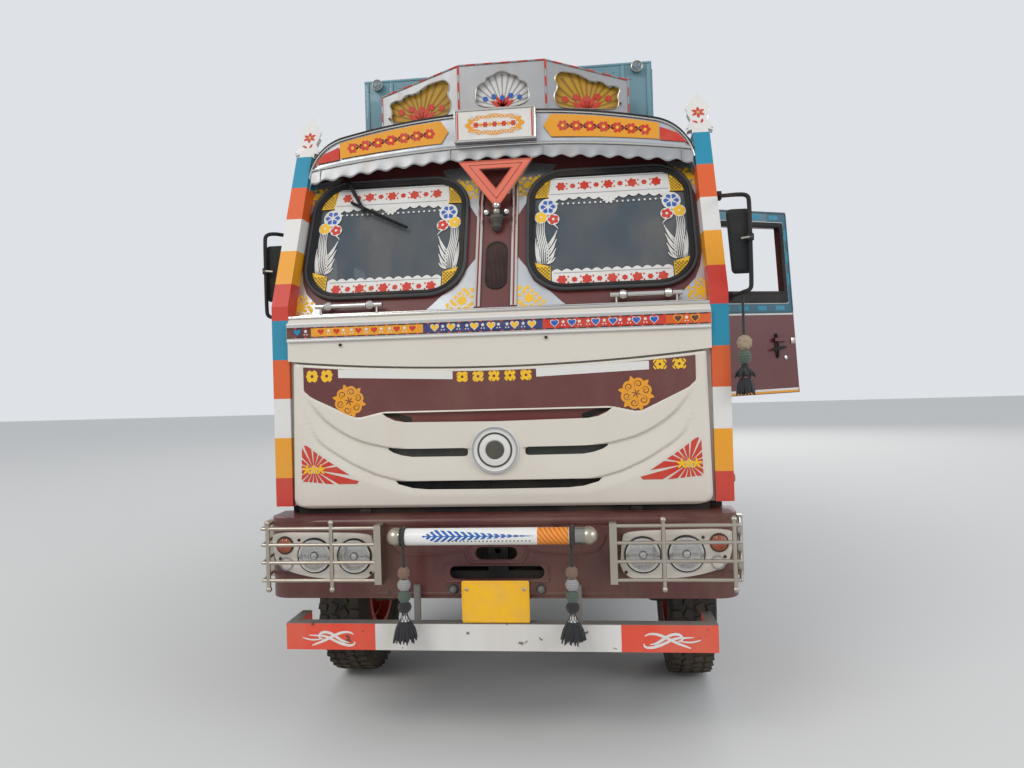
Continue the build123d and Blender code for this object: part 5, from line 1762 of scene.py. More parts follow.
def lamp_unit(side):
    outline = to_side(side, eased(LAMP_PLATE))
    plate = cleaned(flat_shape("plate", [outline], BUMPER_FACE, 0.0, 0.020, cream_paint))
    parts = [softened(plate, 0.005, 3, 50)]
    face = BUMPER_FRONT - 0.020
    for x, z, radius in LAMPS:
        centre = (side * x, face, z)
        ring = [(radius - 0.003, 0.0), (radius + 0.007, 0.0), (radius + 0.006, 0.006), (radius, 0.009),
                (radius - 0.004, 0.006)]
        bowl = [(0.001, 0.0010), (radius * 0.24, 0.0012), (radius * 0.26, 0.0036), (radius * 0.42, 0.0014),
                (radius * 0.44, 0.0052), (radius * 0.62, 0.0022), (radius * 0.64, 0.0074),
                (radius * 0.82, 0.0036), (radius * 0.84, 0.0090), (radius - 0.004, 0.0100),
                (radius - 0.001, 0.010), (radius, 0.0004), (0.001, 0.0004)]
        lens = [(0.001, 0.030), (radius * 0.35, 0.0285), (radius * 0.65, 0.0235), (radius * 0.86, 0.0165),
                (radius - 0.005, 0.010), (radius - 0.006, 0.007), (0.001, 0.007)]
        parts.append(turned("ring", ring, black_plastic, centre, "Y", 40))
        parts.append(turned("bowl", bowl, chrome, centre, "Y", 40))
        parts.append(turned("lens", lens, lamp_lens, centre, "Y", 40))
        # A near-black disc round the bulb: painted shade in the opening behind it.
        parts.append(turned("shade", [(0.001, 0.0), (0.021, 0.0), (0.021, 0.012), (0.001, 0.012)], painted_shade_black,
                            centre, "Y", 20))
        parts.append(turned("bulb", [(0.001, 0.012), (0.014, 0.012), (0.015, 0.016), (0.008, 0.019),
                                     (0.001, 0.019)],
                            chrome, centre, "Y", 16))
        for k in (-0.030, -0.015, 0.015, 0.030):
            flute = bar("flute", (-radius * 0.78, -0.0012, -0.0018 + k), (radius * 0.78, 0.0004, 0.0018 + k),
                        lamp_lens, 0.0006)
            parts.append(moved(flute, Matrix.Translation((side * x, face - 0.0240, z))))
    for x, z, radius, finish in ((1.074, 1.022, 0.040, amber_lens), (1.067, 0.928, 0.029, cream_paint)):
        centre = (side * x, face, z)
        ring = [(radius - 0.002, 0.0), (radius + 0.006, 0.0), (radius + 0.005, 0.005), (radius, 0.007),
                (radius - 0.003, 0.005)]
        dome = [(0.001, 0.018), (radius * 0.6, 0.0145), (radius - 0.002, 0.006), (radius - 0.002, 0.0),
                (0.001, 0.0)]
        if finish is cream_paint:
            dome = [(0.001, 0.004), (radius - 0.004, 0.004), (radius - 0.002, 0.001), (radius - 0.002, 0.0),
                    (0.001, 0.0)]
        parts.append(turned("ring", ring, black_plastic if finish is amber_lens else sticker_grey, centre,
                            "Y", 32))
        parts.append(turned("cover", dome, finish, centre, "Y", 32))
    for x, z in ((0.632, 0.882), (0.810, 1.046), (1.000, 1.048), (1.100, 0.955)):
        screw = [(0.001, 0.0), (0.008, 0.0), (0.008, 0.003), (0.004, 0.005), (0.001, 0.005)]
        parts.append(turned("screw", screw, black_plastic, (side * x, face, z), "Y", 12))
    return joined("lamp_unit", parts)


def tube_paint():
    """White tube paint with a blue feather, slanting amber and orange stripes and a row of dots."""
    finish = Finish("tube_paint")
    x, y, z = finish.xyz()
    height = abs(z - 1.098)
    from_tip = (x + 0.325).ramp(0.0, 0.06)
    width = from_tip * (0.215 - x).ramp(0.0, 0.60) * 0.034
    barbs = (((x + height * 1.3) * 34 + 20) % 1.0) < 0.62
    shaft = height < 0.0022
    feather = (height < width) * (x > -0.325) * (x < 0.215) * (barbs + shaft).ramp(0.0, 1.0)
    slant = (((x + z * 0.8) * 46 + 20) % 1.0) < 0.45
    stripes = (x > 0.220) * (x < 0.366)
    dots = ((x * 55 + 30) % 1.0 < 0.42) * (abs(z - 1.0745) < 0.003) * (x > -0.200) * (x < 0.200)
    colour = finish.mix(feather, tone(222, 222, 218), tone(22, 84, 160))
    colour = finish.mix(dots, colour, BLACK)
    colour = finish.mix(stripes, colour, finish.mix(slant, AMBER, ORANGE))
    plated_end = ((abs(x + 0.020) > 0.402) + (y > TUBE_Y + 0.041)).ramp(0.0, 1.0)
    colour = finish.mix(plated_end, colour, tone(150, 148, 144))
    shaded, cover, fine = soiled(finish, colour, 0.2, 0.05)
    finish.set(Base_Color=shaded, Roughness=cover * 0.3 + fine * 0.1 - plated_end * 0.1 + 0.25,
               Metallic=plated_end)
    finish.bump(finish.noise(20.0, 2.0), 0.0006, 0.4)
    return finish.material


def tube_ends():
    parts = []
    for side in SIDES:
        parts.append(ball("end", (side * 0.4580, TUBE_Y, TUBE_Z), 0.0435, old_chrome, 16))
        collar = [(0.040, -0.013), (0.0455, -0.013), (0.0465, 0.0), (0.0455, 0.013), (0.040, 0.013)]
        parts.append(turned("clamp", collar, black_plastic, (side * 0.402 - 0.020, TUBE_Y, TUBE_Z), "X", 32))
    return ridden(joined("tube_ends", parts), "root", "steel_chrome")


def number_plate():
    low, high = Vector((-0.165, -1.204, 0.652)), Vector((0.165, -1.200, 0.855))
    board = facing_front(low.y)
    yellow = flat_paint("plate_yellow", tone(236, 178, 26), 0.35, 0.25)
    outline = rounded(low.x, low.z, high.x, high.z, 0.010, 4)
    parts = [softened(cleaned(flat_shape("plate", [outline], board, -0.004, 0.005, yellow)), 0.001)]
    line = rounded(low.x + 0.007, low.z + 0.007, high.x - 0.007, high.z - 0.007, 0.008, 4)
    parts.append(edging("bead", board, line, 0.001, 0.0022, yellow, 6))
    for x, z in ((-0.140, 0.815), (0.140, 0.815)):
        head = [(0.001, 0.0), (0.009, 0.0), (0.009, 0.004), (0.005, 0.006), (0.001, 0.006)]
        parts.append(turned("bolt", head, old_chrome, (x, low.y - 0.001, z), "Y", 6, 20))
    for side in SIDES:
        base = [(0.001, 0.0), (0.024, 0.0), (0.024, 0.006), (0.018, 0.010), (0.001, 0.010)]
        dome = [(0.001, 0.034), (0.010, 0.032), (0.017, 0.024), (0.019, 0.012), (0.018, 0.008),
                (0.001, 0.008)]
        centre = (side * 0.218, -1.130, 0.797)
        parts.append(turned("base", base, black_plastic, centre, "Y", 24))
        parts.append(turned("dome", dome, lamp_lens, centre, "Y", 24))
    parts.append(bar("bracket", (-0.105, -1.196, 0.775), (0.105, -1.132, 0.825), chassis_paint, 0.004))
    return ridden(joined("plate_dressed", parts), "root", "plate_yellow", "number_plate")


def bar_paint():
    """Lower bar: grey on top, white in the middle, red at the ends, chipped."""
    finish = Finish("bar_paint")
    x, y, z = finish.xyz()
    colour = finish.mix(abs(x) > 0.598, WHITE, tone(214, 60, 38))
    colour = finish.mix(z > 0.6485, colour, tone(104, 104, 102))
    shaded, cover, fine = soiled(finish, colour, 0.35, 0.06, 0.03, tone(74, 62, 52))
    finish.set(Base_Color=shaded, Roughness=cover * 0.4 + fine * 0.15 + 0.42)
    finish.bump(finish.noise(16.0, 3.0), 0.0015, 0.6)
    return finish.material


SCROLLS = (  # lines of a scroll on the lower bar's left end
    ((0.700, 0.590), (0.730, 0.612), (0.790, 0.600), (0.850, 0.566), (0.910, 0.545), (0.930, 0.535)),
    ((0.705, 0.566), (0.700, 0.548), (0.730, 0.538), (0.790, 0.556), (0.850, 0.590), (0.900, 0.588),
     (0.970, 0.596)),
    ((0.720, 0.556), (0.760, 0.560), (0.800, 0.590), (0.850, 0.612), (0.885, 0.596), (0.880, 0.572),
     (0.840, 0.572)),
    ((0.740, 0.545), (0.790, 0.576), (0.830, 0.604), (0.860, 0.606)),
    ((0.850, 0.580), (0.900, 0.566), (0.950, 0.572), (0.985, 0.590)),
)


def flowing(line):
    """A line with each stretch cut in four and its points averaged, so that it flows."""
    dense = []
    for (a, b), (c, d) in zip(line, line[1:]):
        dense += [(a + (c - a) * t / 4, b + (d - b) * t / 4) for t in range(4)]
    groups = [dense[max(0, k - 2):k + 3] for k in range(len(dense))]
    return [tuple(sum(places) / len(group) for places in zip(*group)) for group in groups]


def bar_scrolls():
    """White brush scrolls on the red ends."""
    board = facing_front(BAR_FRONT)
    parts = []
    for side in SIDES:
        for i, line in enumerate(SCROLLS):
            shape = to_side(side, ribbon(flowing(line), 0.013 if i < 3 else 0.008))
            parts.append(flat_shape("scroll", [shape], board, 0.0003 + 0.0003 * i, 0.0006, sticker_white))
    return ridden(joined("bar_scrolls", parts), "root", "paint_white")


bumper_mouldings()
ridden(joined("lamps", [lamp_unit(side) for side in SIDES]), "root", "paint_cream", "lamp_units")
coat("nudge_tube", tube_paint())
coat("lower_bar", bar_paint())
tube_ends()
number_plate()
bar_scrolls()


# Mirrors on bent arms, roof box details, wiper

MIRRORS = (  # side, x of the arm, y of the arm, y of the foot, height of the upper foot
    (1, 1.270, -1.110, -0.950, 2.780), (-1, 1.300, -0.790, -0.900, 2.690),
)


HEAD_LOW, HEAD_HIGH, HEAD_WIDE = 2.310, 2.625, 0.117
FOOT_Z = 2.215


def mirror(side, arm_x, arm_y, foot_y, top_z):
    """A mirror head, its lower part drawn in towards the arm, on an arm bent between two feet."""
    x_post = 1.180
    top_y = foot_y + RAKE * (top_z - KINK_Z)
    route = [(x_post, top_y, top_z), (x_post + 0.030, top_y, top_z), (arm_x - 0.040, arm_y + 0.030, 2.694),
             (arm_x - 0.004, arm_y, 2.680), (arm_x, arm_y, 2.640), (arm_x, arm_y, 2.500),
             (arm_x, arm_y, 2.265), (arm_x - 0.004, arm_y, 2.226), (arm_x - 0.040, arm_y + 0.010, 2.216),
             (x_post + 0.030, foot_y, FOOT_Z), (x_post, foot_y, FOOT_Z)]
    parts = [tube("arm", [(side * x, y, z) for x, y, z in route], 0.0105, black_plastic, True, 12)]
    for y, z in ((top_y, top_z), (foot_y, FOOT_Z)):
        parts.append(bar("foot", (side * x_post, y - 0.022, z - 0.022),
                         (side * (x_post + 0.030), y + 0.022, z + 0.022), black_plastic, 0.005, 3))
    near, far = sorted((side * (arm_x - 0.105), side * (arm_x + 0.012)))
    middle = Vector(((near + far) / 2, arm_y + 0.039, (HEAD_LOW + HEAD_HIGH) / 2))
    tall = HEAD_HIGH - HEAD_LOW
    shell = bar("shell", (near, arm_y + 0.008, HEAD_LOW), (far, arm_y + 0.066, HEAD_HIGH), black_plastic,
                0.024, 5)
    glass = bar("glass", (near + 0.009, arm_y + 0.0655, 2.322), (far - 0.009, arm_y + 0.0690, 2.613),
                mirror_glass, 0.0015)
    for piece in (shell, glass):
        for vertex in piece.data.vertices:
            inward = (far - vertex.co.x if side > 0 else vertex.co.x - near) / HEAD_WIDE
            vertex.co.x += side * 0.022 * inward * (HEAD_HIGH - vertex.co.z) / tall
    for vertex in shell.data.vertices:
        if vertex.co.y < middle.y:
            across = (vertex.co.x - middle.x) / (HEAD_WIDE / 2)
            up = (vertex.co.z - middle.z) / (tall / 2)
            vertex.co.y += 0.012 * (across ** 2 * 0.5 + up ** 4 * 0.5)
    parts += [shell, glass]
    parts.append(tube("bolt", [(side * (arm_x - 0.046), arm_y - 0.011, 2.472),
                               (side * (arm_x + 0.006), arm_y - 0.012, 2.478)],
                      0.006, old_chrome, False, 8))
    clamp = [(0.0100, -0.016), (0.017, -0.016), (0.018, 0.0), (0.017, 0.016), (0.0100, 0.016)]
    parts.append(turned("clamp", clamp, black_plastic, (side * arm_x, arm_y, 2.478), "Z", 20))
    parts.append(bar("lug", (side * arm_x - 0.010, arm_y, 2.466),
                     (side * arm_x + 0.010, arm_y + 0.020, 2.490), black_plastic, 0.003))
    return joined("mirror", parts)


mirror_glass = plated("mirror_glass", tone(150, 158, 164), 0.05, 0.1, 0.0)
ridden(joined("mirrors_dressed", [mirror(*row) for row in MIRRORS]), "root", "trim_black", "mirrors")


def wiper():
    """Arm, blade holder and rubber, lying on the right windscreen."""
    pivot_u, pivot_v = -0.880, up_screen(3.000)
    pivot = SCREEN_BOARD.point(pivot_u, pivot_v, 0.024)
    elbow = SCREEN_BOARD.point(-0.762, up_screen(2.797), 0.034)
    parts = [tube("arm", [pivot, (pivot + elbow) / 2 + SCREEN_OUT * 0.004, elbow], 0.0105, black_plastic,
                  True, 8, taper=(1.3, 1.0, 0.8))]
    ends = [(-0.848, 2.868), (-0.508, 2.692)]
    line = [SCREEN_BOARD.point(ends[0][0] + (ends[1][0] - ends[0][0]) * t,
                               up_screen(ends[0][1] + (ends[1][1] - ends[0][1]) * t),
                               0.0225 - 0.003 * math.sin(math.pi * t))
            for t in (0.0, 0.2, 0.4, 0.6, 0.8, 1.0)]
    parts.append(tube("rubber", line, 0.0085, gasket_rubber, True, 8))
    bridge = [point + SCREEN_OUT * 0.008 for point in line]
    for i, j in ((0, 2), (3, 5), (1, 4)):
        rise = SCREEN_OUT * (0.004 if (i, j) != (1, 4) else 0.009)
        parts.append(tube("bridge", [bridge[i], (bridge[i] + bridge[j]) / 2 + rise, bridge[j]], 0.0062,
                          black_plastic, True, 6))
    cap = [(0.001, -0.004), (0.021, -0.004), (0.022, 0.010), (0.014, 0.020), (0.001, 0.022)]
    parts.append(moved(turned("cap", cap, black_plastic, (0, 0, 0), "Z", 24),
                       Matrix.Translation(SCREEN_BOARD.point(pivot_u, pivot_v, 0.006))
                       @ SCREEN_BOARD.matrix().to_3x3().to_4x4()))
    return ridden(joined("wiper_dressed", parts), "root", "trim_black", "wiper")


wiper()


def roof_box_details():
    """Rolled rims, side beads, rivets, round lamps and a slatted front."""
    parts = []
    low, high = BOX_LOW + Vector((0, 0.030, 0)), BOX_HIGH
    top = high.z - 0.006
    corners = [(low.x + 0.005, low.y, top), (high.x - 0.005, low.y, top),
               (high.x - 0.005, high.y - 0.005, top), (low.x + 0.005, high.y - 0.005, top)]
    parts.append(tube("rim", corners, 0.0085, box_paint, False, 8, True))
    for side in SIDES:
        for x in (0.905, 0.745):
            parts.append(bar("stile", (side * x - 0.012, -0.058, 3.300), (side * x + 0.012, -0.049, 3.800),
                             box_paint, 0.003))
        for y in (0.02, 0.22, 0.43, 0.63):
            parts.append(bar("rib", (side * 0.925, y - 0.014, 3.230), (side * 0.935, y + 0.014, 3.790),
                             box_paint, 0.003))
        centre = (side * 0.832, -0.080, 3.777)
        parts.append(turned("lens", [(0.001, 0.020), (0.016, 0.017), (0.028, 0.008), (0.032, 0.0),
                                     (0.001, 0.0)], lamp_lens,
                            centre, "Y", 24))
        parts.append(turned("ring", [(0.029, 0.0), (0.0355, 0.0), (0.0355, 0.006), (0.031, 0.008),
                                     (0.029, 0.006)],
                            old_chrome, centre, "Y", 24))
    rivet = [(0.001, 0.0), (0.007, 0.0), (0.0055, 0.003), (0.001, 0.0042)]
    for i in range(11):
        parts.append(turned("rivet", rivet, box_paint, (-0.86 + 0.172 * i, -0.050, 3.760), "Y", 10))
    for x in (-0.80, 0.0, 0.80):
        parts.append(bar("rail", (x - 0.010, 0.702, 3.240), (x + 0.010, 0.712, 3.800), box_paint, 0.003))
    return ridden(joined("roof_box_details", parts), "root", "paint_grey_blue")


roof_box_details()


# Doors: trim drawn on the closed door, then turned to where the door stands

HINGE_LEAN = math.radians(2.7)
SKIN_X = 1.150
DOOR_TURNS = {"left": (1, 62.0), "right": (-1, 0.0)}
teal_paint = paint("teal_paint", TEAL, 0.4, 0.18, 0.05)


def door_place(side, turn):
    """The turn from a closed door to where it stands, about its leaning hinge line."""
    pivot = Vector((side * SKIN_X, -0.550, 2.230))
    lean = Vector((0, math.sin(HINGE_LEAN), math.cos(HINGE_LEAN)))
    return Matrix.Translation(pivot) @ Matrix.Rotation(math.radians(-side * turn), 4,
                                                       lean) @ Matrix.Translation(-pivot)


def door_trim(name):
    side, turn = DOOR_TURNS[name]
    skin = facing_left(SKIN_X)
    opening = rounded(-0.480, 2.290, -0.010, 2.668, 0.012, 4)
    outer = rounded(-0.544, 2.170, 0.044, 2.752, 0.012, 4)
    parts = [flat_shape("frame", [outer, opening], skin, 0.0, 0.0025, teal_paint)]
    parts.append(edging("frame_edge", skin, outer, 0.002, 0.0045, teal_paint, 6))
    inset = rounded(-0.486, 2.284, -0.004, 2.674, 0.014, 4)
    parts.append(edging("seal", skin, inset, 0.001, 0.010, gasket_rubber))
    edge = rounded(-0.519, 2.220, 0.019, 2.699, 0.012, 4)
    inner = rounded(-0.515, 2.224, 0.015, 2.695, 0.012, 4)
    parts.append(flat_shape("white_line", [edge, inner], skin, 0.0027, 0.0010, sticker_white))
    parts.append(flat_shape("black_frame", [inner, inset], skin, 0.0026, 0.0045, black_plastic))
    patches = [oblong(-0.470 + 0.130 * i, v, -0.405 + 0.130 * i, v + 0.026) for i in range(4)
               for v in (2.712, 2.183)]
    patches += [oblong(0.024, 2.330 + 0.130 * i, 0.038, 2.395 + 0.130 * i) for i in range(3)]
    parts.append(flat_shape("patches", patches, skin, 0.0024, 0.0008, sticker_cyan))
    for low, high, finish in ((2.156, 2.168, sticker_white), (1.716, 1.728, sticker_white),
                              (1.704, 1.716, sticker_amber)):
        parts.append(flat_shape("line", [rounded(-0.544, low, 0.044, high, 0.004, 2)], skin, 0.0, 0.0012,
                                finish))
    latch = [skin.point(-0.094, v, lift) for v,
             lift in ((2.044, 0.004), (2.034, 0.013), (1.918, 0.013), (1.908, 0.004))]
    parts.append(tube("latch_bar", latch, 0.0070, black_plastic, True, 8))
    grasp = ((-0.140, 1.954, 0.020), (-0.110, 1.958, 0.021), (-0.060, 1.964, 0.020), (-0.030, 1.966, 0.004))
    parts.append(tube("handle", [skin.point(*place) for place in grasp], 0.0075, black_plastic, True, 10,
                      taper=(0.8, 1.2, 1.1, 0.9)))
    parts.append(bar("keeper", (1.150, 0.012, 1.985), (1.156, 0.046, 2.020), old_chrome, 0.0015))
    parts.append(turned("lock", [(0.001, -0.002), (0.011, -0.002), (0.011, 0.004), (0.001, 0.006)], chrome,
                        (1.1515, -0.034, 1.905), "X", 16))
    for z in (1.800, 2.180, 2.640):
        knuckle = [(0.001, -0.038), (0.0052, -0.038), (0.0052, 0.038), (0.001, 0.038)]
        parts.append(turned("hinge", knuckle, black_plastic, (1.1560, -0.5440, z), "Z", 12))
        parts.append(bar("strap", (1.1500, -0.5400, z - 0.016), (1.1550, -0.4950, z + 0.016), black_plastic,
                         0.0015))
    inside = Board((1.110, 0, 0), (0, -1, 0), (0, 0, 1))
    lining = rounded(-0.030, 1.730, 0.530, 2.250, 0.030, 5)
    parts.append(softened(cleaned(flat_shape("lining", [lining], inside, 0.0, 0.004, door_lining)), 0.0015))
    pull = ((0.140, 0.004), (0.150, 0.028), (0.270, 0.030), (0.390, 0.028), (0.400, 0.004))
    parts.append(tube("pull", [inside.point(u, 2.100, lift) for u, lift in pull], 0.008, black_plastic, True,
                      8))
    whole = joined(f"door_trim_{name}", parts)
    if side < 0:
        moved(whole, MIRROR_X)
    return ridden(moved(whole, door_place(side, turn)), f"door_{name}", "paint_maroon")


door_lining = leathercloth("door_lining", tone(92, 88, 82), tone(52, 50, 48))
for door_name in DOOR_TURNS:
    door_trim(door_name)


# Cab sides

def garland_run(board, start, end, height, finishes, tall=0.050):
    """A painted border of blooms and leaves along a board between two places."""
    ground, bloom_finish, eye_finish, leaf_finish = finishes
    parts = [flat_shape("ground", [oblong(start, height - tall / 2, end, height + tall / 2)], board, 0.0002,
                        0.0010, ground)]
    count = max(1, round((end - start) / (tall * 1.5)))
    pitch = (end - start) / count
    blooms, eyes, beads = [], [], []
    for i in range(count):
        u = start + pitch * (i + 0.5)
        blooms.append(blossom(u, height, tall * 0.34, 5, 0.3, 0.4 * i))
        eyes.append(circle(u, height, tall * 0.10, 8))
        if i < count - 1:
            beads += [circle(u + pitch * 0.5, height + way * tall * 0.24, tall * 0.065, 8)
                      for way in (-1, 0, 1)]
    parts += painted("bloom", blooms, board, 0.0014, 0.0006, bloom_finish)
    parts += painted("eye", eyes, board, 0.0024, 0.0005, eye_finish)
    if beads:
        parts.append(flat_shape("bead", beads, board, 0.0014, 0.0006, leaf_finish))
    return parts


def cab_side_trim():
    """Drip rail, step lines, borders and vents on one side, mirrored for the other."""
    skin = facing_left(SKIN_X)
    parts = [tube("drip", [(1.153, -0.545, 2.992), (1.158, 0.770, 2.992)], 0.010, steel, False, 8)]
    for low, high, finish in ((1.214, 1.252, sticker_red), (1.252, 1.268, sticker_white),
                              (1.268, 1.284, sticker_amber)):
        parts.append(flat_shape("line", [oblong(-0.875, low, 0.775, high)], skin, 0.0002, 0.0010, finish))
    parts += garland_run(skin, 0.100, 0.770, 2.180,
                         (sticker_navy, sticker_yellow, sticker_red, sticker_white), 0.060)
    parts += garland_run(skin, -0.870, 0.770, 1.620,
                         (sticker_red, sticker_white, sticker_blue, sticker_yellow), 0.060)
    for i in range(7):
        z = 1.350 + 0.030 * i
        parts.append(tube("louvre", [(1.149, -0.840, z), (1.153, -0.830, z), (1.153, -0.620, z),
                                     (1.149, -0.610, z)],
                          0.0055, maroon_paint, False, 6))
    u_low, v_low, u_high, v_high = 0.200, 2.300, 0.620, 2.680
    line = rounded(u_low - 0.006, v_low - 0.006, u_high + 0.006, v_high + 0.006, 0.016, 4)
    parts.append(edging("seal", skin, line, 0.001, 0.010, gasket_rubber))
    parts += [tube("bar", [(1.140, u_low, z), (1.140, u_high, z)], 0.006, old_chrome, False, 8)
              for z in (v_low + 0.095 * k for k in (1, 2, 3))]
    quarter = [(-0.790, 2.290), (-0.610, 2.290), (-0.610, 2.640), (-0.640, 2.640)]
    parts.append(edging("seal", skin, quarter, 0.001, 0.008, gasket_rubber))
    spray_u, spray_v = 0.430, 1.900
    leaves = [leaf(spray_u + 0.060 * math.cos(a), spray_v + 0.060 * math.sin(a), 0.11, 0.036, a, 0.2)
              for a in (2 * math.pi * i / 10 for i in range(10))]
    parts += painted("leaves", leaves, skin, 0.0004, 0.0007, sticker_cyan)
    for shape, lift, finish in ((blossom(spray_u, spray_v, 0.078, 9, 0.25), 0.0018, sticker_white),
                                (blossom(spray_u, spray_v, 0.050, 7, 0.3), 0.0028, sticker_red),
                                (circle(spray_u, spray_v, 0.018, 16), 0.0038, sticker_yellow)):
        parts.append(flat_shape("bloom", [shape], skin, lift, 0.0007, finish))
    parts.append(turned("lamp", [(0.001, 0.014), (0.020, 0.012), (0.027, 0.004), (0.028, 0.0), (0.001, 0.0)],
                        amber_lens, (1.180, -0.950, 1.305), "X", 20))
    return joined("cab_side_trim_left", parts)


left_side = cab_side_trim()
right_side = copied(left_side, "cab_side_trim_right", MIRROR_X)
for piece in (left_side, right_side):
    ridden(piece, "root", "paint_maroon")


# Load body: ribs, borders and painted fields on the sides and the tailgate

POST_PITCH = 0.710
BAYS = 9
POST_X, PANEL_X = 1.220, 1.180
ROSETTES = (  # finishes of a rosette's leaves, outer petals, inner petals and eye
    (sticker_yellow, sticker_white, sticker_red, sticker_yellow),
    (sticker_white, sticker_orange, sticker_yellow, sticker_red),
    (sticker_cyan, sticker_yellow, sticker_white, sticker_red),
)


def rosette(board, u, v, radius, finishes, petals=10):
    """A big painted flower: leaves, two rings of petals and an eye."""
    leaf_finish, outer_finish, inner_finish, eye_finish = finishes
    leaves = [leaf(u + radius * 0.55 * math.cos(a), v + radius * 0.55 * math.sin(a), radius * 0.62,
                   radius * 0.26, a, 0.2)
              for a in (2 * math.pi * i / petals for i in range(petals))]
    parts = painted("leaves", leaves, board, 0.0004, 0.0007, leaf_finish)
    parts.append(flat_shape("petals", [blossom(u, v, radius * 0.62, petals, 0.22)], board, 0.0020, 0.0007,
                            outer_finish))
    parts.append(flat_shape("petals", [blossom(u, v, radius * 0.40, 7, 0.28)], board, 0.0030, 0.0007,
                            inner_finish))
    parts.append(flat_shape("eye", [circle(u, v, radius * 0.15, 16)], board, 0.0040, 0.0007, eye_finish))
    return parts


def framed(board, low, high, width, lift, finish):
    """A painted line round a field."""
    (a, b), (c, d) = low, high
    outer = rounded(a, b, c, d, 0.030, 4)
    inner = rounded(a + width, b + width, c - width, d - width, 0.022, 4)
    return flat_shape("field_line", [outer, inner], board, lift, 0.0008, finish)


def body_bay(index):
    """One bay between two posts of the left side."""
    skin = facing_left(PANEL_X)
    start = 0.960 + POST_PITCH * index
    end = start + 0.650
    middle = (start + end) / 2
    parts = []
    for z in (1.420, 1.480, 2.740, 2.800):
        parts.append(bar("rib", (PANEL_X - 0.002, start, z - 0.014), (PANEL_X + 0.016, end, z + 0.014),
                         body_paint, 0.006, 3))
    for u in (start + 0.045, end - 0.045):
        parts.append(tube("pressing", [skin.point(u, 1.560, 0.0), skin.point(u, 2.660, 0.0)], 0.009,
                          body_paint, False, 8))
    parts += garland_run(skin, start + 0.02, end - 0.02, 2.925,
                         (sticker_red, sticker_yellow, sticker_blue, sticker_white), 0.130)
    wedges_low, wedges_high = [], []
    for i in range(6):
        u = start + 0.025 + 0.100 * i
        wedges_low.append([(u, 1.150), (u + 0.098, 1.150), (u + 0.049, 1.265)])
        wedges_high.append([(u, 1.385), (u + 0.049, 1.270), (u + 0.098, 1.385)])
    parts.append(flat_shape("wedges", wedges_low, skin, 0.0002, 0.0010, sticker_amber))
    parts.append(flat_shape("wedges", wedges_high, skin, 0.0002, 0.0010, sticker_white))
    parts += rosette(skin, middle, 2.110, 0.185, ROSETTES[index % 3])
    parts.append(framed(skin, (start + 0.085, 1.590), (end - 0.085, 2.630), 0.014, 0.0003, sticker_white))
    parts.append(framed(skin, (start + 0.110, 1.615), (end - 0.110, 2.605), 0.007, 0.0003, sticker_amber))
    sprays = []
    for way in SIDES:
        for up, height in ((1, 2.470), (-1, 1.750)):
            foot = height - up * 0.065
            for k, (lean, long) in enumerate(((0.35, 0.150), (0.85, 0.135), (1.35, 0.110))):
                sprays.append(leaf(middle + way * 0.016 * (k + 1), foot, long, 0.034,
                                   math.pi / 2 * up - way * up * lean, -0.5 * way * up))
    parts += painted("sprays", sprays, skin, 0.0004, 0.0007, sticker_white)
    buds = [blossom(middle, height, 0.030, 6, 0.3) for height in (2.412, 1.808)]
    parts.append(flat_shape("buds", buds, skin, 0.0016, 0.0007, sticker_orange))
    return parts


def body_side():
    parts = []
    for index in range(BAYS):
        parts += body_bay(index)
    posts = facing_left(POST_X)
    strips = [oblong(0.904 + POST_PITCH * i, 1.130, 0.956 + POST_PITCH * i, 3.045) for i in range(BAYS + 1)]
    parts.append(flat_shape("post_paint", strips, posts, 0.0002, 0.0010, band_paint))
    parts.append(flat_shape("rail_line", [oblong(0.905, 3.062, 7.345, 3.098)], posts, 0.0002, 0.0010,
                            sticker_white))
    dashes = [oblong(0.905 + 0.20 * i, 3.062, 0.905 + 0.20 * i + 0.10, 3.098) for i in range(32)]
    parts.append(flat_shape("rail_dash", dashes, posts, 0.0014, 0.0008, sticker_red))
    face_x = POST_X + 0.001
    bolt = [(0.001, 0.0), (0.010, 0.0), (0.0075, 0.005), (0.001, 0.007)]
    for i in range(BAYS + 1):
        for z in (1.200, 1.450, 2.770, 3.000):
            parts.append(turned("bolt", bolt, old_chrome, (face_x, 0.930 + POST_PITCH * i, z), "X", 8))
    reflector = [(0.001, 0.010), (0.024, 0.009), (0.030, 0.003), (0.030, 0.0), (0.001, 0.0)]
    for i in range(4):
        parts.append(turned("reflector", reflector, amber_lens, (face_x, 1.640 + 1.420 * i, 1.300), "X", 20))
    return joined("body_dressing_left", parts)


left_dressing = body_side()
right_dressing = copied(left_dressing, "body_dressing_right", MIRROR_X)
for piece in (left_dressing, right_dressing):
    ridden(piece, "root", "paint_body")


def inner_planks():
    """Battens and board gaps inside the load space and on the headboard."""
    parts = []
    for side in SIDES:
        for i in range(7):
            z = 1.360 + 0.260 * i
            parts.append(bar("batten", (side * 1.138, 0.970, z - 0.045), (side * 1.150, 7.280, z + 0.045),
                             planks, 0.004))
    for i in range(8):
        z = 1.260 + 0.238 * i
        parts.append(bar("board", (-1.135, 0.8925, z - 0.105), (1.135, 0.9005, z + 0.105), planks, 0.004))
    return ridden(joined("inner_planks", parts), "root", "timber")


inner_planks()


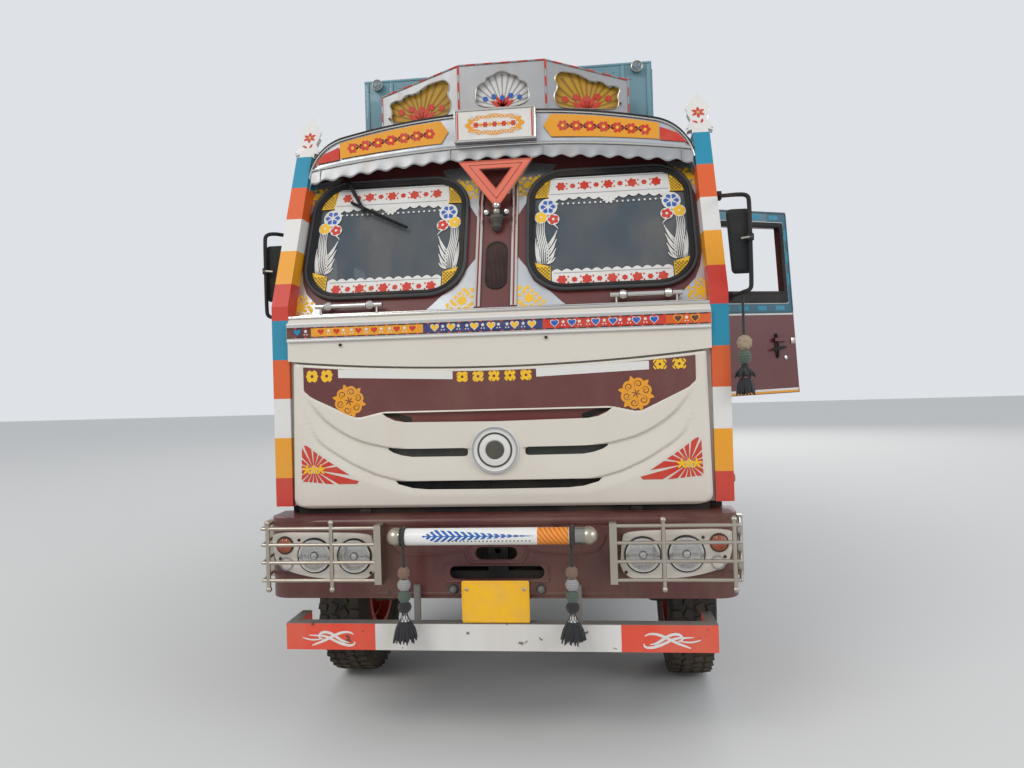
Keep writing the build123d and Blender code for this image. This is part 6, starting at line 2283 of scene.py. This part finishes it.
def tailgate_trim():
    back = facing_rear(7.385)
    parts = []
    for i, middle in enumerate((-0.825, -0.275, 0.275, 0.825)):
        start, end = middle - 0.245, middle + 0.245
        parts += rosette(back, middle, 1.800, 0.170, ROSETTES[i % 2])
        parts.append(framed(back, (start + 0.020, 1.500), (end - 0.020, 2.100), 0.012, 0.0003, sticker_white))
        parts += garland_run(back, start + 0.01, end - 0.01, 2.195,
                             (sticker_navy, sticker_yellow, sticker_red, sticker_white), 0.110)
        wedges = [[(start + 0.010 + 0.094 * k, 1.300), (start + 0.104 + 0.094 * k, 1.300),
                   (start + 0.057 + 0.094 * k, 1.430)]
                  for k in range(5)]
        parts.append(flat_shape("wedges", wedges, back, 0.0002, 0.0010, sticker_amber))
    ribs = facing_rear(7.410)
    strips = [oblong(x - 0.026, 1.250, x + 0.026, 2.290) for x in (-1.1, -0.55, 0, 0.55, 1.1)]
    parts.append(flat_shape("rib_paint", strips, ribs, -0.0011, 0.0010, band_paint))
    for side in SIDES:
        for z in (1.520, 2.200):
            parts.append(bar("hasp", (side * 1.10 - 0.045, 7.396, z - 0.020),
                             (side * 1.10 + 0.045, 7.4098, z + 0.020), old_chrome, 0.004))
    return ridden(joined("tailgate_trim", parts), "tailgate", "paint_body")


def rear_end():
    parts = []
    back = facing_rear(7.330)
    for first, finish in ((1, sticker_red), (0, sticker_white)):
        slants = []
        for u in (-0.840 + 0.105 * i for i in range(first, 16, 2)):
            slant = [(u, 0.604), (u + 0.105, 0.604), (u + 0.145, 0.716), (u + 0.040, 0.716)]
            slants.append([(min(0.845, max(-0.845, a)), b) for a, b in slant])
        parts.append(flat_shape("chevron", slants, back, 0.0002, 0.0010, finish))
    for side in SIDES:
        for low, high, finish in ((0.856, 0.926, red_lens), (0.930, 1.000, amber_lens),
                                  (1.004, 1.074, lamp_lens)):
            parts.append(bar("lens", (side * low, 7.352, 0.626), (side * high, 7.372, 0.694), finish, 0.006,
                             3))
        reflector = [(0.001, 0.008), (0.034, 0.007), (0.040, 0.002), (0.040, 0.0), (0.001, 0.0)]
        parts.append(turned("reflector", reflector, red_lens, (side * 0.775, 7.3312, 0.660), "-Y", 24))
        parts.append(bar("flap_bar", (side * 0.640, 5.894, 1.060), (side * 1.180, 5.902, 1.100),
                         chassis_paint, 0.003))
        flap_face = facing_rear(5.908)
        parts += rosette(flap_face, -side * 0.910, 0.800, 0.130, ROSETTES[0], 8)
    return ridden(joined("rear_dressing", parts), "root", "chassis_paint")


tailgate_trim()
rear_end()


# Wheels: treaded tyres, hubs, nuts and painted rings

TYRE_OUTLINE = (  # distance from the tyre's middle, radius
    (0.104, 0.2565), (0.107, 0.276), (0.116, 0.290), (0.127, 0.318), (0.1345, 0.352), (0.1368, 0.385),
    (0.1368, 0.415), (0.1340, 0.448), (0.1290, 0.472), (0.1240, 0.4735), (0.1245, 0.482), (0.1190, 0.500),
    (0.1040, 0.509), (0.0700, 0.5120), (0.0400, 0.5125), (0.0, 0.5130),
)
TREAD_COUNT = 46


def tyre_form(name):
    """A tyre about the X axis at the origin: a turned carcass with shoulder lugs and centre blocks."""
    outline = [(r, x) for x, r in TYRE_OUTLINE] + [(r, -x) for x, r in TYRE_OUTLINE[-2::-1]]
    carcass = turned("carcass", outline, tyre_rubber, (0, 0, 0), "X", 96, 32)
    blocks = []
    for x, wide, long, lift, skew in ((-0.094, 0.052, 0.040, 0.5130, 0.20),
                                      (0.094, 0.052, 0.040, 0.5130, 0.20),
                                      (-0.032, 0.046, 0.048, 0.5152, -0.45),
                                      (0.032, 0.046, 0.048, 0.5152, 0.45)):
        shift = 0.5 if x > 0 else 0.0
        block = bar("lug", (-wide / 2, -long / 2, -0.012), (wide / 2, long / 2, 0.0085), tyre_rubber, 0.003,
                    1)
        tilt = Matrix.Rotation(-0.13 if x > 0.06 else 0.13 if x < -0.06 else 0.0, 4, "Y")
        block.data.transform(Matrix.Rotation(2 * math.pi * shift / TREAD_COUNT, 4, "X")
                             @ Matrix.Translation((x, 0, lift)) @ Matrix.Rotation(skew, 4, "Z")
                             @ tilt.inverted())
        blocks.append(block)
    segment = joined("segment", blocks)
    step = bpy.data.objects.new("step", None)
    bpy.context.scene.collection.objects.link(step)
    step.rotation_euler = (2 * math.pi / TREAD_COUNT, 0, 0)
    bpy.context.view_layer.update()
    modify(segment, "ARRAY", count=TREAD_COUNT, use_relative_offset=False, use_object_offset=True,
           offset_object=step)
    bpy.data.objects.remove(step)
    ribs = []
    for side in SIDES:
        for radius, x in ((0.345, 0.1345), (0.425, 0.1366)):
            profile = [(radius - 0.003, x - 0.003), (radius + 0.003, x - 0.003), (radius + 0.002, x + 0.0004),
                       (radius - 0.002, x + 0.0004)]
            ribs.append(turned("rib", profile, tyre_rubber, (0, 0, 0), "X" if side > 0 else "-X", 64))
    return smoothed(joined(name, [carcass, segment] + ribs), 30)


def spread_round(piece, count):
    """A piece and its copies turned round the X axis."""
    return [piece] + [copied(piece, f"{piece.name}_{i}", Matrix.Rotation(2 * math.pi * i / count, 4, "X"))
                      for i in range(1, count)]


def hub_form(name, face_x, hub_x, hub_r, nut_r, ring_rs):
    """Nuts, hub cap and painted rings of a wheel about the X axis at its middle, the outside towards +X."""
    nut = [(0.001, 0.0), (0.020, 0.0), (0.020, 0.003), (0.0155, 0.004), (0.0155, 0.021), (0.0125, 0.024),
           (0.0095, 0.024), (0.0095, 0.033), (0.001, 0.033)]
    parts = spread_round(turned("nut", nut, old_chrome, (face_x, 0, nut_r), "X", 6, 20), 10)
    cap = [(hub_r * 0.99, -0.012), (hub_r * 1.01, 0.0), (hub_r * 0.98, 0.004), (hub_r * 0.80, 0.006),
           (hub_r * 0.62, 0.006), (hub_r * 0.60, 0.026), (hub_r * 0.52, 0.038), (hub_r * 0.30, 0.044),
           (0.001, 0.045), (0.001, -0.012)]
    parts.append(turned("cap", cap, red_paint, (hub_x, 0, 0), "X", 40, 30))
    small = [(0.001, 0.0), (0.0085, 0.0), (0.0085, 0.006), (0.001, 0.009)]
    parts += spread_round(turned("small", small, old_chrome, (hub_x + 0.005, 0, hub_r * 0.80), "X", 6, 20), 8)
    disc = facing_left(hub_x + 0.0455)
    parts.append(flat_shape("flower", [blossom(0, 0, hub_r * 0.26, 6, 0.3)], disc, -0.0006, 0.0012,
                            sticker_yellow))
    face = facing_left(face_x)
    for inner, outer, finish in ring_rs:
        parts.append(flat_shape("ring", [circle(0, 0, outer, 64), circle(0, 0, inner, 64)], face, 0.0002,
                                0.0010, finish))
    return joined(name, parts)


def hand_holes(face_x, radius, count, size):
    """Oval hand holes with a rolled edge in the wheel disc, not cut through: near-black ovals, painted shade.
    """
    face = facing_left(face_x)
    parts = []
    for i in range(count):
        angle = 2 * math.pi * (i + 0.5) / count
        u, v = radius * math.cos(angle), radius * math.sin(angle)
        oval = [(u + size * 1.25 * math.cos(t) * -math.sin(angle) + size * 0.8 * math.sin(t)
                 * math.cos(angle), v + size * 1.25 * math.cos(t) * math.cos(angle) + size * 0.8 * math.sin(t)
                 * math.sin(angle))
                for t in (2 * math.pi * k / 20 for k in range(20))]
        parts.append(flat_shape("hole", [oval], face, 0.0003, 0.0008, painted_shade_black))
        parts.append(edging("lip", face, oval, 0.001, 0.0032, red_paint, 6))
    return parts


def wheels():
    tyre = tyre_form("tyre_form")
    front_hub = hub_form("front_hub", 0.090, 0.130, 0.100, 0.128,
                         ((0.214, 0.226, sticker_white), (0.108, 0.114, sticker_yellow)))
    front_hub = joined("front_hub", [front_hub] + hand_holes(0.090, 0.185, 8, 0.020))
    rear_hub = hub_form("rear_hub", 0.020, 0.130, 0.110, 0.138, ((0.160, 0.170, sticker_yellow),))
    band = [(0.2335, 0.272), (0.2550, 0.2835), (0.2745, 0.2835), (0.2745, 0.2845), (0.2540, 0.2850),
            (0.2330, 0.2740)]
    rear_ring = turned("rear_ring", band, sticker_white, (0, 0, 0), "X", 64)
    rear_hub = joined("rear_hub", [rear_hub, rear_ring])
    for side in (1, -1):
        flip, label = Matrix() if side > 0 else MIRROR_X, SIDE_NAMES[side]
        for axle, y, tyre_xs, hub, middle in (("front", 0.0, (FRONT_WHEEL_X,), front_hub, FRONT_WHEEL_X),
                                              ("rear", REAR_AXLE_Y, TWIN_XS, rear_hub, sum(TWIN_XS) / 2)):
            body = f"wheel_{axle}_{label}"
            dressed = [copied(tyre, "tyre", Matrix.Translation((side * x, y, AXLE_Z)) @ flip
                              @ Matrix.Rotation(0.4 * k, 4, "X")) for k, x in enumerate(tyre_xs)]
            ridden(joined(f"tyre_{axle}_{label}_treaded", dressed), body, "tyre", f"tyre_{axle}_{label}")
            nuts = copied(hub, f"hub_{axle}_{label}", Matrix.Translation((side * middle, y, AXLE_Z)) @ flip)
            ridden(nuts, body, "rim_paint")
    for form in (tyre, front_hub, rear_hub):
        bpy.data.objects.remove(form)


wheels()


# Leaf springs as stacked leaves with clamps

def leaf_line(y):
    """The top of the main leaf over the axle, by the distance along the truck."""
    y = abs(y)
    return 0.690 + (0.015 * y / 0.4 if y < 0.4 else 0.015 + 0.030 * (y - 0.4) / 0.35)


def spring_pack(name):
    parts = []
    for k in range(8):
        half = 0.750 - 0.084 * k
        top = grid("leaf", 24, 1, lambda u, v, half=half, k=k: (
            -0.0440 + 0.088 * v, half * (2 * u - 1), leaf_line(half * (2 * u - 1)) - 0.0113 * k),
                   spring_steel)
        modify(top, "SOLIDIFY", thickness=0.0098, offset=-1)
        cleaned(top)
        parts.append(softened(top, 0.0022, 1, 50))
    for y in (-0.050, 0.050):
        bolt = [(-0.0475, y, 0.575), (-0.0475, y, 0.680), (-0.0475, y, 0.700), (0.0475, y, 0.700),
                (0.0475, y, 0.680), (0.0475, y, 0.575)]
        parts.append(tube("u_bolt", bolt, 0.0075, cast_iron, False, 8))
    for y in (-0.330, 0.330):
        z = leaf_line(y)
        parts.append(bar("clip", (-0.0480, y - 0.018, z - 0.045), (0.0480, y + 0.018, z + 0.004), cast_iron,
                         0.003))
    for y in (-0.750, 0.750):
        parts.append(turned("eye", [(0.006, -0.045), (0.026, -0.045), (0.026, 0.045), (0.006, 0.045)],
                            spring_steel, (0, y * 0.985, 0.722), "X", 20))
    return joined(name, parts)


def springs():
    form = spring_pack("spring_form")
    packs = [copied(form, "pack", Matrix.Translation((side * 0.390, y, 0))) for side in SIDES
             for y in (0.0, REAR_AXLE_Y)]
    bpy.data.objects.remove(form)
    return ridden(joined("springs_leaved", packs), "root", "axle_paint", "leaf_springs")


springs()


def chassis_details():
    """Bolt heads along the rails, pipes, tank straps and a cap, louvres, bands and step grips."""
    parts = []
    for side in SIDES:
        for i in range(26):
            y = -0.650 + 0.300 * i
            for z in (0.850, 1.000):
                parts.append(turned("bolt", [(0.001, 0.0), (0.010, 0.0), (0.010, 0.006), (0.001, 0.008)],
                                    chassis_paint, (side * 0.4300, y, z), "X" if side > 0 else "-X", 6, 20))
        line = [(side * 0.441, y, 0.925 + 0.006 * math.sin(3.0 * y))
                for y in [0.9 + 0.35 * i for i in range(18)]]
        parts.append(tube("pipe", line, 0.007, black_plastic, True, 6))
    for y in (1.950, 2.550):
        strap = [(0.432, y, 1.030), (0.520, y, 1.0335), (0.905, y, 1.0335), (0.988, y, 0.995),
                 (1.0035, y, 0.930), (1.0035, y, 0.670), (0.985, y, 0.600), (0.905, y, 0.5665),
                 (0.520, y, 0.5665), (0.445, y, 0.600)]
        parts.append(tube("strap", strap, 0.0065, old_chrome, True, 6))
    cap = [(0.001, 0.0), (0.040, 0.0), (0.040, 0.020), (0.048, 0.022), (0.048, 0.036), (0.042, 0.042),
           (0.001, 0.044)]
    parts.append(turned("cap", cap, old_chrome, (0.870, 2.300, 1.029), "Z", 24))
    for i in range(5):
        z = 0.690 + 0.065 * i
        parts.append(bar("louvre", (-0.9135, 1.730, z - 0.010), (-0.9085, 2.220, z + 0.010), chassis_paint,
                         0.003))
    for inner, outer, half, finish, x, z, ys in (
            (0.128, 0.1335, 0.012, chassis_paint, -0.580, 0.860, (2.430, 2.700, 3.000, 3.270)),
            (0.108, 0.1135, 0.010, cast_iron, -0.620, 0.760, (3.560, 3.850, 4.290))):
        parts += [turned("band", oblong(inner, -half, outer, half), finish, (x, y, z), "Y", 32) for y in ys]
    for side in SIDES:
        for z in (0.913, 0.713):
            for k in range(5):
                x = side * (0.930 + 0.045 * k)
                parts.append(bar("grip", (x - 0.012, -0.868, z + 0.0118), (x + 0.012, -0.695, z + 0.0160),
                                 old_chrome, 0.0015))
    return ridden(joined("chassis_details", parts), "root", "chassis_paint")


chassis_details()


# Cab interior: padded seats, instruments, and a shelf with marigolds

VOXEL = 0.011
PRESSURE = 4.0
CLOTH_FRAMES = 20


def pad(name, low, high, rise, cap):
    """A cushion blown up a little inside its cover, capped so that it stays in its place."""
    low, high = Vector(low), Vector(high)
    bpy.ops.mesh.primitive_cube_add(size=1, location=(low + high) / 2)
    piece = active(name, seat_cover)
    piece.scale = (high - low) - Vector((2 * rise, 2 * rise, 2 * rise))
    settle(piece)
    softened(piece, 0.028, 4)
    modify(piece, "REMESH", mode="VOXEL", voxel_size=VOXEL)
    before = [vertex.co.copy() for vertex in piece.data.vertices]
    only(piece)
    cloth = piece.modifiers.new("cloth", "CLOTH")
    cloth.settings.use_pressure = True
    cloth.settings.uniform_pressure_force = PRESSURE
    cloth.settings.effector_weights.gravity = 0
    cloth.settings.quality = 4
    cloth.point_cache.frame_start, cloth.point_cache.frame_end = 1, CLOTH_FRAMES
    for step in range(1, CLOTH_FRAMES + 1):
        bpy.context.scene.frame_set(step)
    bpy.ops.object.modifier_apply(modifier=cloth.name)
    bpy.context.scene.frame_set(1)
    for vertex, start in zip(piece.data.vertices, before):
        move = vertex.co - start
        if move.length > cap:
            vertex.co = start + move * (cap / move.length)
        vertex.co = Vector([min(h - 0.001, max(l + 0.001, c)) for c, l, h in zip(vertex.co, low, high)])
    return smoothed(piece, 60)


def channels(piece, across, through, face, count, depth):
    """Sewn channels in one face of a pad, which sink along one axis and divide another into equal widths."""
    (low_u, high_u), (low_v, high_v) = [
        (min(places), max(places)) for places in ([v.co[axis] for v in piece.data.vertices]
                                                  for axis in (across, through))]
    for vertex in piece.data.vertices:
        t = (vertex.co[across] - low_u) / (high_u - low_u) * count
        share = (vertex.co[through] - low_v) / (high_v - low_v)
        if min(t, count - t) > 0.5 and (share if face > 0 else 1 - share) > 0.75:
            vertex.co[through] -= face * depth * math.exp(-((t - round(t)) / 0.09) ** 2)


def seats():
    for label, x_low, x_high in (("driver", -0.940, -0.440), ("mate", 0.440, 1.040)):
        cushion = pad(f"seat_cushion_{label}", (x_low, -0.080, 1.545), (x_high, 0.400, 1.665), 0.010, 0.010)
        channels(cushion, 0, 2, 1, 5, 0.008)
        back = pad(f"seat_back_{label}", (x_low, 0.410, 1.670), (x_high, 0.530, 2.230), 0.010, 0.010)
        channels(back, 0, 1, -1, 5, 0.008)
        for piece in (cushion, back):
            ridden(piece, "root", "seat_cover", "seats")


seats()


def cab_fittings():
    parts = []
    dial = [(0.001, 0.0), (0.048, 0.0), (0.056, 0.010), (0.052, 0.014), (0.046, 0.006), (0.001, 0.004)]
    for x, z in ((-0.700, 2.110), (-0.560, 2.115), (-0.420, 2.110)):
        parts.append(turned("dial", dial, black_plastic, (x, -0.655, z), "-Y", 24))
    parts.append(bar("binnacle", (-0.780, -0.800, 2.145), (-0.340, -0.655, 2.205), black_plastic, 0.020, 4))
    parts.append(bar("shelf", (0.300, -0.840, 2.145), (1.050, -0.670, 2.165), black_plastic, 0.006, 3))
    for x in (0.420, 0.640, 0.860):
        parts.append(ball("marigold", (x, -0.760, 2.196), 0.032, sticker_orange, 8))
    return ridden(joined("cab_fittings", parts), "root", "cab_trim")


cab_fittings()


def front_gap_shade():
    """A near-black sheet behind the gap between the flap and the bumper: painted shade, where the gap looks
    dark.
    """
    parts = [bar("shade_sheet", (-1.060, -0.990, 1.090), (1.060, -0.982, 1.215), painted_shade_black, 0.002)]
    for side in SIDES:
        parts.append(bar("stop", (side * 0.70 - 0.030, -0.998, 1.150), (side * 0.70 + 0.030, -0.986, 1.180),
                         black_plastic, 0.004))
    return ridden(joined("front_gap_shade_sheet", parts), "root", "trim_black")


front_gap_shade()


# The room: a plain pale floor, a soft white sky and three large soft lights

SKY, SKY_STRENGTH = (0.86, 0.89, 0.93, 1), 0.85
LIGHTS = (  # name, place, aim, width, power, tint
    ("key", (-9, -13, 13), (0, 2, 1.5), 10, 1300, (1.0, 0.97, 0.92)),
    ("fill", (12, -8, 7), (0, 3, 1.5), 8, 600, (0.93, 0.96, 1.0)),
    ("rear", (5, 22, 11), (0, 4, 1.5), 9, 900, (1.0, 0.98, 0.95)),
)


def area_light(name, place, aim, width, power, tint):
    data = bpy.data.lights.new(name, "AREA")
    data.shape, data.size, data.size_y = "RECTANGLE", width, width * 0.6
    data.energy, data.color = power, tint
    item = bpy.data.objects.new(name, data)
    item.location = place
    item.rotation_euler = (Vector(aim) - Vector(place)).to_track_quat("-Z", "Y").to_euler()
    bpy.context.scene.collection.objects.link(item)


def room():
    world = bpy.data.worlds.new("room")
    bpy.context.scene.world = world
    world.use_nodes = True
    background = world.node_tree.nodes["Background"]
    background.inputs["Color"].default_value = SKY
    background.inputs["Strength"].default_value = SKY_STRENGTH
    for row in LIGHTS:
        area_light(*row)
    bpy.ops.mesh.primitive_plane_add(size=120, location=(0, 3, -0.002))
    floor = active("floor")
    ground = Finish("floor", Base_Color=(0.62, 0.62, 0.61, 1), Roughness=0.85)
    ground.bump(ground.noise(30.0), 0.002, 0.2)
    floor.data.materials.append(ground.material)
    bpy.context.scene.view_settings.view_transform = "Standard"


room()
bpy.context.view_layer.update()
